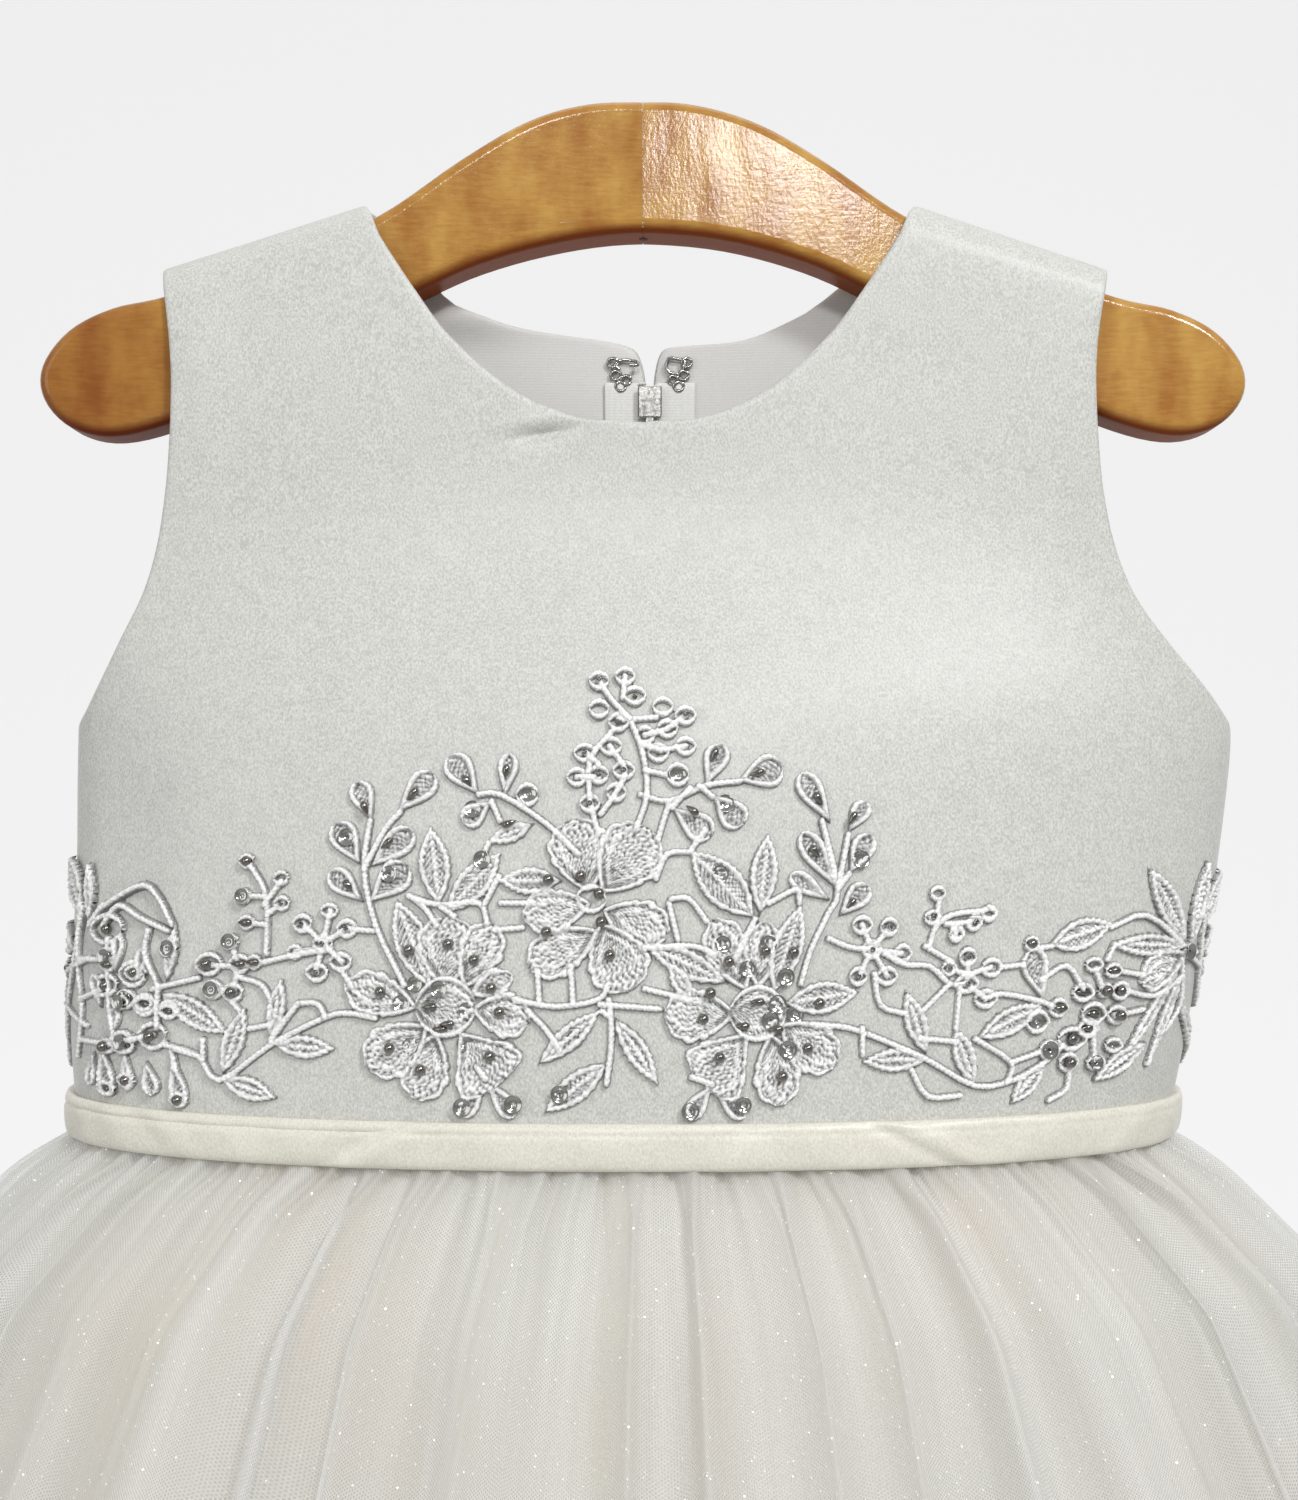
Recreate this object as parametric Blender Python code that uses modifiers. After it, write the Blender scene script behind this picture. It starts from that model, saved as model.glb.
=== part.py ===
"""A child's sleeveless dress on a wooden hanger: satin bodice, corded lace applique, gathered tulle skirt.

The frame is metres, +Z up, the front of the dress facing -Y, and the origin on top of the hanger's middle.
Tables and sizes are in millimetres and become metres where a mesh is made.
"""

import math

import bmesh
import bpy
import numpy as np
from mathutils import Matrix, Vector
from mathutils.geometry import delaunay_2d_cdt

MM = 0.001

# Driving sizes of the garment
SATIN_WALL = 1.6
TULLE_WALL = 1.0
LINING_WALL = 1.0
LACE_WALL = 1.1
SEAM_GAP = 0.3
SHOULDER_SEAM_HALF = 0.4
SIDE_SEAM_HALF = 0.4
SECTION_POWER = 2.2
BODICE_BOTTOM = -248.9
SKIRT_TOP = BODICE_BOTTOM - SEAM_GAP
BAND_TOP = -244.0
BAND_BOTTOM = -253.5
UNDERARM_Z = -157.0
BODICE_COLUMNS = 22

# Driving sizes of the hanger
HANGER_THICK = 15.0
HANGER_ROUND = 5.0
ARM_SWEEP = math.radians(3.0)
MITRE_GAP = 0.3
ARM_PAST_MIDDLE = -13.0

# The bodice's level sections: half width, reach forward, reach back and how far it leans sideways.
BODY_SECTIONS = np.array(
    [
        # z, half_width, front, back, lean
        (-254.0, 134.1, 45.2, 34.2, -5.4),
        (-222.0, 138.1, 42.0, 31.7, -3.0),
        (-205.0, 139.8, 39.5, 30.0, -0.9),
        (-187.0, 141.3, 37.0, 28.6, 1.0),
        (-165.0, 142.7, 33.2, 26.2, 2.5),
        (-157.0, 142.8, 31.5, 25.0, 3.0),
        (-146.0, 143.0, 29.2, 23.0, 2.8),
        (-133.0, 143.5, 26.5, 20.6, -0.2),
        (-120.0, 144.0, 24.0, 18.0, -1.6),
        (-100.0, 145.0, 19.5, 15.0, -2.6),
        (-60.0, 145.0, 16.0, 12.0, -3.0),
        (-25.0, 145.0, 16.0, 12.0, -1.5),
    ]
)
# The middle of the back hangs this far towards +x.
BACK_SHIFT = 1.7

# Where the front is cut, up one side: along the side seam and armhole, and along the middle and neckline.
FRONT_CUT = np.array(
    [
        # outer_x, outer_z, inner_x, inner_z
        (134.7, BODICE_BOTTOM, 0.0, BODICE_BOTTOM),
        (138.1, -222.0, 0.0, -222.0),
        (139.8, -205.0, 0.0, -205.0),
        (141.3, -187.0, 0.0, -187.0),
        (142.8, UNDERARM_Z, 0.0, -164.0),
        (138.2, -149.5, 0.0, -141.0),
        (127.5, -135.0, 0.0, -119.0),
        (119.0, -121.0, 0.0, -99.0),
        (114.8, -107.0, 0.0, -81.0),
        (112.6, -92.0, 12.0, -80.2),
        (111.8, -79.0, 24.5, -76.3),
        (111.6, -70.0, 36.5, -68.5),
        (112.0, -61.0, 48.5, -57.0),
    ]
)

# The same for one half of the back, whose middle edge is the zip opening.
BACK_CUT = np.array(
    [
        # outer_x, outer_z, inner_x, inner_z
        (134.7, BODICE_BOTTOM, 0.4, BODICE_BOTTOM),
        (138.1, -222.0, 0.4, -222.0),
        (139.8, -205.0, 0.4, -205.0),
        (141.3, -187.0, 0.4, -187.0),
        (142.8, UNDERARM_Z, 0.4, -160.0),
        (138.2, -149.5, 0.4, -136.0),
        (127.5, -135.0, 0.4, -112.0),
        (119.0, -121.0, 0.4, -86.0),
        (114.8, -107.0, 1.1, -76.5),
        (112.6, -92.0, 1.1, -67.5),
        (111.8, -80.0, 3.4, -57.5),
        (111.6, -71.0, 23.0, -56.0),
        (112.0, -61.0, 43.0, -48.0),
    ]
)

# The strap over the hanger: from where the cloth starts to turn, up to the shoulder seam.
STRAP_STEPS = 3
STRAP_OUTER_X = (113.0, 116.0)
FRONT_STRAP_INNER_X = (62.5, 68.5)
BACK_STRAP_INNER_X = (60.5, 68.5)
STRAP_RADIUS = 10.0
STRAP_RADIUS_BACK = 9.4
STRAP_FLAT_X = 95.0
SHOULDER_TOP_X = 67.5
SHOULDER_TOP_Z = -26.3
SHOULDER_SLOPE = 0.345
STRAP_FROM_Z = -85.0
CHEST_FROM_Z = -155.0

# The tulle skirt's level sections: half width, reach forward and back, height of the gathers and of the long lobes.
SKIRT_SECTIONS = np.array(
    [
        # z, half_width, front, back, gather, lobe
        (SKIRT_TOP, 133.9, 44.2, 33.3, 0.0, 0.0),
        (-254.0, 133.9, 44.4, 33.5, 0.2, 0.0),
        (-262.0, 148.0, 53.0, 41.0, 2.4, 0.0),
        (-285.0, 172.0, 69.0, 51.0, 4.0, 1.0),
        (-330.0, 194.0, 89.0, 62.0, 5.5, 3.0),
        (-440.0, 227.0, 118.0, 76.0, 7.5, 6.0),
        (-690.0, 290.0, 160.0, 98.0, 9.5, 11.0),
    ]
)
GATHERS = 34
POINTS_A_GATHER = 4
LOBES = 11
SLIT_BOTTOM_ROW = 4
SLIT_HALF_WIDTH = 2.2

# The satin underskirt, which hangs inside the tulle.
LINING_SECTIONS = np.array(
    [
        # z, half_width, front, back, gather, lobe
        (SKIRT_TOP, 132.3, 42.6, 31.7, 0.0, 0.0),
        (-254.0, 131.8, 42.1, 31.2, 0.0, 0.0),
        (-263.0, 137.0, 46.0, 34.5, 0.0, 0.0),
        (-285.0, 158.0, 57.0, 40.0, 0.0, 0.0),
        (-330.0, 176.0, 72.0, 46.0, 0.0, 1.2),
        (-440.0, 202.0, 96.0, 55.0, 0.0, 4.0),
        (-680.0, 256.0, 130.0, 68.0, 0.0, 6.0),
    ]
)
LINING_COLUMNS = 36
LINING_LOBES = 9

# The satin waistband: its section as distance out from the bodice's middle surface, and height.
BAND_END_ANGLE = 0.006
BAND_SECTION = (
    (1.2, BAND_TOP),
    (2.6, BAND_TOP - 0.5),
    (3.4, BAND_TOP - 3.0),
    (3.4, BAND_BOTTOM + 3.0),
    (2.6, BAND_BOTTOM + 0.5),
    (1.2, BAND_BOTTOM),
)

# One arm of the hanger, from the middle out along the top and back along the underside.
ARM_OUTLINE = (
    (-13.5, -1.0),
    (0.0, 0.0),
    (13.5, -1.0),
    (29.0, -6.0),
    (45.0, -15.5),
    (66.0, -30.0),
    (90.0, -40.0),
    (115.0, -49.5),
    (129.0, -53.0),
    (139.5, -58.5),
    (146.0, -67.0),
    (145.8, -75.0),
    (139.5, -81.5),
    (129.0, -83.5),
    (114.0, -79.5),
    (98.0, -71.5),
    (78.0, -59.5),
    (57.0, -48.0),
    (40.0, -40.0),
    (20.0, -34.3),
    (0.0, -32.2),
    (-13.5, -33.2),
)

# The zip: each side is a tape with its coil along the edge, inside the back opening.
ZIP_TOP = -66.4
ZIP_BOTTOM = -303.0
TAPE_WIDTH = 9.0
TAPE_THICK = 0.6
COIL_WIDTH = 1.7
COIL_THICK = 1.4
# Height and half gap between the coils, from the open top, past the slider, to the closed run.
ZIP_GAP = ((-303.0, 0.2), (-86.0, 0.2), (-77.0, 0.9), (-67.0, 0.9), (-57.5, 3.0))
SLIDER_TOP = -67.8
SLIDER_BOTTOM = -75.8
TAB_PIVOT_Z = -73.4
TAB_PIVOT_OUT = 2.4
TAB_LENGTH = 17.0
ZIP_BEHIND = 0.45
ZIP_OFF_LINING = 0.4
# The hook and the eye, each as a wire path: across from the middle, down from its height, in from the cloth.
HOOK_Z = -60.0
HOOK_PATH = (
    (7.6, 3.4, 0.9),
    (8.8, 2.2, 0.9),
    (7.6, 1.0, 0.9),
    (5.2, 0.9, 1.0),
    (3.4, 1.3, 1.3),
    (2.9, 2.2, 2.2),
    (3.5, 2.6, 3.0),
    (5.2, 2.6, 3.1),
)
EYE_PATH = (
    (8.6, 3.4, 0.9),
    (8.9, 1.2, 0.9),
    (7.0, 0.6, 0.9),
    (5.0, 0.4, 0.9),
    (4.2, 2.2, 0.9),
    (5.0, 4.0, 0.9),
    (7.2, 4.4, 0.9),
)

# The lace, laid out flat: u runs round the body from the middle front and z is height. A motif runs from its root
# (u, z) to its tip (u, z) with a half width, and its kind is how the width swells. A cord is a row of points.
MOTIF_SWELL = {"leaf": (1.0, 0.9), "petal": (1.5, 0.5), "drop": (2.0, 0.5), "fan": (2.6, 0.4), "eye": (1.0, 0.5)}
CORD_RADIUS = 1.1
LACE_REFERENCE_Z = -205.0
LACE_LOWEST = -243.4
LACE_STEP = 1.0
LACE_TOLERANCE = 0.5
LACE_LEAST_GAP = 4.0
LACE_OUT = SATIN_WALL / 2 + 0.35
LACE_CENTRE_MOTIFS = (
    ("petal", -12.0, -192.5, -16.0, -176.0, 6.0),
    ("petal", -9.0, -192.5, 1.5, -178.0, 6.5),
    ("petal", -9.0, -196.5, 6.0, -202.0, 5.0),
    ("petal", -9.5, -199.5, -2.5, -214.5, 6.0),
    ("petal", -10.0, -201.0, -25.5, -209.5, 5.0),
    ("petal", -11.5, -195.0, -27.0, -198.0, 4.5),
    ("leaf", -18.0, -190.0, -33.0, -190.0, 3.5),
    ("eye", -15.0, -193.5, -8.0, -194.5, 3.5),
    ("eye", -12.5, -144.5, -7.5, -144.5, 2.5),
    ("eye", -6.5, -143.5, -1.5, -143.5, 2.5),
    ("eye", -4.5, -148.0, 1.0, -148.0, 2.5),
    ("eye", -12.5, -151.0, -7.5, -151.0, 2.5),
    ("eye", -8.0, -154.0, -3.0, -154.0, 2.5),
    ("eye", 2.0, -150.5, 7.0, -150.5, 2.5),
    ("eye", 7.0, -152.5, 12.0, -152.5, 2.5),
    ("eye", -2.0, -157.0, 3.0, -157.0, 2.5),
    ("eye", 1.0, -161.0, 6.0, -161.0, 2.5),
    ("eye", 7.0, -159.5, 12.0, -159.5, 2.5),
    ("eye", -16.0, -161.0, -10.5, -161.0, 2.5),
    ("eye", -10.0, -159.5, -4.5, -159.5, 2.5),
    ("eye", -7.0, -165.0, -1.5, -165.0, 2.5),
    ("eye", -17.5, -166.5, -12.5, -166.5, 2.5),
    ("eye", -12.5, -166.0, -7.5, -166.0, 2.5),
    ("eye", -8.5, -170.0, -3.5, -170.0, 2.5),
    ("eye", -14.5, -172.5, -9.5, -172.5, 2.5),
    ("eye", 3.0, -155.5, 8.0, -155.5, 2.5),
    ("drop", -37.5, -170.5, -44.5, -161.5, 3.5),
    ("drop", -31.5, -171.0, -30.5, -161.0, 2.5),
    ("eye", -29.0, -170.5, -23.5, -170.5, 3.0),
    ("drop", -34.5, -172.0, -41.0, -177.0, 3.0),
    ("leaf", -24.5, -177.0, -35.5, -181.5, 2.5),
    ("drop", 14.0, -168.5, 17.5, -159.0, 3.0),
    ("drop", 21.0, -167.5, 31.0, -164.0, 4.0),
    ("drop", 15.5, -170.5, 22.5, -177.5, 3.5),
    ("drop", 6.5, -173.5, 15.5, -180.0, 3.5),
    ("eye", 5.0, -166.0, 10.5, -166.0, 3.0),
    ("leaf", -46.0, -196.0, -48.5, -177.5, 4.0),
    ("leaf", -44.5, -197.5, -32.0, -183.5, 4.0),
    ("leaf", 25.5, -198.5, 10.5, -183.0, 5.0),
    ("leaf", 26.5, -198.0, 28.0, -179.0, 3.5),
    ("leaf", -23.5, -231.0, -9.0, -218.5, 3.0),
    ("leaf", -6.5, -220.0, 4.0, -235.5, 3.0),
    ("leaf", -7.5, -230.0, -22.0, -241.5, 3.5),
    ("drop", -35.0, -234.0, -40.5, -242.5, 2.5),
    ("drop", -35.0, -234.0, -28.5, -242.5, 2.5),
    ("drop", 16.5, -235.0, 11.0, -242.5, 2.5),
    ("drop", 16.5, -235.0, 24.5, -242.5, 2.5),
    ("leaf", -47.5, -214.5, -56.0, -194.0, 4.5),
    ("petal", -44.5, -214.0, -43.5, -198.0, 6.0),
    ("petal", -40.0, -214.0, -33.5, -199.5, 4.5),
    ("petal", -38.5, -215.5, -29.0, -211.0, 3.0),
    ("petal", -38.0, -218.5, -25.0, -221.0, 4.5),
    ("fan", -41.0, -223.5, -32.0, -235.5, 9.0),
    ("petal", -46.0, -224.0, -50.5, -239.0, 5.0),
    ("petal", -48.0, -222.5, -62.0, -232.0, 5.5),
    ("petal", -50.5, -218.5, -67.0, -213.5, 4.5),
    ("eye", -51.0, -218.5, -37.0, -218.0, 7.0),
    ("petal", 24.0, -214.5, 16.0, -198.5, 4.5),
    ("petal", 26.5, -214.0, 28.0, -199.0, 4.0),
    ("leaf", 30.0, -215.5, 36.0, -195.0, 4.0),
    ("leaf", 32.5, -217.5, 50.5, -215.0, 4.0),
    ("petal", 32.0, -222.0, 46.0, -231.0, 5.0),
    ("petal", 30.0, -224.0, 33.0, -240.0, 5.0),
    ("fan", 25.0, -223.5, 14.5, -235.5, 8.5),
    ("petal", 21.5, -219.5, 5.0, -220.0, 5.5),
    ("leaf", 20.0, -213.0, 0.0, -204.0, 3.5),
    ("leaf", 11.5, -217.0, 6.0, -208.0, 2.5),
    ("eye", 20.0, -219.5, 33.5, -219.5, 6.5),
    ("drop", -62.0, -176.5, -66.0, -167.5, 3.0),
    ("drop", -56.0, -174.5, -48.0, -165.5, 3.5),
    ("drop", -64.5, -186.5, -70.5, -177.0, 3.5),
    ("drop", -62.0, -187.0, -52.5, -178.5, 3.5),
    ("drop", -63.5, -195.0, -71.5, -188.0, 3.0),
    ("drop", -62.0, -195.0, -53.5, -186.5, 4.0),
    ("drop", 42.0, -177.0, 35.0, -165.5, 3.0),
    ("drop", 46.0, -179.0, 50.0, -172.0, 2.5),
    ("drop", 44.0, -192.0, 35.5, -179.0, 3.0),
    ("drop", 46.5, -188.5, 51.0, -179.5, 3.0),
    ("drop", 42.5, -194.5, 33.0, -188.5, 2.5),
    ("drop", 44.5, -198.0, 51.0, -191.0, 3.0),
)
LACE_CENTRE_CORDS = (
    ((-53.5, -213.5), (-60.5, -200.0), (-63.5, -187.5), (-62.5, -176.5)),
    ((-63.5, -187.5), (-59.0, -178.5), (-55.5, -174.5)),
    ((-46.5, -200.0), (-49.5, -196.0), (-53.0, -193.5)),
    ((-53.0, -193.5), (-46.0, -195.5), (-37.0, -195.0), (-35.0, -199.5)),
    ((-32.5, -189.0), (-35.5, -195.0)),
    ((-37.5, -170.5), (-32.5, -170.5), (-22.0, -177.0), (-14.5, -184.0)),
    ((-32.5, -176.5), (-34.5, -172.0)),
    ((-35.0, -181.5), (-37.5, -187.5)),
    ((-32.0, -195.0), (-24.5, -195.0)),
    ((-33.0, -201.0), (-27.0, -200.5)),
    ((-28.5, -216.5), (-19.5, -218.0), (-10.0, -216.5), (-7.5, -213.0)),
    ((-23.5, -210.0), (-23.0, -217.0)),
    ((-16.0, -209.0), (-15.5, -217.0)),
    ((-25.5, -219.0), (-21.5, -223.0), (-18.5, -227.5)),
    ((-7.5, -216.5), (-7.0, -220.5), (-7.0, -227.5), (-8.0, -235.0)),
    ((-9.0, -219.0), (-7.0, -220.5)),
    ((0.5, -205.0), (11.0, -204.5), (16.5, -206.5)),
    ((6.0, -195.0), (8.0, -203.0)),
    ((10.5, -183.5), (5.5, -184.0), (3.0, -189.5)),
    ((14.0, -178.5), (10.5, -183.5)),
    ((6.0, -172.0), (3.5, -180.5)),
    ((-0.5, -170.5), (6.0, -172.0), (14.0, -168.5), (21.5, -167.5)),
    ((-3.0, -153.0), (0.0, -161.0), (1.0, -170.5), (-1.5, -178.5)),
    ((0.5, -214.0), (11.0, -216.5)),
    ((-9.5, -217.5), (4.0, -218.5)),
    ((16.5, -235.0), (11.5, -233.5)),
    ((28.5, -195.0), (34.5, -192.0), (35.5, -195.0)),
    ((36.5, -213.0), (38.5, -205.5), (42.0, -197.5), (44.0, -192.0), (40.0, -176.5)),
    ((44.0, -192.0), (46.0, -179.5)),
    ((46.5, -188.5), (44.0, -192.0)),
    ((-12.0, -172.0), (-10.0, -179.5)),
    ((-35.0, -234.0), (-36.5, -232.0)),
    ((14.5, -199.0), (10.5, -194.0), (6.5, -194.0)),
    ((21.0, -207.5), (25.5, -198.5)),
    ((-42.5, -198.0), (-45.5, -196.0)),
    ((-6.5, -155.5), (-12.0, -162.5), (-12.0, -171.5)),
    ((-5.5, -153.5), (3.0, -153.0)),
    ((4.0, -160.5), (-0.5, -159.0)),
    ((5.0, -166.0), (0.5, -165.0)),
    ((6.5, -173.5), (10.5, -169.0)),
    ((-10.0, -144.5), (-7.0, -149.0), (-3.0, -153.0)),
    ((-4.0, -143.5), (-4.5, -148.5)),
    ((4.0, -160.5), (9.5, -159.5)),
    ((-7.5, -159.5), (-4.0, -165.0), (-6.0, -170.0), (-9.5, -175.0)),
    ((15.5, -171.0), (12.5, -168.5)),
    ((9.5, -152.5), (5.5, -155.5), (0.5, -157.0)),
    ((-13.0, -161.0), (-10.0, -163.5)),
    ((-15.0, -166.5), (-10.0, -166.5)),
)
LACE_LEFT_MOTIFS = (
    ("eye", -80.0, -200.0, -75.0, -200.0, 2.5),
    ("eye", -73.5, -197.0, -69.0, -197.0, 2.0),
    ("eye", -69.5, -201.0, -64.5, -201.0, 2.5),
    ("eye", -81.0, -206.5, -77.0, -206.5, 2.0),
    ("eye", -76.5, -211.0, -71.0, -211.0, 2.5),
    ("eye", -71.0, -208.5, -65.5, -208.5, 2.5),
    ("eye", -75.0, -204.5, -70.0, -204.5, 2.5),
    ("eye", -93.5, -186.0, -89.5, -186.0, 2.0),
    ("eye", -85.0, -190.0, -81.0, -189.5, 2.0),
    ("eye", -94.0, -194.0, -90.0, -194.0, 2.0),
    ("eye", -84.5, -195.5, -80.5, -195.5, 2.0),
    ("eye", -93.0, -200.0, -89.0, -200.0, 2.0),
    ("eye", -103.5, -210.0, -96.5, -209.5, 3.0),
    ("eye", -97.0, -204.5, -92.5, -204.5, 2.0),
    ("eye", -95.0, -209.5, -89.5, -209.5, 2.5),
    ("eye", -96.5, -216.0, -91.0, -216.0, 2.5),
    ("eye", -101.5, -215.5, -96.0, -215.5, 2.5),
    ("eye", -90.5, -209.0, -87.0, -209.0, 2.0),
    ("leaf", -112.5, -216.5, -94.5, -225.5, 3.5),
    ("leaf", -96.5, -235.0, -90.5, -219.0, 3.0),
    ("leaf", -84.5, -227.0, -82.0, -212.0, 2.5),
    ("leaf", -84.0, -227.5, -69.0, -228.0, 3.0),
    ("leaf", -97.0, -235.5, -83.0, -239.5, 3.0),
    ("drop", -109.0, -231.0, -107.0, -242.5, 2.5),
    ("leaf", -111.0, -215.0, -109.0, -200.5, 2.0),
    ("eye", -134.5, -203.0, -123.5, -202.5, 4.0),
    ("eye", -131.5, -209.5, -124.5, -209.0, 2.5),
    ("eye", -124.0, -213.0, -116.0, -212.5, 3.5),
    ("eye", -132.5, -216.5, -124.0, -215.5, 3.0),
    ("eye", -125.0, -219.0, -118.5, -218.5, 2.5),
    ("eye", -119.5, -220.0, -113.0, -219.5, 3.0),
    ("eye", -118.0, -227.0, -110.0, -226.5, 3.5),
    ("eye", -126.5, -229.0, -118.5, -228.5, 3.0),
    ("eye", -112.5, -220.5, -107.0, -220.5, 2.5),
    ("drop", -129.0, -230.0, -128.0, -241.5, 3.0),
    ("drop", -122.0, -230.5, -121.5, -240.0, 2.0),
    ("leaf", -135.5, -202.0, -137.5, -186.5, 2.0),
    ("leaf", -138.5, -200.0, -149.0, -186.0, 4.0),
    ("leaf", -141.0, -209.0, -157.5, -203.5, 4.0),
    ("eye", -149.0, -214.0, -155.0, -214.5, 3.0),
    ("leaf", -145.0, -222.0, -162.0, -217.5, 4.0),
    ("eye", -160.0, -211.0, -166.0, -211.0, 3.0),
    ("drop", -148.0, -228.0, -155.0, -238.5, 3.5),
    ("leaf", -163.0, -214.0, -177.0, -206.0, 4.0),
    ("leaf", -166.0, -217.0, -180.0, -228.0, 4.0),
    ("eye", -176.0, -216.0, -182.0, -216.0, 3.0),
)
LACE_LEFT_CORDS = (
    ((-71.0, -197.0), (-72.5, -204.5)),
    ((-77.5, -200.0), (-72.5, -204.5)),
    ((-67.0, -201.0), (-72.5, -204.5)),
    ((-79.0, -206.5), (-72.5, -205.5)),
    ((-74.0, -211.0), (-72.5, -204.5)),
    ((-68.0, -208.5), (-72.5, -204.5)),
    ((-67.0, -201.0), (-61.0, -201.5)),
    ((-95.0, -204.5), (-92.5, -209.5)),
    ((-100.0, -210.0), (-92.5, -210.0), (-89.0, -209.0)),
    ((-93.5, -216.0), (-93.0, -209.5)),
    ((-99.0, -215.5), (-93.5, -215.5)),
    ((-109.0, -230.0), (-108.0, -234.0)),
    ((-86.0, -207.0), (-86.0, -199.0), (-87.0, -192.5), (-91.0, -186.5)),
    ((-87.0, -196.0), (-83.0, -190.5)),
    ((-87.0, -194.0), (-92.0, -194.0)),
    ((-86.0, -198.0), (-82.5, -195.5)),
    ((-86.0, -200.5), (-91.0, -200.0)),
    ((-88.5, -209.5), (-80.5, -207.5), (-72.5, -206.0)),
    ((-92.5, -212.5), (-87.0, -214.0), (-84.5, -217.5)),
    ((-111.5, -228.5), (-102.5, -230.5), (-97.0, -236.0), (-84.5, -227.5), (-71.5, -221.0), (-66.0, -220.0), (-60.0, -221.0)),
    ((-78.0, -218.0), (-73.5, -218.0), (-71.5, -221.0)),
    ((-84.5, -226.5), (-78.0, -218.0)),
    ((-89.5, -224.0), (-84.5, -223.0)),
    ((-114.5, -216.0), (-102.5, -213.0)),
    ((-132.5, -198.5), (-125.5, -194.5), (-118.5, -192.0), (-114.0, -195.0), (-110.0, -201.0)),
    ((-130.5, -202.0), (-126.0, -197.0), (-119.5, -199.5), (-111.0, -202.5)),
    ((-116.5, -202.5), (-117.0, -208.0), (-113.0, -215.0)),
    ((-113.0, -215.0), (-113.0, -225.0)),
    ((-139.5, -197.5), (-139.5, -210.5), (-136.5, -222.5), (-139.0, -233.5)),
    ((-135.5, -202.0), (-131.0, -197.0)),
    ((-138.5, -210.5), (-130.0, -210.0)),
    ((-137.5, -220.0), (-129.5, -217.0)),
    ((-137.5, -229.5), (-126.5, -229.5)),
    ((-94.5, -217.5), (-92.0, -220.0)),
    ((-101.0, -227.0), (-101.0, -231.5)),
    ((-101.0, -231.0), (-108.0, -229.5)),
    ((-68.0, -210.5), (-65.5, -214.0)),
    ((-128.0, -230.0), (-122.5, -228.5), (-114.0, -226.5)),
    ((-128.5, -205.0), (-127.0, -219.0), (-125.0, -228.5)),
    ((-134.5, -210.0), (-150.0, -215.0), (-165.0, -214.5), (-179.0, -216.0)),
    ((-138.5, -198.0), (-141.0, -210.0), (-145.5, -223.0), (-149.0, -231.0)),
    ((-134.5, -226.0), (-146.0, -222.5)),
    ((-165.0, -214.5), (-169.0, -219.5)),
)
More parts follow.
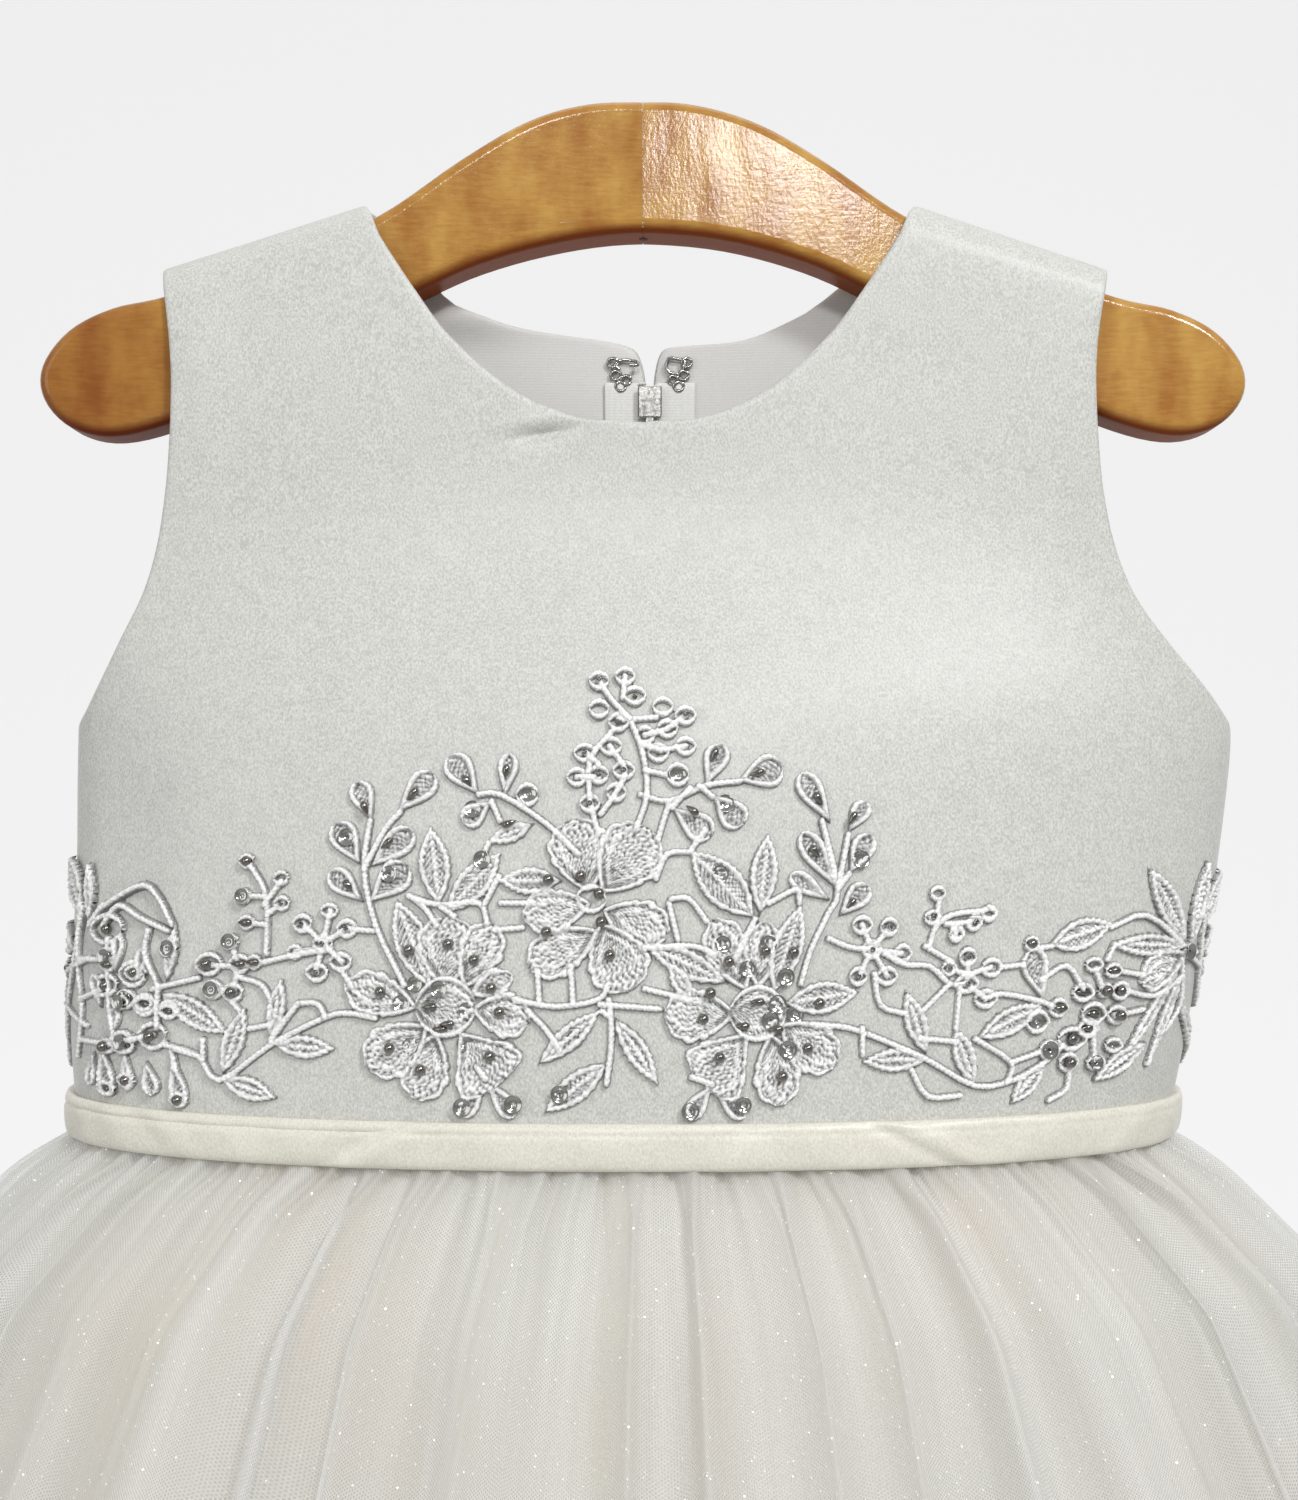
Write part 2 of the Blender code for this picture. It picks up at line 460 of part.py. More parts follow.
LACE_RIGHT_MOTIFS = (
    ("eye", 47.5, -200.0, 52.5, -200.0, 2.5),
    ("eye", 54.0, -200.5, 58.5, -200.5, 2.5),
    ("eye", 57.5, -206.5, 62.0, -206.5, 2.5),
    ("eye", 47.5, -211.5, 52.0, -211.5, 2.5),
    ("eye", 54.0, -211.5, 59.0, -211.5, 2.5),
    ("eye", 50.0, -205.5, 55.0, -205.5, 2.5),
    ("eye", 65.5, -193.0, 69.0, -193.0, 2.0),
    ("eye", 65.0, -198.0, 68.0, -198.0, 1.5),
    ("eye", 77.5, -197.5, 81.5, -197.5, 2.0),
    ("eye", 74.5, -199.5, 78.0, -199.5, 2.0),
    ("eye", 70.5, -202.0, 74.0, -202.0, 2.0),
    ("eye", 73.0, -207.5, 77.5, -207.5, 2.5),
    ("eye", 78.5, -210.0, 84.0, -210.0, 2.5),
    ("eye", 69.0, -210.0, 73.0, -210.0, 2.0),
    ("eye", 77.5, -217.0, 83.5, -217.0, 2.5),
    ("eye", 72.5, -213.5, 78.5, -213.5, 2.5),
    ("leaf", 67.5, -229.5, 61.0, -214.5, 3.0),
    ("leaf", 79.0, -226.0, 95.5, -218.5, 3.5),
    ("leaf", 80.0, -236.5, 73.5, -223.0, 3.0),
    ("leaf", 68.5, -230.0, 51.5, -230.5, 3.0),
    ("leaf", 97.5, -231.5, 89.5, -241.0, 3.0),
    ("drop", 95.0, -218.0, 90.5, -206.0, 3.5),
    ("eye", 88.5, -204.5, 92.5, -205.0, 2.0),
    ("eye", 91.0, -222.5, 97.0, -222.5, 3.0),
    ("eye", 96.5, -219.5, 101.5, -219.5, 2.5),
    ("eye", 99.5, -226.5, 107.5, -227.0, 3.0),
    ("eye", 95.0, -229.0, 100.5, -229.0, 2.5),
    ("eye", 104.5, -224.5, 110.5, -224.5, 2.5),
    ("eye", 100.5, -232.0, 106.0, -232.0, 2.5),
    ("eye", 108.0, -232.5, 113.5, -232.5, 2.0),
    ("eye", 105.0, -221.0, 112.0, -221.5, 3.0),
    ("eye", 112.0, -221.5, 118.0, -222.0, 2.5),
    ("eye", 112.5, -228.5, 118.0, -229.0, 2.0),
    ("eye", 102.0, -216.0, 108.0, -216.5, 2.5),
    ("eye", 112.5, -216.0, 118.0, -216.5, 2.5),
    ("eye", 104.5, -210.0, 109.5, -210.0, 2.0),
    ("eye", 110.0, -211.5, 115.0, -211.5, 2.0),
    ("eye", 108.5, -216.0, 113.0, -216.0, 2.0),
    ("leaf", 94.5, -205.5, 111.0, -200.5, 4.0),
    ("leaf", 134.0, -206.5, 110.0, -205.5, 3.0),
    ("eye", 130.5, -207.5, 139.0, -208.5, 2.0),
    ("leaf", 134.0, -206.5, 119.0, -187.5, 3.5),
    ("leaf", 135.5, -207.5, 139.0, -186.0, 3.0),
    ("petal", 134.5, -208.5, 120.5, -214.5, 4.0),
    ("leaf", 134.0, -210.0, 117.5, -234.0, 2.0),
    ("leaf", 135.0, -210.5, 127.0, -234.0, 2.0),
    ("leaf", 132.5, -217.5, 153.5, -237.5, 2.0),
    ("leaf", 126.0, -228.5, 110.5, -237.0, 3.0),
    ("leaf", 139.0, -202.0, 150.0, -189.0, 4.0),
    ("leaf", 142.0, -209.0, 158.0, -204.5, 4.0),
    ("eye", 150.0, -214.0, 156.0, -214.0, 3.0),
    ("leaf", 147.0, -221.0, 163.0, -218.0, 4.0),
    ("eye", 161.0, -210.5, 167.0, -211.0, 3.0),
    ("leaf", 164.0, -214.0, 178.0, -207.0, 4.0),
    ("drop", 166.0, -217.0, 177.0, -227.0, 4.0),
    ("eye", 176.0, -216.0, 182.0, -216.0, 3.0),
)
LACE_RIGHT_CORDS = (
    ((50.0, -200.0), (52.5, -205.5)),
    ((56.5, -200.5), (52.5, -205.5)),
    ((59.5, -206.5), (52.5, -205.5)),
    ((50.0, -211.5), (52.5, -205.5)),
    ((56.5, -211.5), (52.5, -205.5)),
    ((75.5, -207.5), (75.5, -213.5)),
    ((81.0, -210.0), (75.5, -211.5)),
    ((80.5, -217.0), (75.5, -213.5)),
    ((71.0, -210.0), (75.5, -211.5)),
    ((133.5, -210.0), (136.0, -220.0), (131.5, -226.5)),
    ((127.0, -234.0), (128.5, -228.5)),
    ((66.0, -205.0), (67.0, -201.0), (70.5, -198.0), (78.5, -197.0)),
    ((67.0, -201.0), (67.5, -194.5)),
    ((69.5, -200.0), (76.5, -199.5)),
    ((70.5, -200.0), (72.0, -202.0)),
    ((65.0, -205.0), (71.5, -208.5)),
    ((42.5, -203.0), (47.5, -205.0), (52.5, -205.5)),
    ((55.5, -206.5), (60.5, -209.0), (66.5, -209.5), (71.5, -213.5), (75.5, -213.5)),
    ((53.5, -211.0), (55.5, -218.0), (61.5, -220.0)),
    ((39.5, -222.0), (48.5, -223.0), (58.5, -226.5), (68.0, -230.5), (80.0, -236.5), (89.5, -235.5), (97.5, -231.5), (101.5, -228.0)),
    ((51.5, -223.0), (52.0, -229.0)),
    ((66.0, -219.0), (71.5, -213.5)),
    ((65.5, -225.5), (74.5, -226.5)),
    ((79.0, -226.0), (88.5, -231.5), (88.0, -236.0)),
    ((88.5, -231.5), (97.0, -229.0)),
    ((80.5, -217.0), (84.5, -216.0), (94.5, -218.0), (99.0, -220.0)),
    ((83.5, -210.0), (89.0, -209.5)),
    ((94.0, -213.0), (100.0, -210.0), (105.0, -215.5)),
    ((103.5, -232.0), (104.0, -238.0), (99.5, -240.5)),
    ((74.0, -214.5), (74.0, -223.5)),
    ((64.0, -232.5), (68.5, -238.5), (76.5, -238.5)),
    ((90.5, -206.0), (95.5, -205.5)),
    ((110.5, -201.5), (120.0, -199.0), (133.0, -206.5)),
    ((112.0, -205.5), (110.5, -209.0)),
    ((113.0, -211.5), (121.5, -213.0)),
    ((116.0, -216.0), (125.5, -218.0), (134.5, -214.0)),
    ((114.5, -222.0), (123.0, -221.0)),
    ((109.0, -224.5), (110.5, -232.0)),
    ((107.5, -211.0), (110.5, -216.0)),
    ((134.0, -208.0), (150.0, -215.0), (165.0, -214.5), (179.0, -216.0)),
    ((140.0, -200.0), (142.0, -210.0), (147.0, -222.0)),
    ((146.0, -230.0), (152.0, -237.0)),
    ((165.0, -214.5), (169.0, -219.5)),
)

# Colours as linear base colours
SATIN = ("bridal_satin", (0.82, 0.81, 0.78), 0.42, 0.0)
TULLE = ("glitter_tulle", (0.84, 0.83, 0.79), 0.6, 0.0)
LINING = ("skirt_lining_satin", (0.80, 0.74, 0.66), 0.5, 0.0)
CORDED_LACE = ("corded_lace", (0.78, 0.78, 0.76), 0.55, 0.0)
LACQUERED_WOOD = ("lacquered_wood", (0.50, 0.24, 0.06), 0.28, 0.0)
ZIP_WHITE = ("zip_nylon", (0.80, 0.80, 0.78), 0.6, 0.0)
NICKEL = ("nickel_plated", (0.62, 0.62, 0.60), 0.25, 1.0)


def clear_scene():
    """Leaves an empty scene with one collection for the dress and one for its cutters."""
    for old in list(bpy.data.objects):
        bpy.data.objects.remove(old)
    dress = bpy.data.collections.new("lace_dress")
    cutters = bpy.data.collections.new("cutters")
    bpy.context.scene.collection.children.link(dress)
    bpy.context.scene.collection.children.link(cutters)
    return dress, cutters


def material(finish):
    """The Principled material of a finish: name, base colour, roughness and metallic."""
    name, colour, roughness, metallic = finish
    found = bpy.data.materials.get(name)
    if found:
        return found
    made = bpy.data.materials.new(name)
    made.use_nodes = True
    shader = made.node_tree.nodes["Principled BSDF"]
    shader.inputs["Base Color"].default_value = (*colour, 1.0)
    shader.inputs["Roughness"].default_value = roughness
    shader.inputs["Metallic"].default_value = metallic
    made.diffuse_color = (*colour, 1.0)
    return made


def place(name, mesh, finish, smooth=True):
    """Links a mesh as a named object of the dress."""
    mesh.materials.append(material(finish))
    obj = bpy.data.objects.new(name, mesh)
    DRESS.objects.link(obj)
    if smooth:
        mesh.shade_smooth()
        mesh.set_sharp_from_angle(angle=math.radians(40))
    return obj


def mesh_of(name, points, faces):
    """A mesh from points in millimetres."""
    mesh = bpy.data.meshes.new(name)
    mesh.from_pydata((np.asarray(points, float).reshape(-1, 3) * MM).tolist(), [], faces)
    mesh.update()
    return mesh


def smoothstep(low, high, value):
    share = np.clip((value - low) / (high - low), 0.0, 1.0)
    return share * share * (3.0 - 2.0 * share)


def read(sections, column, z):
    """A column of a section table at height z, straight between its rows."""
    order = np.argsort(sections[:, 0])
    return np.interp(z, sections[order, 0], sections[order, column])


def section_x(half_width, angle):
    """How far across a superellipse section reaches at an angle from the middle front."""
    sine = np.sin(angle)
    return half_width * np.sign(sine) * np.abs(sine) ** (2.0 / SECTION_POWER)


def section_angle(half_width, x):
    """The angle at which a superellipse section reaches x."""
    return np.arcsin(np.clip(np.abs(x) / half_width, 0.0, 1.0) ** (SECTION_POWER / 2.0))


def hanger_middle(x):
    """The depth of the hanger's middle plane, whose arms are swept forward."""
    return -math.tan(ARM_SWEEP) * np.abs(x)


def lean_over(x, z, back):
    """How far the body leans towards +x: all of it at the sides, and at the middle only the back's own shift."""
    share = np.clip(np.abs(x) / read(BODY_SECTIONS, 1, z), 0.0, 1.0)
    return read(BODY_SECTIONS, 4, z) * share + np.where(back, BACK_SHIFT, 0.0) * (1.0 - share)


def turn_radius(x, side):
    """The radius of the cloth's turn over the hanger: the front hangs straight from the arm's forward sweep."""
    if side > 0:
        return np.full_like(x, STRAP_RADIUS_BACK)
    return STRAP_RADIUS + math.tan(ARM_SWEEP) * np.maximum(STRAP_FLAT_X - np.abs(x), 0.0)


def turn_start(x, side):
    """The height at which the cloth starts to turn over the hanger."""
    return SHOULDER_TOP_Z - (np.abs(x) - SHOULDER_TOP_X) * SHOULDER_SLOPE - turn_radius(x, side)


def cloth_point(x, flat_z, side):
    """The bodice's middle surface. side is -1 for the front and 1 for the back.

    flat_z is height along the cloth: below the shoulders it is z, and above it the cloth turns a quarter
    circle over the hanger. Lower down, the strap's flat hang passes into the chest's superellipse section.
    """
    x, flat_z = np.broadcast_arrays(np.asarray(x, float), np.asarray(flat_z, float))
    radius = turn_radius(x, side)
    turn = np.clip((flat_z - turn_start(x, side)) / radius, 0.0, math.pi / 2)
    z = np.where(turn > 0, turn_start(x, side) + radius * np.sin(turn), flat_z)
    strap_y = hanger_middle(x) + side * radius * np.cos(turn)
    reach = read(BODY_SECTIONS, 2 if side < 0 else 3, z)
    share = np.clip(np.abs(x) / read(BODY_SECTIONS, 1, z), 0.0, 1.0)
    chest_y = side * reach * (1.0 - share**SECTION_POWER) ** (1.0 / SECTION_POWER)
    hang = smoothstep(CHEST_FROM_Z, STRAP_FROM_Z, z)
    y = chest_y * (1.0 - hang) + strap_y * hang
    return np.stack([x + lean_over(x, z, side > 0), y, z], axis=-1)


def half_panel(cut, strap_inner_x, side, columns):
    """Both halves of a bodice panel as rows of points from the inner edge outwards: the +x half, then the -x."""
    across = np.linspace(0.0, 1.0, columns + 1)
    rows = []
    for outer_x, outer_z, inner_x, inner_z in cut:
        flat_z = inner_z + (outer_z - inner_z) * across
        width = read(BODY_SECTIONS, 1, flat_z)
        inner = section_angle(width[0], inner_x)
        outer = section_angle(width[-1], outer_x)
        rows.append((section_x(width, inner + (outer - inner) * across), flat_z))
    for step in range(STRAP_STEPS + 1):
        share = step / STRAP_STEPS
        outer_x = STRAP_OUTER_X[0] + (STRAP_OUTER_X[1] - STRAP_OUTER_X[0]) * share
        inner_x = strap_inner_x[0] + (strap_inner_x[1] - strap_inner_x[0]) * share
        x = inner_x + (outer_x - inner_x) * across
        quarter_turn = turn_radius(x, side) * (math.pi / 2) - SHOULDER_SEAM_HALF
        rows.append((x, turn_start(x, side) + quarter_turn * share))
    halves = []
    for side_x in (1, -1):
        half = np.stack([cloth_point(side_x * x, flat_z, side) for x, flat_z in rows])
        lower = half[: len(cut)]
        lower[..., 1] = side * np.maximum(side * lower[..., 1], SIDE_SEAM_HALF)
        halves.append(half)
    return halves


def grid_faces(rows, columns, keep=None):
    """Quads of a rows by columns grid of points, without the cells that keep leaves out."""
    return [
        (r * columns + c, r * columns + c + 1, (r + 1) * columns + c + 1, (r + 1) * columns + c)
        for r in range(rows - 1)
        for c in range(columns - 1)
        if keep is None or keep(r, c)
    ]


def cloth_wall(name, grid, finish, thickness, faces):
    """A sheet of points given its thickness, half to each side."""
    mesh = mesh_of(name, grid, faces)
    shaped = bmesh.new()
    shaped.from_mesh(mesh)
    loose = [vert for vert in shaped.verts if not vert.link_faces]
    bmesh.ops.delete(shaped, geom=loose, context="VERTS")
    bmesh.ops.recalc_face_normals(shaped, faces=shaped.faces)
    shaped.to_mesh(mesh)
    shaped.free()
    obj = place(name, mesh, finish)
    wall = obj.modifiers.new("wall", "SOLIDIFY")
    wall.thickness = thickness * MM
    wall.offset = 0.0
    wall.use_even_offset = True
    return obj


def make_bodice():
    """Front panel in one piece, and two back panels that meet at the zip."""
    half = BODICE_COLUMNS // 2
    right, left = half_panel(FRONT_CUT, FRONT_STRAP_INNER_X, -1, half)
    grid = np.concatenate([left[:, ::-1], right], axis=1)
    rows, columns = grid.shape[:2]
    index = np.arange(rows * columns).reshape(rows, columns)
    # Below the neckline both halves use the same middle points; above it they part.
    shared = int((FRONT_CUT[:, 2] == 0.0).sum())
    index[:shared, half + 1] = index[:shared, half]
    cells = [(r, c) for r in range(rows - 1) for c in range(columns - 1) if c != half]
    faces = [
        [int(index[r, c]), int(index[r, c + 1]), int(index[r + 1, c + 1]), int(index[r + 1, c])]
        for r, c in cells
    ]
    cloth_wall("bodice_front", grid, SATIN, SATIN_WALL, faces)
    halves = half_panel(BACK_CUT, BACK_STRAP_INNER_X, 1, half)
    for name, points in zip(("bodice_back_right", "bodice_back_left"), halves):
        cloth_wall(name, points, SATIN, SATIN_WALL, grid_faces(*points.shape[:2]))


def ring_point(sections, angle, z, out=0.0):
    """A point of a level section. The angle runs from the middle front, 0, to the middle back, pi or -pi.

    The section is a superellipse whose front and back halves have their own reach, moved out along its normal.
    """
    width = read(sections, 1, z)
    reach = np.where(np.abs(angle) <= math.pi / 2, read(sections, 2, z), read(sections, 3, z))
    power = 2.0 / SECTION_POWER
    sine, cosine = np.sin(angle), np.cos(angle)
    x = width * np.sign(sine) * np.abs(sine) ** power
    y = -reach * np.sign(cosine) * np.abs(cosine) ** power
    normal_x = np.sign(sine) * np.abs(sine) ** (2.0 - power) / width
    normal_y = -np.sign(cosine) * np.abs(cosine) ** (2.0 - power) / reach
    length = np.hypot(normal_x, normal_y)
    back = np.abs(angle) > math.pi / 2
    lean = lean_over(x * read(BODY_SECTIONS, 1, z) / width, z, back)
    return np.stack(
        [x + lean + out * normal_x / length, y + out * normal_y / length, z + 0.0 * x], axis=-1
    )


def gather_turn(share):
    """How many gathers lie up to a share of the way round the waist. They crowd and spread as they go."""
    crowding = 0.0060 * np.sin(2 * math.pi * 5 * share + 1.0) + 0.0035 * np.sin(2 * math.pi * 9 * share)
    start = 0.0060 * math.sin(1.0)
    return GATHERS * (share + crowding - start)


def gather_wave(share):
    """The gathers round the skirt, -1 to 1, each of its own height. share runs 0 to 1 round the waist."""
    own_height = 0.75 + 0.25 * np.sin(2 * math.pi * 7 * share + 0.6) * np.cos(2 * math.pi * 3 * share)
    return own_height * np.cos(2 * math.pi * gather_turn(share))


def lobe_wave(share, lobes):
    """The long folds that grow towards the hem."""
    return np.sin(2 * math.pi * lobes * share + 0.9 * np.sin(2 * math.pi * 2 * share))


def make_skirt(name, sections, share, lobes, finish, thickness):
    """A skirt joined at the middle back, where it is slit below the waist for the zip. share places its columns."""
    top = sections[0, 0]
    fine = np.linspace(-math.pi, math.pi, 2881)
    run = np.concatenate([[0.0], np.cumsum(np.linalg.norm(np.diff(ring_point(sections, fine, top), axis=0), axis=1))])
    angles = np.interp(share * run[-1], run, fine)
    grid = []
    for z, _, _, _, gather, lobe in sections:
        out = gather * gather_wave(share) + lobe * lobe_wave(share, lobes)
        grid.append(ring_point(sections, angles, z, out))
    grid = np.stack(grid)
    rows, columns = grid.shape[:2]
    grid[:SLIT_BOTTOM_ROW, 0, 0] -= SLIT_HALF_WIDTH
    grid[:SLIT_BOTTOM_ROW, -1, 0] += SLIT_HALF_WIDTH
    index = np.arange(rows * columns).reshape(rows, columns)
    index[SLIT_BOTTOM_ROW:, -1] = index[SLIT_BOTTOM_ROW:, 0]
    faces = [
        [int(index[r, c]), int(index[r, c + 1]), int(index[r + 1, c + 1]), int(index[r + 1, c])]
        for r in range(rows - 1)
        for c in range(columns - 1)
    ]
    cloth_wall(name, grid, finish, thickness, faces)


def make_skirts():
    """The gathered tulle over the plain underskirt."""
    fine = np.linspace(0.0, 1.0, 20001)
    turns = np.arange(GATHERS * POINTS_A_GATHER + 1) / POINTS_A_GATHER
    make_skirt("skirt_tulle", SKIRT_SECTIONS, np.interp(turns, gather_turn(fine), fine), LOBES, TULLE, TULLE_WALL)
    even = np.linspace(0.0, 1.0, LINING_COLUMNS + 1)
    make_skirt("underskirt", LINING_SECTIONS, even, LINING_LOBES, LINING, LINING_WALL)


def swept(name, loops, finish, closed=False):
    """A solid through a run of equal loops of points, with flat ends."""
    count, corners = len(loops), len(loops[0])
    faces = []
    for a in range(count if closed else count - 1):
        b = (a + 1) % count
        for c in range(corners):
            d = (c + 1) % corners
            faces.append((a * corners + c, a * corners + d, b * corners + d, b * corners + c))
    if not closed:
        faces.append(tuple(range(corners))[::-1])
        faces.append(tuple((count - 1) * corners + c for c in range(corners)))
    mesh = mesh_of(name, loops, faces)
    shaped = bmesh.new()
    shaped.from_mesh(mesh)
    bmesh.ops.recalc_face_normals(shaped, faces=shaped.faces)
    shaped.to_mesh(mesh)
    shaped.free()
    return place(name, mesh, finish)


def flat_run():
    """Angles round the reference section, and the distance round the body from the middle front to each."""
    angle = np.linspace(0.0, math.pi, 4001)
    ring = ring_point(BODY_SECTIONS, angle, LACE_REFERENCE_Z)
    ring[:, 0] -= ring[:, 0] - section_x(read(BODY_SECTIONS, 1, LACE_REFERENCE_Z), angle)
    return angle, np.concatenate([[0.0], np.cumsum(np.linalg.norm(np.diff(ring, axis=0), axis=1))])


def wrapped(u, z):
    """Flat lace points laid on the bodice's middle surface."""
    angle = np.interp(np.abs(u), RUN, RUN_ANGLE)
    x = section_x(read(BODY_SECTIONS, 1, z), angle) * np.sign(u)
    front, back = cloth_point(x, z, -1), cloth_point(x, z, 1)
    return np.where((angle <= math.pi / 2)[..., None], front, back)


def on_bodice(u, z, out):
    """Flat lace points laid over the bodice, a distance out from its middle surface."""
    step = 0.4
    across = wrapped(u + step, z) - wrapped(u - step, z)
    up = wrapped(u, z + step) - wrapped(u, z - step)
    normal = np.cross(across, up)
    normal /= np.linalg.norm(normal, axis=-1, keepdims=True)
    return wrapped(u, z) + out * normal


def motif_field(u, z, motif):
    """How far inside a motif each point lies: its half width along the axis less the distance from the axis."""
    kind, u0, z0, u1, z1, half_width = motif
    late, blunt = MOTIF_SWELL[kind]
    length = math.hypot(u1 - u0, z1 - z0)
    along = ((u - u0) * (u1 - u0) + (z - z0) * (z1 - z0)) / length**2
    aside = np.abs((u - u0) * (z1 - z0) - (z - z0) * (u1 - u0)) / length
    inside = np.clip(along, 0.0, 1.0)
    width = half_width * np.sin(math.pi * inside**late) ** blunt
    beyond = np.abs(along - inside) * length
    return width - aside - 2.0 * beyond


def cord_field(u, z, points):
    """How far inside a cord each point lies."""
    best = np.full_like(u, -99.0)
    for (u0, z0), (u1, z1) in zip(points[:-1], points[1:]):
        length = math.hypot(u1 - u0, z1 - z0)
        along = np.clip(((u - u0) * (u1 - u0) + (z - z0) * (z1 - z0)) / length**2, 0.0, 1.0)
        gap = np.hypot(u - u0 - along * (u1 - u0), z - z0 - along * (z1 - z0))
        best = np.maximum(best, CORD_RADIUS - gap)
    return best


def contour_loops(field, first_u, first_z):
    """Closed loops where a field on an even grid passes zero (marching squares)."""
    rows, columns = field.shape
    steps = {}

    def crossing(r, c, r2, c2):
        share = field[r, c] / (field[r, c] - field[r2, c2])
        return (
            first_u + LACE_STEP * (c + (c2 - c) * share),
            first_z + LACE_STEP * (r + (r2 - r) * share),
        )

    places = {}
    inside = field > 0
    mixed = inside[:-1, :-1].astype(int) + inside[1:, :-1] + inside[:-1, 1:] + inside[1:, 1:]
    for r, c in zip(*np.nonzero((mixed > 0) & (mixed < 4))):
        r, c = int(r), int(c)
        corners = ((r, c), (r, c + 1), (r + 1, c + 1), (r + 1, c))
        cut = []
        for a, b in zip(corners, corners[1:] + corners[:1]):
            if inside[a] != inside[b]:
                key = (min(a, b), max(a, b))
                places[key] = crossing(*key[0], *key[1])
                cut.append((key, bool(inside[a])))
        # Each run goes from an edge that leaves the inside to the next that comes back.
        leaving = [i for i, (_, was_in) in enumerate(cut) if was_in]
        middle_in = field[r : r + 2, c : c + 2].mean() > 0
        for i in leaving:
            partner = (i + 1) % len(cut) if len(cut) == 2 or middle_in else (i - 1) % len(cut)
            steps[cut[i][0], (r, c)] = (cut[partner][0], (r, c))
    links = {}
    for (start, _), (end, _) in steps.items():
        links[start] = end
    loops = []
    while links:
        start, here = links.popitem()
        loop = [places[start]]
        while here != start:
            loop.append(places[here])
            here = links.pop(here)
        loops.append(np.array(loop))
    return loops


def area_of(loop):
    """The signed area of a closed loop."""
    u, z = loop[:, 0], loop[:, 1]
    return 0.5 * float(np.sum(u * np.roll(z, -1) - np.roll(u, -1) * z))


def simplified(loop):
    """A closed loop with the points left out that lie within a tolerance of the run past them."""
    apart = int(np.argmax(np.linalg.norm(loop - loop[0], axis=1)))
    keep = []

    def halve(first, last):
        if last - first < 2:
            keep.append(first)
            return
        start, end = loop[first % len(loop)], loop[last % len(loop)]
        run = end - start
        between = loop[np.arange(first + 1, last) % len(loop)] - start
        length = max(float(np.hypot(*run)), 1e-9)
        off = np.abs(between[:, 0] * run[1] - between[:, 1] * run[0]) / length
        worst = int(np.argmax(off))
        if off[worst] > LACE_TOLERANCE:
            halve(first, first + 1 + worst)
            halve(first + 1 + worst, last)
        else:
            keep.append(first)

    halve(0, apart)
    halve(apart, len(loop))
    return loop[np.array(sorted(set(keep)))]


def inside_loops(points, loops):
    """Whether each point lies inside an odd number of loops."""
    odd = np.zeros(len(points), bool)
    for loop in loops:
        ahead = np.roll(loop, -1, axis=0)
        for (u0, z0), (u1, z1) in zip(loop, ahead):
            if z0 == z1:
                continue
            spans = (points[:, 1] >= min(z0, z1)) & (points[:, 1] < max(z0, z1))
            at = u0 + (points[:, 1] - z0) / (z1 - z0) * (u1 - u0)
            odd ^= spans & (points[:, 0] < at)
    return odd


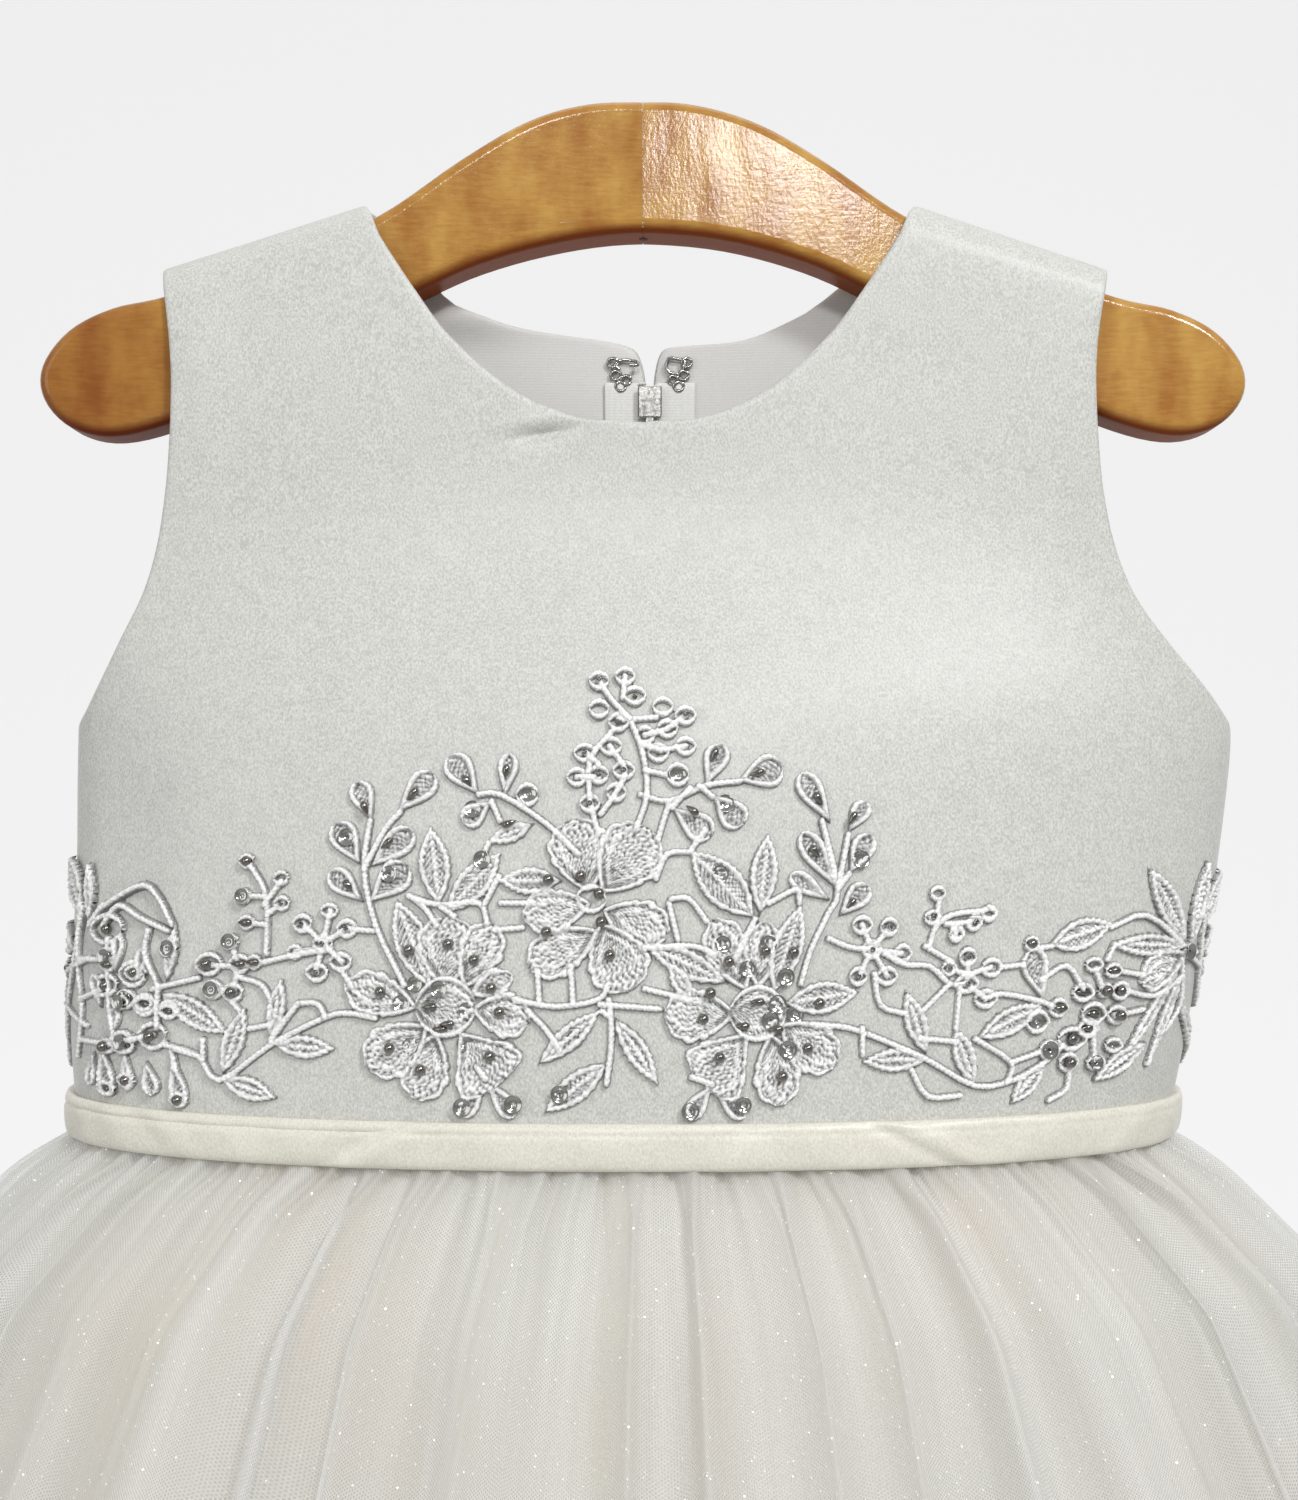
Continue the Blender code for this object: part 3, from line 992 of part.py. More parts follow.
def make_lace(name, motifs, cords):
    """Corded lace: one sheet cut out round its motifs and cords, laid over the bodice."""
    ends = np.array([[u, z] for _, *run, _ in motifs for u, z in (run[:2], run[2:])])
    low, high = np.floor(ends.min(axis=0)) - 12.0, np.ceil(ends.max(axis=0)) + 12.0
    u, z = np.meshgrid(np.arange(low[0], high[0], LACE_STEP), np.arange(low[1], high[1], LACE_STEP))
    field = np.full_like(u, -9.0)
    for motif in motifs:
        field = np.maximum(field, motif_field(u, z, motif))
    for cord in cords:
        field = np.maximum(field, cord_field(u, z, cord))
    field = np.minimum(field, z - LACE_LOWEST)
    field[field == 0] = -1e-6
    loops = contour_loops(field, low[0], low[1])
    outer = max(loops, key=lambda loop: abs(area_of(loop)))
    turn = math.copysign(1.0, area_of(outer))
    islands = [loop for loop in loops if loop is not outer and area_of(loop) * turn > 0]
    gaps = []
    for loop in loops:
        edge = float(np.linalg.norm(np.roll(loop, -1, axis=0) - loop, axis=1).sum())
        wide = 4 * abs(area_of(loop)) / edge
        if area_of(loop) * turn < 0 and wide >= LACE_LEAST_GAP and inside_loops(loop[:1], [outer])[0]:
            gaps.append(loop)
    kept = [simplified(loop) for loop in (outer, *gaps)]
    points, edges = [], []
    for loop in kept:
        first = len(points)
        points += [tuple(point) for point in loop]
        edges += [(first + i, first + (i + 1) % len(loop)) for i in range(len(loop))]
    # Lines along the bodice's own facets keep the lace's facets from dipping into them at the sides.
    ridges = [angle for angle in np.arange(5, 18) * math.pi / BODICE_COLUMNS]
    for side in (-1, 1):
        for angle in ridges:
            at = side * float(np.interp(angle, RUN_ANGLE, RUN))
            if low[0] < at < high[0]:
                edges.append((len(points), len(points) + 1))
                points += [(at, low[1]), (at, high[1])]
    found = delaunay_2d_cdt([Vector(point) for point in points], edges, [], 0, 1e-4, True)
    flat = np.array([list(vert) for vert in found[0]])
    triangles = np.array([list(face) for face in found[2]])
    inside = inside_loops(flat[triangles].mean(axis=1), kept)
    triangles = triangles[inside]
    used, triangles = np.unique(triangles, return_inverse=True)
    triangles = triangles.reshape(-1, 3)
    flat = flat[used]
    low_side = on_bodice(flat[:, 0], flat[:, 1], LACE_OUT)
    high_side = on_bodice(flat[:, 0], flat[:, 1], LACE_OUT + LACE_WALL)
    count = len(flat)
    half_edges = {(int(t[i]), int(t[(i + 1) % 3])) for t in triangles for i in range(3)}
    rim = [(a, b) for a, b in half_edges if (b, a) not in half_edges]
    faces = [[int(i) + count for i in t] for t in triangles]
    faces += [[int(i) for i in t[::-1]] for t in triangles]
    faces += [[a, b, b + count, a + count] for a, b in rim]
    mesh = mesh_of(name, np.concatenate([low_side, high_side]), faces)
    place(name, mesh, CORDED_LACE)
    left_out = [loop.mean(axis=0).round(1).tolist() for loop in islands]
    print(f"{name}: {len(triangles)} triangles a side, {len(gaps)} gaps, islands left out {left_out}")


def make_waistband():
    """A narrow satin band over the waist seam, open at the zip."""
    front = np.linspace(-math.pi / 2, math.pi / 2, BODICE_COLUMNS + 1)
    back = np.linspace(math.pi / 2, math.pi, BODICE_COLUMNS // 2 + 1)[1:]
    back[-1] = math.pi - BAND_END_ANGLE
    angles = np.concatenate([-back[::-1], front, back])
    loops = []
    for angle in angles:
        loops.append(
            [ring_point(BODY_SECTIONS, np.array(angle), np.array(z), out) for out, z in BAND_SECTION]
        )
    return swept("waistband", np.array(loops), SATIN)


def make_hanger():
    """Two flat arms of wood with rounded edges, each turned forward and mitred at the middle."""
    for name, side_x in (("hanger_arm_right", 1), ("hanger_arm_left", -1)):
        spline_points = smooth_outline(ARM_OUTLINE, steps=2)
        shaped = bmesh.new()
        half = HANGER_THICK / 2
        verts = [shaped.verts.new((x * MM, -half * MM, z * MM)) for x, z in spline_points]
        face = shaped.faces.new(verts)
        made = bmesh.ops.extrude_face_region(shaped, geom=[face])
        moved = [item for item in made["geom"] if isinstance(item, bmesh.types.BMVert)]
        bmesh.ops.translate(shaped, verts=moved, vec=(0.0, HANGER_THICK * MM, 0.0))
        rims = [
            edge
            for edge in shaped.edges
            if abs(edge.verts[0].co.y - edge.verts[1].co.y) < half * MM
            and max(edge.verts[0].co.x, edge.verts[1].co.x) > ARM_PAST_MIDDLE * MM
        ]
        bmesh.ops.bevel(
            shaped, geom=rims, offset=HANGER_ROUND * MM, segments=2, profile=0.5, affect="EDGES"
        )
        bmesh.ops.rotate(
            shaped, verts=shaped.verts, cent=(0, 0, 0), matrix=Matrix.Rotation(-ARM_SWEEP, 3, "Z")
        )
        cut = bmesh.ops.bisect_plane(
            shaped,
            geom=[*shaped.verts, *shaped.edges, *shaped.faces],
            plane_co=(MITRE_GAP / 2 * MM, 0, 0),
            plane_no=(1, 0, 0),
            clear_inner=True,
        )
        rim = [item for item in cut["geom_cut"] if isinstance(item, bmesh.types.BMEdge)]
        bmesh.ops.edgeloop_fill(shaped, edges=rim)
        if side_x < 0:
            bmesh.ops.scale(shaped, vec=(-1, 1, 1), verts=shaped.verts)
        bmesh.ops.recalc_face_normals(shaped, faces=shaped.faces)
        mesh = bpy.data.meshes.new(name)
        shaped.to_mesh(mesh)
        shaped.free()
        place(name, mesh, LACQUERED_WOOD)


def smooth_outline(points, steps):
    """Catmull-Rom points through a row of points, steps to each stretch, ends kept."""
    points = np.asarray(points, float)
    padded = np.vstack([2 * points[0] - points[1], points, 2 * points[-1] - points[-2]])
    shares = np.arange(steps) / steps
    found = []
    for a, b, c, d in zip(padded[:-3], padded[1:-2], padded[2:-1], padded[3:]):
        for t in shares:
            found.append(
                0.5 * (2 * b + (c - a) * t + (2 * a - 5 * b + 4 * c - d) * t**2 + (3 * b - a - 3 * c + d) * t**3)
            )
    found.append(points[-1])
    return np.array(found)


def back_line(x, z):
    """The depth of the inside of the back, or below the waist of the underskirt, where the zip is sewn."""
    bodice = float(cloth_point(np.array(x - BACK_SHIFT), np.array(z), 1)[..., 1]) - SATIN_WALL / 2
    lining = float(read(LINING_SECTIONS, 3, z)) - LINING_WALL / 2 - ZIP_OFF_LINING
    return float(np.interp(z, (-246.0, -236.0), (lining, bodice)))


def make_zip_sides():
    """Each tape with its coil as a thicker bead along the edge, hung inside the back opening."""
    heights = [z for z, _ in ZIP_GAP]
    halves = [half for _, half in ZIP_GAP]
    levels = (ZIP_TOP, -72.0, -77.0, -86.0, -100.0, -120.0, -140.0, -160.0, -187.0, -222.0, -236.0, -246.0)
    levels += (-254.0, -263.0, -285.0, ZIP_BOTTOM)
    for name, side_x in (("zip_side_right", 1), ("zip_side_left", -1)):
        loops = []
        for z in levels:
            half = float(np.interp(z, heights, halves))
            outline = (
                (half, 0.0),
                (half + COIL_WIDTH, 0.0),
                (half + COIL_WIDTH + TAPE_WIDTH, 0.0),
                (half + COIL_WIDTH + TAPE_WIDTH, -TAPE_THICK),
                (half + COIL_WIDTH, -TAPE_THICK),
                (half + COIL_WIDTH, -COIL_THICK),
                (half, -COIL_THICK),
            )
            loops.append(
                [
                    (
                        BACK_SHIFT + side_x * x,
                        back_line(BACK_SHIFT + side_x * x, z) - ZIP_BEHIND + deep,
                        z,
                    )
                    for x, deep in outline
                ]
            )
        swept(name, np.array(loops), ZIP_WHITE)


def make_slider():
    """The slider's plate behind the coils, its neck between them and its bridge outside, and the pull tab."""
    x = BACK_SHIFT
    inner = back_line(x, SLIDER_TOP) - ZIP_BEHIND - COIL_THICK
    outer = back_line(x, SLIDER_TOP) + SATIN_WALL
    pivot = outer + TAB_PIVOT_OUT
    depths = (inner - 1.0, outer + 1.2, pivot + 0.9, pivot + 1.7)
    heights = (SLIDER_TOP - 0.6, SLIDER_TOP - 1.8, SLIDER_TOP - 6.6, SLIDER_TOP - 7.8)
    profile = np.array([[(x, y, z) for y in depths] for z in heights])
    faces = grid_faces(4, 4, lambda row, column: (row, column) != (1, 1))
    slider = cloth_wall("zip_slider", profile, NICKEL, 1.2, faces)
    shaped = bmesh.new()
    made = bmesh.ops.create_cube(shaped, size=1.0)
    size = Vector((6.0, 1.1, SLIDER_TOP - SLIDER_BOTTOM)) * MM
    bmesh.ops.scale(shaped, vec=size, verts=made["verts"])
    middle = Vector((x, inner - 0.85, (SLIDER_TOP + SLIDER_BOTTOM) / 2)) * MM
    bmesh.ops.translate(shaped, vec=middle, verts=made["verts"])
    bmesh.ops.bevel(shaped, geom=shaped.edges[:], offset=0.3 * MM, segments=1, affect="EDGES")
    mesh = bpy.data.meshes.new("slider_plate")
    shaped.to_mesh(mesh)
    shaped.free()
    plate = bpy.data.objects.new("slider_plate", mesh)
    CUTTERS.objects.link(plate)
    plate.hide_render = True
    plate.display_type = "WIRE"
    join = slider.modifiers.new("plate", "BOOLEAN")
    join.operation = "UNION"
    join.solver = "EXACT"
    join.object = plate
    across = (x - 2.6, x - 1.4, x + 1.4, x + 2.6)
    z = TAB_PIVOT_Z
    down = (z + 0.6, z - 0.6, z - 6.2, z - TAB_LENGTH)
    sheet = np.array([[(a, pivot, d) for a in across] for d in down])
    cloth_wall("zip_tab", sheet, NICKEL, 1.2, faces)


def wire(name, path, radius, finish):
    """A round wire along a row of points, by parallel frames."""
    path = smooth_outline(path, 2)
    ahead = np.gradient(path, axis=0)
    ahead /= np.linalg.norm(ahead, axis=1, keepdims=True)
    side = np.cross(ahead[0], (0.31, 0.90, 0.17))
    loops = []
    for point, forward in zip(path, ahead):
        side = side - forward * float(side @ forward)
        side /= np.linalg.norm(side)
        up = np.cross(forward, side)
        turns = 2 * math.pi * np.arange(6) / 6
        loops.append([point + radius * (math.cos(t) * side + math.sin(t) * up) for t in turns])
    return swept(name, np.array(loops), finish)


def make_hook_and_eye():
    """A wire hook inside the left edge of the neck opening and a wire eye inside the right one."""
    z = HOOK_Z
    for name, side_x, path in (("neck_hook", -1, HOOK_PATH), ("neck_eye", 1, EYE_PATH)):
        points = []
        for across, down, deep in path:
            x = BACK_SHIFT + side_x * across
            points.append((x, back_line(x, z) - deep, z - down))
        wire(name, points, 0.45, NICKEL)


DRESS, CUTTERS = clear_scene()
RUN_ANGLE, RUN = flat_run()
make_hanger()
make_bodice()
make_waistband()
make_skirts()
make_lace(
    "lace_applique",
    LACE_CENTRE_MOTIFS + LACE_LEFT_MOTIFS + LACE_RIGHT_MOTIFS,
    LACE_CENTRE_CORDS + LACE_LEFT_CORDS + LACE_RIGHT_CORDS,
)
make_zip_sides()
make_slider()
make_hook_and_eye()
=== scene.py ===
# %% [markdown]
# # A lace dress on its hanger
#
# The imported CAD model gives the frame: each piece's place, its body and its material slot. This lesson dresses it,
# with the satin, the corded lace and its beads, the gathered tulle over its lining, the lacquered wood and the small
# metal parts. Sizes in the tables are millimetres, as in the part's source, and become metres where a mesh is made.
# Left and right are a viewer's.

import math

import bmesh
import bpy
import numpy as np
from mathutils import Matrix, Vector


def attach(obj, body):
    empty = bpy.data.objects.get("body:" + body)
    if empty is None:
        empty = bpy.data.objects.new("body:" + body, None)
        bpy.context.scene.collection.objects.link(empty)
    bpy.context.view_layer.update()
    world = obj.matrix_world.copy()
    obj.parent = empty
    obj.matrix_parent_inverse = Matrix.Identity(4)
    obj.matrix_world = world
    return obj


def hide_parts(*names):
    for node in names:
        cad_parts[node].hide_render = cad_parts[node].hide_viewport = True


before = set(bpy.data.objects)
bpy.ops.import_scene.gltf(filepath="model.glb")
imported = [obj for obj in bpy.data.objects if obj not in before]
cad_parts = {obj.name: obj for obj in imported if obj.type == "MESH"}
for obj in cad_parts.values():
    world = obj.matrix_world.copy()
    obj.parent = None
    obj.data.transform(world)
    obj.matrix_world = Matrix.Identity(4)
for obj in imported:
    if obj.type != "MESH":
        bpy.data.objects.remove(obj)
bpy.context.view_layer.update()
MM = 0.001
TURN = 2 * math.pi
scene = bpy.context.scene
made_pieces = []

# %% [markdown]
# ## Camera
#
# The photograph was taken from near, level with the chest. A camera 430 mm in front of the hanger makes the hanger,
# the neck and the waist agree with it. One farther off, with a longer lens, would flatten the arms' forward sweep.

# %% Camera
lens = bpy.data.cameras.new("camera")
lens.lens, lens.sensor_width = 41.28, 36.0
lens.clip_start, lens.clip_end = 0.01, 50.0
camera = bpy.data.objects.new("camera", lens)
camera.location = (0.0015, -0.430, -0.160)
camera.rotation_euler = (math.pi / 2, 0.0, 0.0)
scene.collection.objects.link(camera)
scene.camera = camera
scene.view_settings.view_transform = "Standard"
print(f"camera: {lens.lens:.2f} mm lens, {-camera.location.y:.2f} m in front")

# %% [markdown]
# ## Small tools
#
# Colours are written as sRGB hex and made linear in one place. One function adds a shader node with its settings
# and links.

# %% Colour and node tools
def linear(colour):
    """sRGB hex as linear values and full cover: c / 12.92 up to 0.04045, and ((c + 0.055) / 1.055) ** 2.4 above."""
    parts = [int(colour[i : i + 2], 16) / 255 for i in (0, 2, 4)]
    return (*(c / 12.92 if c <= 0.04045 else ((c + 0.055) / 1.055) ** 2.4 for c in parts), 1.0)


def feed(tree, node, inputs):
    """Gives a node its inputs, in order or by name. A node or socket is linked, and any other value is set."""
    for key, value in inputs.items() if isinstance(inputs, dict) else enumerate(inputs):
        if isinstance(value, bpy.types.Node):
            value = value.outputs[0]
        if isinstance(value, bpy.types.NodeSocket):
            tree.links.new(value, node.inputs[key])
        elif value is not None:
            node.inputs[key].default_value = value


def add(tree, kind, inputs=(), **settings):
    """Adds a shader node with its settings, and feeds it its inputs."""
    node = tree.nodes.new("ShaderNode" + kind)
    for key, value in settings.items():
        setattr(node, key, value)
    feed(tree, node, inputs)
    return node


def new_material(name, finish):
    """A material whose Principled shader has the given finish."""
    made = bpy.data.materials.new(name)
    made.use_nodes = True
    made.diffuse_color = finish["Base Color"]
    shader = made.node_tree.nodes["Principled BSDF"]
    feed(made.node_tree, shader, finish)
    return made, made.node_tree, shader


print("mid grey in linear light:", [round(value, 3) for value in linear("808080")])

# %% [markdown]
# ### Meshes from arrays
#
# Every surface here is worked out as an array of points, and becomes a mesh in one step. That is much quicker than
# adding vertices one by one.


# %% Mesh tools
def mesh_from(name, points, faces, uv=None):
    """A mesh from points in millimetres and an array of equal faces, with a UV map in metres if uv gives one."""
    points, faces = np.asarray(points, float).reshape(-1, 3) * MM, np.asarray(faces, np.int32)
    count, corners = faces.shape
    mesh = bpy.data.meshes.new(name)
    mesh.vertices.add(len(points))
    mesh.vertices.foreach_set("co", points.astype(np.float32).ravel())
    mesh.loops.add(count * corners)
    mesh.loops.foreach_set("vertex_index", faces.ravel())
    mesh.polygons.add(count)
    mesh.polygons.foreach_set("loop_start", np.arange(0, count * corners, corners, dtype=np.int32))
    mesh.update(calc_edges=True)
    if uv is not None:
        flat = (np.asarray(uv, float).reshape(-1, 2) * MM)[faces.ravel()]
        mesh.uv_layers.new(name="cloth").data.foreach_set("uv", flat.astype(np.float32).ravel())
    mesh.validate()
    return mesh


def grid_quads(rows, columns, closed=False):
    """Quads of a grid of points, joined round in its columns if closed."""
    index = np.arange(rows * columns).reshape(rows, columns)
    right = np.roll(index, -1, axis=1) if closed else index[:, 1:]
    left = index if closed else index[:, :-1]
    return np.stack([left[:-1], right[:-1], right[1:], left[1:]], axis=-1).reshape(-1, 4)


def numbers(elements, name, width=1):
    """One property of all a mesh's vertices or faces, as an array with a row to each."""
    found = np.empty(len(elements) * width, np.float32)
    elements.foreach_get(name, found)
    return found.reshape(-1, width)


print("a grid of 3 by 4 points has", len(grid_quads(3, 4)), "quads")


# %% Showing a piece
def show(name, mesh, material, body="garment", smooth_to=50.0, replaces=()):
    """Links a mesh as a piece: its finish, the body it rides on and the CAD nodes that it stands for."""
    obj = bpy.data.objects.new(name, mesh)
    scene.collection.objects.link(obj)
    for each in material if isinstance(material, (list, tuple)) else [material]:
        mesh.materials.append(each)
    mesh.shade_smooth()
    if smooth_to:
        mesh.set_sharp_from_angle(angle=math.radians(smooth_to))
    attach(obj, body)
    if replaces:
        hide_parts(*replaces)
    made_pieces.append(obj)
    print(f"{name}: {len(mesh.polygons)} faces")
    return obj


def settle(obj):
    """Applies a piece's modifiers, so that what is measured is what is rendered."""
    with bpy.context.temp_override(object=obj, active_object=obj, selected_objects=[obj]):
        for modifier in list(obj.modifiers):
            bpy.ops.object.modifier_apply(modifier=modifier.name)
    return obj


def walled(obj, thickness, rounded=1):
    """Gives a sheet its thickness, half to each side, and rounds its edges by subdivision."""
    wall = obj.modifiers.new("wall", "SOLIDIFY")
    wall.thickness, wall.offset, wall.use_even_offset = thickness * MM, 0.0, True
    if len(obj.data.materials) > 1:
        wall.material_offset = 1
    if rounded:
        obj.modifiers.new("rounding", "SUBSURF").levels = rounded
        obj.modifiers["rounding"].render_levels = rounded
    return settle(obj)

# %% [markdown]
# ### Wires and turned solids
#
# Wires, teeth and beads are closed at their ends, so that each is a solid that could be printed or weighed.


# %% Solids from rings
def capped(rings, first, last):
    """Triangles round rings of points, and to a point at each end. The rings run anticlockwise round the way ahead."""
    count, sides = rings.shape[:2]
    quads = grid_quads(count, sides, closed=True) + 1
    ring, ahead, end = np.arange(sides), np.roll(np.arange(sides), -1), count * sides + 1
    start_fan = np.stack([0 * ring, 1 + ahead, 1 + ring], axis=1)
    end_fan = np.stack([0 * ring + end, end - sides + ring, end - sides + ahead], axis=1)
    points = np.vstack([first, rings.reshape(-1, 3), last])
    return points, np.vstack([start_fan, quads[:, [0, 1, 2]], quads[:, [0, 2, 3]], end_fan])


def tube(path, radius, sides=8):
    """Points and triangles of a round wire along a path, closed at its ends. Its frames turn as little as they can."""
    path = np.asarray(path, float)
    ahead = np.gradient(path, axis=0)
    ahead /= np.linalg.norm(ahead, axis=1, keepdims=True)
    side = np.cross(ahead[0], (0.31, 0.90, 0.17))
    turns = TURN * np.arange(sides) / sides
    rings = []
    for point, forward in zip(path, ahead):
        side = side - forward * (side @ forward)
        side /= np.linalg.norm(side)
        around = np.cos(turns)[:, None] * side + np.sin(turns)[:, None] * np.cross(forward, side)
        rings.append(point + radius * around)
    return capped(np.array(rings), path[0], path[-1])


def turned(profile, sides, axis="z"):
    """A profile of (radius, height) from its low end to its high one, both on the axis, turned round it."""
    turns = TURN * np.arange(sides) / sides
    rings = [np.stack([r * np.cos(turns), r * np.sin(turns), 0 * turns + h], axis=1) for r, h in profile[1:-1]]
    points, faces = capped(np.array(rings), (0.0, 0.0, profile[0][1]), (0.0, 0.0, profile[-1][1]))
    return (points[:, [2, 1, 0]] * (1, 1, -1) if axis == "x" else points), faces


wire_points, wire_faces = tube(((0, 0, 0), (0, 0, 1)), 0.5, 6)
print(f"a straight wire with 6 sides has {len(wire_points)} points and {len(wire_faces)} faces")


# %% Copies and smooth runs
def many(shape, quads, places, frames, sizes):
    """Copies of one small shape: points = place + size * frame @ shape. Returns points and quads."""
    count = len(shape)
    points = places[:, None, :] + np.einsum("nij,kj->nki", frames, shape) * sizes[:, None, None]
    faces = quads[None] + (np.arange(len(places)) * count)[:, None, None]
    return points.reshape(-1, 3), faces.reshape(-1, quads.shape[1])


def through(points, steps):
    """Catmull-Rom points through a row of points, steps to each stretch, ends kept."""
    points = np.asarray(points, float)
    padded = np.vstack([2 * points[0] - points[1], points, 2 * points[-1] - points[-2]])
    t = (np.arange(steps) / steps)[:, None]
    found = [
        0.5 * (2 * b + (c - a) * t + (2 * a - 5 * b + 4 * c - d) * t**2 + (3 * b - a - 3 * c + d) * t**3)
        for a, b, c, d in zip(padded[:-3], padded[1:-2], padded[2:-1], padded[3:])
    ]
    return np.vstack([*found, points[-1:]])


def rows_between(rows, steps):
    """A table's rows with steps to each gap, by cubics that never overshoot: Hermite ones with harmonic slopes."""
    rows = np.asarray(rows, float)
    gap = np.diff(rows, axis=0)
    slope = np.zeros_like(rows)
    same = gap[:-1] * gap[1:] > 0
    slope[1:-1] = np.where(same, 2 * gap[:-1] * gap[1:] / np.where(same, gap[:-1] + gap[1:], 1.0), 0.0)
    slope[0], slope[-1] = gap[0], gap[-1]
    found = []
    for i in range(len(gap)):
        for t in np.arange(steps) / steps:
            found.append(
                (1 + 2 * t) * (1 - t) ** 2 * rows[i]
                + t * (1 - t) ** 2 * slope[i]
                + t * t * (3 - 2 * t) * rows[i + 1]
                - t * t * (1 - t) * slope[i + 1]
            )
    return np.array([*found, rows[-1]])


print("a smooth run through 3 points, 4 steps to each stretch:", len(through(((0, 0), (1, 1), (2, 0)), 4)), "points")

# %% [markdown]
# ## Room and lamps
#
# The photograph has an even pale background and soft shadows. One sheet of paper, bent up in a quarter circle
# behind the dress, gives a background with no edge. Lamps strong enough to whiten it would wash out the satin, so
# the wall part glows a little instead.

# %% The paper sweep
SKY_LOW, SKY_HIGH, PAPER_GLOW = 0.18, 0.53, 0.70
turn = np.linspace(0.1, math.pi / 2, 14)
curve = np.stack([1.4 + 0.8 * np.sin(turn), -0.15 - 0.8 * np.cos(turn)], axis=1)
bend = np.vstack([[(-3.2, -0.95), (-1.0, -0.95), (0.4, -0.95), (1.4, -0.95)], curve, [(2.2, 0.9), (2.2, 2.6)]])
paper_x, paper_row = np.meshgrid(np.linspace(-4.0, 4.0, 17), np.arange(len(bend)))
paper_points = np.stack([paper_x, bend[paper_row, 0], bend[paper_row, 1]], axis=-1) / MM
paper, tree, shader = new_material("studio_paper_uncoated", {"Base Color": linear("949494"), "Roughness": 0.9})
where = add(tree, "TexCoord").outputs["Object"]
fibre = add(tree, "TexNoise", {"Vector": where, "Scale": 1 / (1.5 * MM), "Detail": 3.0})
height = add(tree, "SeparateXYZ", (where,)).outputs["Z"]
tone = add(tree, "MixRGB", (fibre, linear("939393"), linear("959595")))
glow = add(tree, "MapRange", (height, -0.95, -0.85, 0.20, PAPER_GLOW))
bump = add(tree, "Bump", {"Height": fibre, "Distance": 0.02 * MM})
lit = {"Emission Color": linear("FFFFFF"), "Emission Strength": glow}
feed(tree, shader, {"Base Color": tone, "Normal": bump, **lit})
sweep = bpy.data.objects.new("paper_sweep", mesh_from("paper_sweep", paper_points, grid_quads(len(bend), 17)))
sweep.data.materials.append(paper)
sweep.data.shade_smooth()
scene.collection.objects.link(sweep)
print(f"paper sweep: {len(sweep.data.polygons)} faces")

# %% [markdown]
# ### Sky and lamps
#
# A sky that is dimmer below gives the shadow side of the folds. The lamps are rectangles, because a sphere would
# leave round lights in the beads. The key is small enough for the lace to cast shadows on the satin.

# %% Sky and lamps
# Each lamp: name, where it stands, what it faces, its sides in metres and its watts.
LAMPS = (
    ("key", (0.80, -1.15, 0.95), (0.0, 0.0, -0.20), (0.30, 0.30), 14.3),
    ("fill", (-1.5, -1.4, 0.1), (0.0, 0.0, -0.25), (1.2, 1.2), 5.9),
    ("glint", (0.035, -1.45, 0.54), (0.03, 0.0, -0.05), (0.24, 0.20), 5.6),
    ("top", (0.0, 0.3, 1.3), (0.0, 0.0, -0.2), (1.2, 0.8), 2.6),
)
sky = bpy.data.worlds.new("sky")
sky.use_nodes = True
tree = sky.node_tree
up = add(tree, "SeparateXYZ", (add(tree, "TexCoord").outputs["Generated"],)).outputs["Z"]
brightness = add(tree, "MapRange", (up, -0.6, 0.7, SKY_LOW, SKY_HIGH))
feed(tree, tree.nodes["Background"], {"Color": linear("F4F4F4"), "Strength": brightness})
scene.world = sky
for name, spot, aim, sides, watts in LAMPS:
    lamp = bpy.data.lights.new(name, "AREA")
    lamp.shape, lamp.energy = "RECTANGLE", watts
    lamp.size, lamp.size_y = sides
    stand = bpy.data.objects.new(name, lamp)
    stand.location = spot
    stand.rotation_euler = (Vector(aim) - Vector(spot)).to_track_quat("-Z", "Y").to_euler()
    stand.visible_camera = False
    scene.collection.objects.link(stand)
    print(f"{name} lamp: {watts} W, {(Vector(aim) - Vector(spot)).length:.2f} m away")

# %% [markdown]
# ## Cloth, thread, wood and metal
#
# A photograph of cloth could be wrapped round each panel, but a pattern worked out from noise and waves stays sharp
# at any distance and has no seam. Each finish below starts from what the real material is and how it was made, and
# its pattern is as fine as the real weave or grain where the render can show that.

# %% Satin
def satin(name, low, high, roughness=0.40):
    """Polyester duchess satin, woven: warp floats that catch the light one by one, and a soft sheen.

    Real floats are about 0.1 mm wide. They are drawn 0.42 mm wide, because finer ones would vanish in the render.
    """
    finish = {"Base Color": linear(high), "Roughness": roughness, "Sheen Weight": 0.2, "Sheen Roughness": 0.35}
    made, tree, shader = new_material(name, finish)
    where = add(tree, "TexCoord").outputs["Object"]
    tall = add(tree, "Mapping", {"Vector": where, "Scale": (1.0, 1.0, 0.6)})
    floats = add(tree, "TexNoise", {"Vector": tall, "Scale": 1 / (0.42 * MM), "Detail": 2.0, "Roughness": 0.6})
    mottle = add(tree, "TexNoise", {"Vector": where, "Scale": 1 / (4.0 * MM), "Detail": 2.0})
    faint = add(tree, "Math", (mottle, 0.12), operation="MULTIPLY")
    mixed = add(tree, "Math", (floats, 0.88, faint), operation="MULTIPLY_ADD")
    tone = add(tree, "MixRGB", (add(tree, "MapRange", (mixed, 0.36, 0.64)), linear(low), linear(high)))
    gloss = add(tree, "MapRange", (floats, 0.3, 0.7, roughness - 0.08, roughness + 0.08))
    bump = add(tree, "Bump", {"Height": floats, "Distance": 0.06 * MM})
    feed(tree, shader, {"Base Color": tone, "Roughness": gloss, "Normal": bump})
    return made


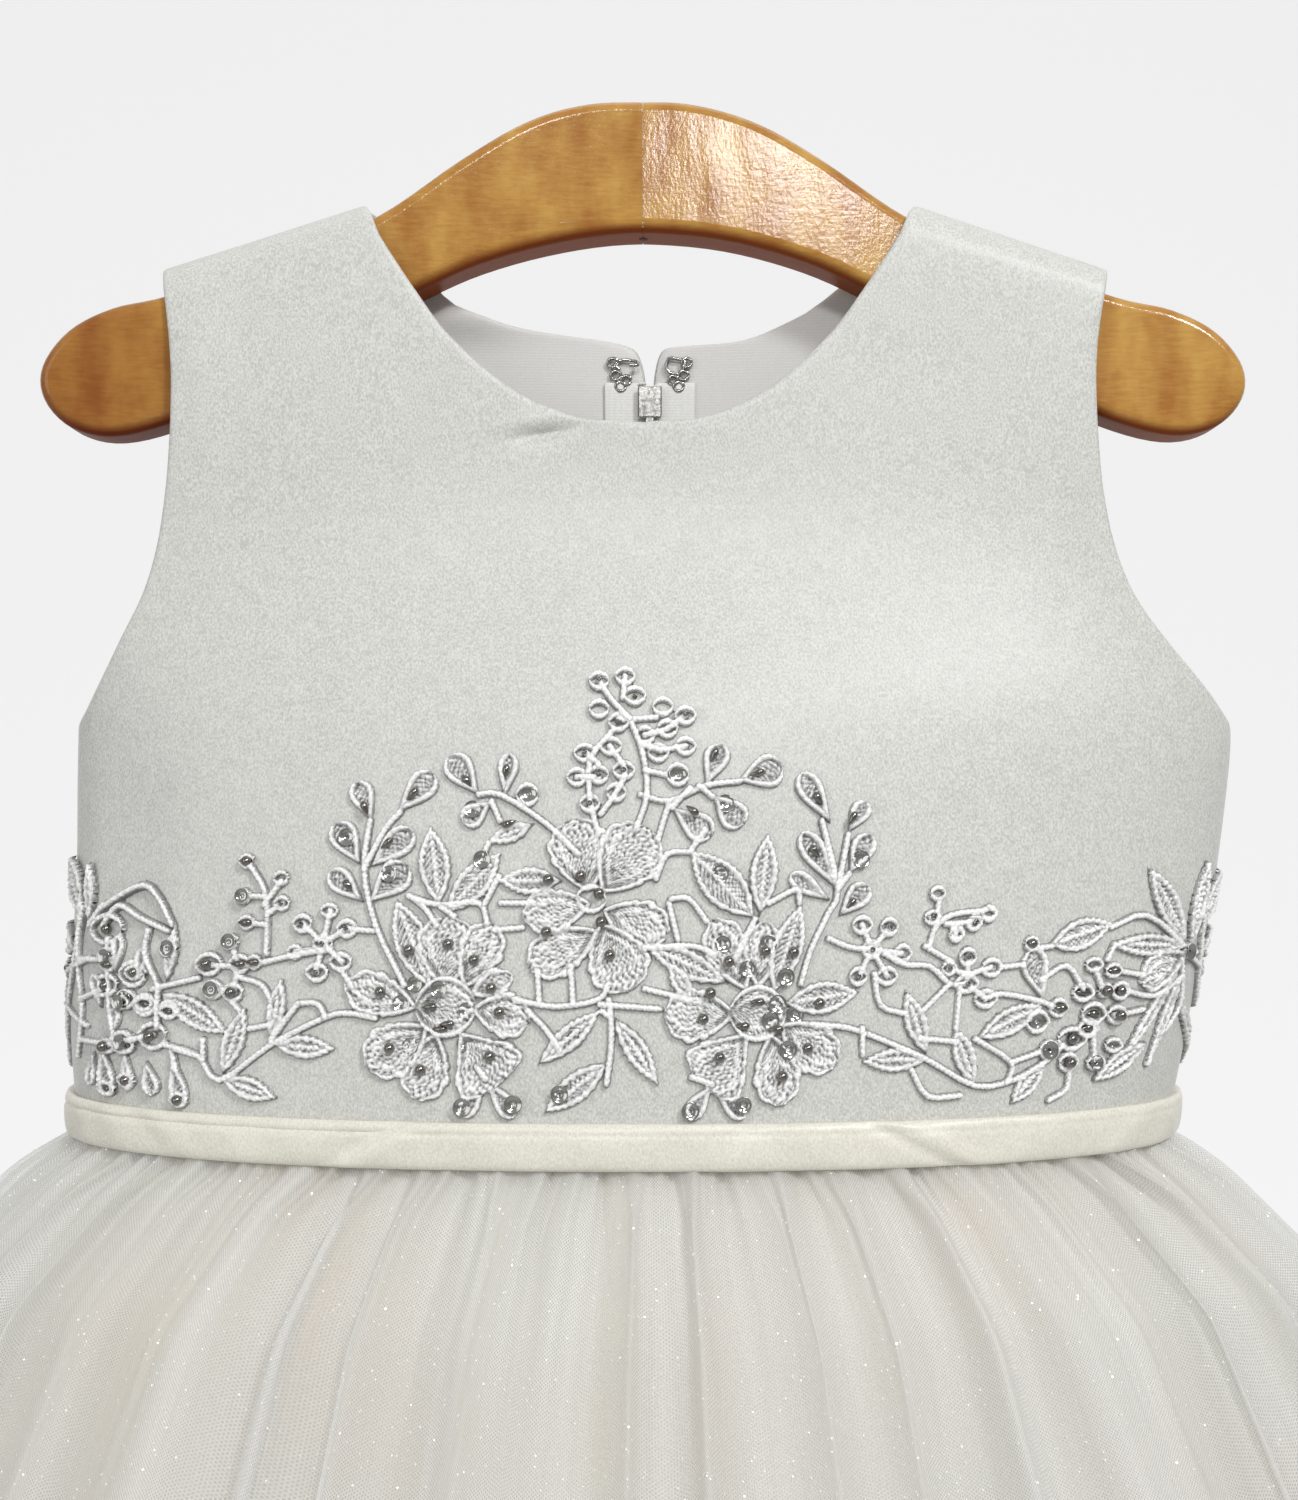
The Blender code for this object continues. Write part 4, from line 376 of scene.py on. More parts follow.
SATIN = satin("duchess_satin_woven", "BEBEB9", "DEDED9")
BAND_SATIN = satin("waistband_satin_woven", "DAD7CA", "EEEBDE", 0.36)
print(f"{SATIN.name} and {BAND_SATIN.name}: {len(SATIN.node_tree.nodes)} nodes each")

# %% [markdown]
# ### Lining
#
# The bodice and skirt linings are plain acetate, smoother and duller than the satin. Level waves give the even
# weave. The skirt's lining shows warmer in broad patches through the tulle, so a second, very coarse noise tints it.


# %% Lining
def lining(name, low, high, patches=None):
    """Acetate lining, plain woven: an even weave with little sheen.

    The waves are 0.73 mm apart, about three real threads, because single threads would vanish in the render.
    """
    finish = {"Base Color": linear(high), "Roughness": 0.5, "Sheen Weight": 0.1}
    made, tree, shader = new_material(name, finish)
    where = add(tree, "TexCoord").outputs["Object"]
    threads = add(tree, "TexWave", {"Vector": where, "Scale": 430.0, "Distortion": 0.6}, bands_direction="Z")
    slubs = add(tree, "TexNoise", {"Vector": where, "Scale": 1 / (0.5 * MM), "Detail": 2.0})
    weave = add(tree, "Math", (threads.outputs["Fac"], 0.3, slubs), operation="MULTIPLY_ADD")
    tone = add(tree, "MixRGB", (add(tree, "MapRange", (weave, 0.4, 1.0)), linear(low), linear(high)))
    if patches:
        cloud = add(tree, "TexNoise", {"Vector": where, "Scale": 1 / (55.0 * MM), "Detail": 1.0})
        share = add(tree, "MapRange", (cloud, 0.42, 0.66, 0.0, 0.75))
        tone = add(tree, "MixRGB", (share, tone, linear(patches)))
    bump = add(tree, "Bump", {"Height": weave, "Distance": 0.03 * MM})
    feed(tree, shader, {"Base Color": tone, "Normal": bump})
    return made


BODICE_LINING = lining("bodice_lining_acetate", "D2D1CE", "DDDCD9")
SKIRT_LINING = lining("skirt_lining_satin_woven", "DFDCCF", "EBE8DB", "EAD6C2")
print(f"{BODICE_LINING.name}: {len(BODICE_LINING.node_tree.nodes)} nodes, {SKIRT_LINING.name} adds its patches")

# %% [markdown]
# ### Tulle
#
# Tulle is a net of hexagons. Modelling its threads would take millions of faces, so the material makes the holes
# clear instead. Its threads pass about as much light as they send back, and denser and thinner streaks run down the
# cloth, where the gathers press threads together.


# %% Tulle
def tulle(name, colour, cover, cell_mm):
    """Nylon tulle, knitted: f = cos(k u) + cos(k (u / 2 + 0.866 v)) + cos(k (u / 2 - 0.866 v)), clear where f is high.

    u and v are the UV map's. The real cells are about 0.5 mm, drawn a little coarser to show.
    """
    finish = {"Base Color": linear(colour), "Roughness": 0.6, "Sheen Weight": 1.0, "Sheen Roughness": 0.3}
    made, tree, shader = new_material(name, finish)
    flat = add(tree, "TexCoord").outputs["UV"]
    parts = add(tree, "SeparateXYZ", (flat,))
    u = add(tree, "Math", (parts.outputs["X"], TURN / (cell_mm * MM)), operation="MULTIPLY")
    v = add(tree, "Math", (parts.outputs["Y"], TURN / (cell_mm * MM) * 0.866), operation="MULTIPLY")
    rising = add(tree, "Math", (u, 0.5, v), operation="MULTIPLY_ADD")
    falling = add(tree, "Math", (u, rising), operation="SUBTRACT")
    waves = [add(tree, "Math", (part,), operation="COSINE") for part in (u, rising, falling)]
    pair = add(tree, "Math", (waves[0], waves[1]), operation="ADD")
    total = add(tree, "Math", (pair, waves[2]), operation="ADD")
    net = add(tree, "MapRange", (total, -0.6, 1.6, cover + 0.14, cover - 0.14))
    # Each streak: its stretch along v, its width in mm, detail and roughness, and the range that its noise is put to.
    streaks = []
    for stretch, width, detail, rough, low, high, least, most in (
        (0.05, 3.0, 4.0, 0.55, 0.3, 0.7, 0.88, 1.08),
        (0.6, 0.5, 1.0, 0.5, 0.35, 0.75, 0.0, 0.22),
        (0.12, 26.0, 2.0, 0.45, 0.36, 0.64, 0.72, 1.34),
    ):
        long = add(tree, "Mapping", {"Vector": flat, "Scale": (1.0, stretch, 1.0)})
        settings = {"Vector": long, "Scale": 1 / (width * MM), "Detail": detail, "Roughness": rough}
        streaks.append(add(tree, "MapRange", (add(tree, "TexNoise", settings), low, high, least, most)))
    fine = add(tree, "Math", (streaks[0], streaks[1]), operation="ADD")
    uneven = add(tree, "Math", (fine, streaks[2]), operation="MULTIPLY")
    density = add(tree, "Math", (net, uneven), operation="MULTIPLY")
    passing = add(tree, "BsdfTranslucent", {"Color": linear(colour)})
    threads = add(tree, "MixShader", (0.42, shader, passing))
    cloth = add(tree, "MixShader", (density, add(tree, "BsdfTransparent"), threads))
    feed(tree, tree.nodes["Material Output"], {"Surface": cloth})
    return made


OUTER_TULLE = tulle("glitter_tulle_net", "F3F3F1", 0.46, 0.7)
INNER_TULLE = tulle("soft_tulle_net", "F1F1EE", 0.46, 0.8)
print(f"{OUTER_TULLE.name} and {INNER_TULLE.name}: {len(OUTER_TULLE.node_tree.nodes)} nodes each")

# %% [markdown]
# ### Lace thread
#
# Corded lace is stitched in rayon, whose plies shine. A wave follows the stitches by the UV map, which the lace
# sheet works out with its relief. The colour is painted darker where the thread lies deep between the stitches, as
# painted shade, and the wave paints highlight and shade along the plies.


# %% Lace thread
def thread(name, low, high):
    """Rayon embroidery thread, twisted: painted highlight on the plies and painted shade in the depths.

    The mesh's attribute "stand" says how high each place stands over the satin, from 0 to 1.
    """
    finish = {"Base Color": linear(high), "Roughness": 0.28, "Specular IOR Level": 0.75}
    finish |= {"Sheen Weight": 0.3, "Sheen Roughness": 0.4}
    made, tree, shader = new_material(name, finish)
    coordinates = add(tree, "TexCoord")
    slant = add(tree, "Mapping", {"Vector": coordinates.outputs["UV"], "Rotation": (0.0, 0.0, 0.75)})
    settings = {"Vector": slant, "Scale": 340.0, "Distortion": 5.0, "Detail": 2.0, "Detail Scale": 2.0}
    ply = add(tree, "TexWave", settings, bands_direction="X").outputs["Fac"]
    settings = {"Vector": coordinates.outputs["Object"], "Scale": 1 / (0.45 * MM), "Detail": 2.0, "Roughness": 0.6}
    fuzz = add(tree, "Math", (add(tree, "TexNoise", settings), 0.65), operation="MULTIPLY")
    plies = add(tree, "Math", (ply, 0.35, fuzz), operation="MULTIPLY_ADD")
    # Painted shade and painted highlight: the colour is darker where the thread stands low, and the ply wave lightens
    # and darkens it.
    stand = add(tree, "Attribute", attribute_name="stand").outputs["Fac"]
    shade = add(tree, "MapRange", (plies, 0.3, 0.7, -0.30, 0.25))
    lit = add(tree, "Math", (stand, 1.15, shade), operation="MULTIPLY_ADD")
    tone = add(tree, "MixRGB", (lit, linear(low), linear(high)))
    bump = add(tree, "Bump", {"Height": plies, "Distance": 0.13 * MM})
    feed(tree, shader, {"Base Color": tone, "Normal": bump})
    return made


# The low colour is the painted shade of the lace's depths.
LACE = thread("corded_lace_rayon", "787874", "FFFFFE")
print(f"{LACE.name}: {len(LACE.node_tree.nodes)} nodes")

# %% [markdown]
# ### Polished beads and fittings
#
# The pearls, drops, sequins and zip parts are small and smooth. Noise makes their gloss uneven, as handling does.


# %% Polished metal and nylon
def polished(name, colour, roughness, metallic=1.0):
    """Plated metal, or moulded nylon where it isn't metallic: a smooth skin with wear about 0.8 mm across."""
    finish = {"Base Color": linear(colour), "Roughness": roughness, "Metallic": metallic}
    made, tree, shader = new_material(name, finish)
    where = add(tree, "TexCoord").outputs["Object"]
    wear = add(tree, "TexNoise", {"Vector": where, "Scale": 1 / (0.8 * MM), "Detail": 2.0})
    gloss = add(tree, "MapRange", (wear, 0.3, 0.7, roughness * 0.7, roughness * 1.4))
    feed(tree, shader, {"Roughness": gloss, "Normal": add(tree, "Bump", {"Height": wear, "Distance": 0.002 * MM})})
    return made


PEARL = polished("silver_pearl_plated", "8A8782", 0.12)
SILVER = polished("silver_drop_plated", "85827C", 0.14)
SEQUIN = polished("cup_sequin_metallised", "B4B4AF", 0.12)
NICKEL = polished("nickel_plated_zinc", "B0AFAB", 0.22)
COIL = polished("zip_coil_nylon", "E4E4E0", 0.4, 0.0)
print("polished:", ", ".join(made.name for made in (PEARL, SILVER, SEQUIN, NICKEL, COIL)))

# %% [markdown]
# ### Lacquered wood
#
# The hanger is beech under a thick honey lacquer. Fine grain runs along the arms, and the stain lies in blotches.
# Its colour is also painted darker underneath and towards the left end: painted shade, with the coat thinned
# underneath along with it. The lacquer has a slow swell and a fine orange peel, which break up the lamp's mirror
# image on the right arm.


# %% Lacquered wood
def lacquered_wood(name, low, high, under):
    """Beech, planed, stained and lacquered: grain 0.7 mm across drawn out along the arm, under a clear coat."""
    finish = {"Base Color": linear(high), "Roughness": 0.45, "Specular IOR Level": 0.1}
    finish |= {"Coat Weight": 1.0, "Coat Roughness": 0.16, "Coat IOR": 1.45}
    made, tree, shader = new_material(name, finish)
    where = add(tree, "TexCoord").outputs["Object"]
    # Each pattern: how the wood is stretched and turned for it, its size in mm, its detail and its roughness.
    patterns = []
    for stretch, turn, size, detail, rough in (
        ((0.15, 1.0, 1.0), (0.0, 0.12, 0.0), 0.7, 4.0, 0.6),
        ((1.0, 1.0, 0.5), (0.0, 0.0, 0.0), 9.0, 3.0, 0.5),
        ((1.0, 1.0, 0.6), (0.0, 0.0, 0.0), 0.8, 2.0, 0.5),
        ((1.0, 1.0, 0.35), (0.0, 0.0, 0.0), 7.0, 1.0, 0.5),
    ):
        placed = add(tree, "Mapping", {"Vector": where, "Scale": stretch, "Rotation": turn})
        settings = {"Vector": placed, "Scale": 1 / (size * MM), "Detail": detail, "Roughness": rough}
        patterns.append(add(tree, "TexNoise", settings))
    grain, blotches, peel, swell = patterns
    faint = add(tree, "Math", (grain, 0.30), operation="MULTIPLY")
    mixed = add(tree, "Math", (blotches, 0.70, faint), operation="MULTIPLY_ADD")
    stain_and_shade = add(tree, "MixRGB", (add(tree, "MapRange", (mixed, 0.36, 0.64)), linear(low), linear(high)))
    # Painted shade: underneath, the colour turns to the darker red-brown given as under, and the coat thins there.
    facing = add(tree, "SeparateXYZ", (add(tree, "NewGeometry").outputs["Normal"],)).outputs["Z"]
    run = add(tree, "MapRange", (facing, -0.30, -0.80))
    stain_and_shade = add(tree, "MixRGB", (run, stain_and_shade, linear(under)))
    # Painted shade: the colour darkens towards the left end.
    across = add(tree, "SeparateXYZ", (where,)).outputs["X"]
    end = add(tree, "MapRange", (across, -0.085, -0.130, 0.0, 0.6))
    stain_and_shade = add(tree, "MixRGB", (end, stain_and_shade, linear("C08A55")), blend_type="MULTIPLY")
    coat = add(tree, "MapRange", (run, 0.0, 1.0, 1.0, 0.0))
    bump = None
    for height, depth_mm in ((grain, 0.02), (swell, 0.17), (peel, 0.045)):
        bump = add(tree, "Bump", {"Height": height, "Distance": depth_mm * MM, "Normal": bump})
    feed(tree, shader, {"Base Color": stain_and_shade, "Coat Weight": coat, "Normal": bump, "Coat Normal": bump})
    return made


WOOD = lacquered_wood("beech_lacquered", "A46A26", "C69848", "8A4218")
# This dark material colours the glue line, a real dark joint, and the pilot hole's painted shade.
GLUE_AND_HOLE_SHADE = lacquered_wood("glue_line_and_hole_shade", "3E2410", "563016", "3A2012")
print(f"{WOOD.name}: {len(WOOD.node_tree.nodes)} nodes")

# %% [markdown]
# ## The body's shape
#
# Every piece of cloth hangs on one shape, so that comes first. The tables are the part's own: the body's level
# sections, the cut of the panels and the sections of both skirts. A sculpted body could be wrapped instead, but
# tables keep each seam exactly where the part has it.

# %% Section tables
POWER = 2.2
ZIP_X = 1.7
BODY_ROWS = (
    # z, half_width, front, back, lean
    (-254.0, 134.1, 45.2, 34.2, -5.4), (-222.0, 138.1, 42.0, 31.7, -3.0), (-205.0, 139.8, 39.5, 30.0, -0.9),
    (-187.0, 141.3, 37.0, 28.6, 1.0), (-165.0, 142.7, 33.2, 26.2, 2.5), (-157.0, 142.8, 31.5, 25.0, 3.0),
    (-146.0, 143.0, 29.2, 23.0, 2.8), (-133.0, 143.5, 26.5, 20.6, -0.2), (-120.0, 144.0, 24.0, 18.0, -1.6),
    (-100.0, 145.0, 19.5, 15.0, -2.6), (-60.0, 145.0, 16.0, 12.0, -3.0), (-25.0, 145.0, 16.0, 12.0, -1.5),
)
FRONT_CUT = (
    # outer_x, outer_z, inner_x, inner_z
    (134.7, -248.9, 0.0, -248.9), (138.1, -222.0, 0.0, -222.0), (139.8, -205.0, 0.0, -205.0),
    (141.3, -187.0, 0.0, -187.0), (142.8, -157.0, 0.0, -164.0), (138.2, -149.5, 0.0, -141.0),
    (127.5, -135.0, 0.0, -119.0), (119.0, -121.0, 0.0, -99.0), (114.8, -107.0, 0.0, -81.0),
    (112.6, -92.0, 12.0, -80.2), (111.8, -79.0, 24.5, -76.3), (111.6, -70.0, 36.5, -68.5), (112.0, -61.0, 48.5, -57.0),
)
BACK_CUT = (
    (134.7, -248.9, 0.1, -248.9), (138.1, -222.0, 0.1, -222.0), (139.8, -205.0, 0.1, -205.0),
    (141.3, -187.0, 0.1, -187.0), (142.8, -157.0, 0.1, -160.0), (138.2, -149.5, 0.1, -136.0),
    (127.5, -135.0, 0.1, -112.0), (119.0, -121.0, 0.1, -86.0), (114.8, -107.0, 0.7, -76.5),
    (112.6, -92.0, 0.7, -67.5), (111.8, -80.0, 3.4, -57.5), (111.6, -71.0, 23.0, -56.0), (112.0, -61.0, 43.0, -48.0),
)
SKIRT_ROWS = (
    # z, half_width, front, back, gather, lobe
    (-249.2, 133.9, 44.2, 33.3, 0.0, 0.0), (-254.0, 133.9, 44.4, 33.5, 0.2, 0.0), (-262.0, 148.0, 53.0, 41.0, 2.4, 0.0),
    (-285.0, 172.0, 69.0, 51.0, 4.0, 1.0), (-330.0, 194.0, 89.0, 62.0, 5.5, 3.0),
    (-440.0, 227.0, 118.0, 76.0, 7.5, 6.0), (-690.0, 290.0, 160.0, 98.0, 9.5, 11.0),
)
LINING_ROWS = (
    (-249.2, 132.3, 42.6, 31.7, 0.0, 0.0), (-254.0, 131.8, 42.1, 31.2, 0.0, 0.0), (-263.0, 137.0, 46.0, 34.5, 0.0, 0.0),
    (-285.0, 158.0, 57.0, 40.0, 0.0, 0.0), (-330.0, 176.0, 72.0, 46.0, 0.0, 1.2), (-440.0, 202.0, 96.0, 55.0, 0.0, 4.0),
    (-680.0, 256.0, 130.0, 68.0, 0.0, 6.0),
)
print(f"waist {2 * BODY_ROWS[0][1]:.0f} mm across, hem {2 * SKIRT_ROWS[-1][1]:.0f} mm across")

# %% [markdown]
# ### Reading the tables
#
# Straight runs between rows would crease the cloth at each row. A spline could overshoot at the waist, where the
# sections change fast, so each table is averaged over a few millimetres instead.


# %% Rounded tables
def rounded_table(rows, blur):
    """A table on an even run of heights, averaged over a Gaussian of that reach so that its corners are round."""
    rows = np.array(sorted(rows))
    z = np.arange(rows[0, 0] - 30.0, rows[-1, 0] + 30.0, 0.5)
    spread = np.arange(-3 * blur, 3 * blur + 0.25, 0.5)
    weight = np.exp(-0.5 * (spread / blur) ** 2)
    columns = [np.interp(z, rows[:, 0], column) for column in rows[:, 1:].T]
    padded = [np.pad(column, len(weight) // 2, mode="edge") for column in columns]
    return np.stack([z, *(np.convolve(column, weight / weight.sum(), "valid") for column in padded)], axis=1)


BODY = rounded_table(BODY_ROWS, 5.0)
SKIRT = rounded_table(SKIRT_ROWS, 2.5)
LINING = rounded_table(LINING_ROWS, 2.5)


def read(table, column, z):
    """A table's column at a height."""
    return np.interp(z, table[:, 0], table[:, column])


def smoothstep(low, high, value):
    """0 below low, 1 above high, and s * s * (3 - 2 * s) between, where s is the share of the way."""
    share = np.clip((value - low) / (high - low), 0.0, 1.0)
    return share * share * (3.0 - 2.0 * share)


def hump(value, middle, reach):
    """A bell curve of height 1: exp(-((value - middle) / reach) ** 2)."""
    return np.exp(-(((value - middle) / reach) ** 2))


print(f"chest {2 * read(BODY, 1, -157.0):.1f} mm across, {read(BODY, 2, -157.0) + read(BODY, 3, -157.0):.1f} mm deep")

# %% [markdown]
# ### The cloth's surface
#
# A level section of the chest is a superellipse, fuller than an ellipse: (x / a) ** 2.2 + (y / b) ** 2.2 = 1. Above
# the chest the cloth passes smoothly into straps, which make a quarter turn over the hanger.


# %% Places on the body
ARM_SWEEP = math.tan(math.radians(3))


def section_x(half_width, angle):
    """How far across a superellipse reaches: half_width * sin(angle) ** (2 / 2.2)."""
    return half_width * np.sign(np.sin(angle)) * np.abs(np.sin(angle)) ** (2.0 / POWER)


def section_angle(half_width, x):
    """The angle at which a superellipse reaches that far across: arcsin((x / half_width) ** (2.2 / 2))."""
    return np.arcsin(np.clip(np.abs(x) / half_width, 0.0, 1.0) ** (POWER / 2.0))


def lean_over(x, z, back):
    """How far the body leans to the right: by the table at its sides, and at the middle back as far as the zip."""
    share = np.clip(np.abs(x) / read(BODY, 1, z), 0.0, 1.0)
    return read(BODY, 4, z) * share + np.where(back, ZIP_X, 0.0) * (1.0 - share)


def turn_radius(x, side):
    """The radius of the cloth's quarter turn over the hanger, which grows to the neck at the front."""
    if side > 0:
        return np.full_like(x, 9.4)
    return 10.0 + ARM_SWEEP * np.maximum(95.0 - np.abs(x), 0.0)


def turn_start(x, side):
    """The height where that turn starts. The shoulders fall 0.345 mm for each mm outwards."""
    return -26.3 - (np.abs(x) - 67.5) * 0.345 - turn_radius(x, side)


print(f"the straps turn over the hanger from a height of {float(turn_start(np.array(90.0), -1)):.1f} mm, 90 mm out")


# %% Points of the cloth
def cloth_point(x, flat_z, side):
    """The bodice's middle surface, as in the part. side is -1 for the front and 1 for the back."""
    x, flat_z = np.broadcast_arrays(np.asarray(x, float), np.asarray(flat_z, float))
    radius = turn_radius(x, side)
    turn = np.clip((flat_z - turn_start(x, side)) / radius, 0.0, math.pi / 2)
    z = np.where(turn > 0, turn_start(x, side) + radius * np.sin(turn), flat_z)
    strap_y = -ARM_SWEEP * np.abs(x) + side * radius * np.cos(turn)
    share = np.clip(np.abs(x) / read(BODY, 1, z), 0.0, 1.0)
    chest_y = side * read(BODY, 2 if side < 0 else 3, z) * (1.0 - share**POWER) ** (1.0 / POWER)
    hang = smoothstep(-155.0, -85.0, z)
    return np.stack([x + lean_over(x, z, side > 0), chest_y * (1.0 - hang) + strap_y * hang, z], axis=-1)


def ring_point(table, angle, z, out=0.0):
    """A point of a level section, moved out along its normal. The angle runs from the middle front to the back."""
    width = read(table, 1, z)
    reach = np.where(np.abs(angle) <= math.pi / 2, read(table, 2, z), read(table, 3, z))
    power = 2.0 / POWER
    sine, cosine = np.sin(angle), np.cos(angle)
    x = width * np.sign(sine) * np.abs(sine) ** power
    y = -reach * np.sign(cosine) * np.abs(cosine) ** power
    normal_x = np.sign(sine) * np.abs(sine) ** (2.0 - power) / width
    normal_y = -np.sign(cosine) * np.abs(cosine) ** (2.0 - power) / reach
    length = np.hypot(normal_x, normal_y)
    lean = lean_over(x * read(BODY, 1, z) / width, z, np.abs(angle) > math.pi / 2)
    return np.stack([x + lean + out * normal_x / length, y + out * normal_y / length, z + 0.0 * x], axis=-1)


def along(points, axis):
    """The distance along rows of points from their first one."""
    gaps = np.linalg.norm(np.diff(points, axis=axis), axis=-1)
    start = np.zeros_like(np.take(gaps, [0], axis=axis))
    return np.concatenate([start, np.cumsum(gaps, axis=axis)], axis=axis)


waist_ring = ring_point(BODY, np.linspace(-math.pi, math.pi, 721), np.full(721, -249.0))
print(f"round the waist: {along(waist_ring, 0)[-1]:.0f} mm")

# %% [markdown]
# ## Hanger
#
# Two swept arms of lacquered beech, sawn from a board, rounded at their edges and mitred at the middle. A curve
# with a bevel would give an even round edge but no flat faces, so each arm is its outline extruded, with its rims
# bevelled. The left one is turned by about 6 degrees about its own length, so that only the right one catches the
# glint.

# %% Hanger outline
ARM_OUTLINE = (
    (-13.5, -1.0), (0.0, 0.0), (13.5, -1.0), (29.0, -6.0), (45.0, -15.5), (66.0, -30.0), (90.0, -40.0),
    (115.0, -49.5), (129.0, -53.0), (139.5, -58.5), (146.0, -67.0), (145.8, -75.0), (139.5, -81.5), (129.0, -83.5),
    (114.0, -79.5), (98.0, -71.5), (78.0, -59.5), (57.0, -48.0), (40.0, -40.0), (20.0, -34.3), (0.0, -32.2),
    (-13.5, -33.2),
)
ARM_TOP = through(ARM_OUTLINE[:11], 8)
ARM_UNDER = through(ARM_OUTLINE[11:], 8)[::-1]
ARM_DEPTH = 15.0
print(f"hanger: {2 * np.max(ARM_OUTLINE, axis=0)[0]:.0f} mm wide")


# %% Hanger arms
def make_arm(name, side_x, roll):
    """One arm: its outline extruded, rounded over 3 mm, swept forward by 3 degrees and cut at the mitre.

    The roll shears it: y falls by roll * height over the arm's middle line, and not at all near the mitre.
    """
    shaped = bmesh.new()
    verts = [shaped.verts.new((x, -ARM_DEPTH / 2, z)) for x, z in through(ARM_OUTLINE, 5)]
    made = bmesh.ops.extrude_face_region(shaped, geom=[shaped.faces.new(verts)])
    moved = [item for item in made["geom"] if isinstance(item, bmesh.types.BMVert)]
    bmesh.ops.translate(shaped, verts=moved, vec=(0.0, ARM_DEPTH, 0.0))
    rims = [
        edge for edge in shaped.edges
        if abs(edge.verts[0].co.y - edge.verts[1].co.y) < 7 and max(vert.co.x for vert in edge.verts) > -13
    ]
    bmesh.ops.bevel(shaped, geom=rims, offset=3.0, segments=5, profile=0.5, affect="EDGES")
    mesh = bpy.data.meshes.new(name)
    shaped.to_mesh(mesh)
    points = numbers(mesh.vertices, "co", 3)
    x, z = points[:, 0].astype(float), points[:, 2].astype(float)
    middle = 0.5 * (np.interp(x, ARM_TOP[:, 0], ARM_TOP[:, 1]) + np.interp(x, ARM_UNDER[:, 0], ARM_UNDER[:, 1]))
    points[:, 1] = points[:, 1] - roll * (z - middle) * smoothstep(4.0, 24.0, x)
    mesh.vertices.foreach_set("co", points.ravel())
    shaped.clear()
    shaped.from_mesh(mesh)
    bmesh.ops.rotate(shaped, verts=shaped.verts, cent=(0, 0, 0), matrix=Matrix.Rotation(-math.radians(3), 3, "Z"))
    everything = [*shaped.verts, *shaped.edges, *shaped.faces]
    cut = bmesh.ops.bisect_plane(shaped, geom=everything, plane_co=(0.05, 0, 0), plane_no=(1, 0, 0), clear_inner=True)
    bmesh.ops.edgeloop_fill(shaped, edges=[item for item in cut["geom_cut"] if isinstance(item, bmesh.types.BMEdge)])
    bmesh.ops.scale(shaped, vec=(side_x * MM, MM, MM), verts=shaped.verts)
    bmesh.ops.recalc_face_normals(shaped, faces=shaped.faces)
    shaped.to_mesh(mesh)
    shaped.free()
    arm = show(name, mesh, WOOD, replaces=["hanger_" + name])
    weighted = arm.modifiers.new("even shading", "WEIGHTED_NORMAL")
    weighted.keep_sharp = True
    settle(arm)


make_arm("arm_right", 1, 0.0)
make_arm("arm_left", -1, 0.10)

# %% [markdown]
# ### Glue line and pilot hole
#
# The mitre shows as a thin dark line of glue. Under it, the small hole where a hook can be screwed in is a thin dark
# disc, painted shade where the hole lies in shade. Both are solids of their own, because a line painted on the wood
# would have to be wider to be seen.

# %% Glue line and pilot hole
joint_line = [(x, y, z) for x in (-0.08, 0.08) for y, z in ((-6.4, -1.6), (6.4, -1.6), (6.4, -31.4), (-6.4, -31.4))]
joint_faces = np.array([[0, 1, 2, 3], [7, 6, 5, 4], [0, 4, 5, 1], [1, 5, 6, 2], [2, 6, 7, 3], [3, 7, 4, 0]])
show("glue_line", mesh_from("glue_line", joint_line, joint_faces), GLUE_AND_HOLE_SHADE, smooth_to=20)
# Painted shade: a thin dark disc stands for the shade in the pilot hole.
hole, hole_faces = turned([(0.0, -32.38), (0.8, -32.38), (1.1, -32.35), (1.15, -32.1), (0.0, -32.1)], 16)
show("pilot_hole_shade", mesh_from("pilot_hole_shade", hole + (0.1, 0.4, 0.0), hole_faces), GLUE_AND_HOLE_SHADE)

# %% [markdown]
# ## Bodice
#
# The front is one panel and the back two, cut from satin and lining and turned, so that each edge is soft. A cloth
# simulation would move the seams and the neckline away from the photograph's. Here each panel is the part's middle
# surface with the unevenness of real cloth, then a wall of satin outside and lining inside with rounded edges.


# %% Unevenness of the satin
def satin_swell(x, z, side):
    """How far the cloth swells out: broad waves of 0.4 mm, the small dent under the neckline and slack at the sides."""
    swell = 0.35 * np.sin(x / 19.0 + z / 31.0) * np.cos(z / 27.0 - 0.4) + 0.25 * np.sin(x / 37.0 - z / 23.0 + 1.0)
    if side < 0:
        across, down = (x + 24.0) + 0.45 * (z + 83.5), (z + 83.5) - 0.32 * (x + 24.0)
        swell -= 2.6 * np.exp(-((across / 4.6) ** 2) - (down / 1.5) ** 2)
        swell += 1.0 * np.exp(-((across / 6.5) ** 2) - ((down - 3.2) / 2.0) ** 2)
        swell -= 2.6 * hump(x, -126.0, 15.0) * hump(z, -176.0, 20.0)
        swell -= 1.0 * hump(x, 130.0, 13.0) * hump(z, -176.0, 18.0)
    return swell * smoothstep(-249.0, -232.0, z)


dent = satin_swell(np.array(-24.0), np.array(-83.5), -1)
print(f"the dent under the neckline is {-float(dent):.1f} mm deep")


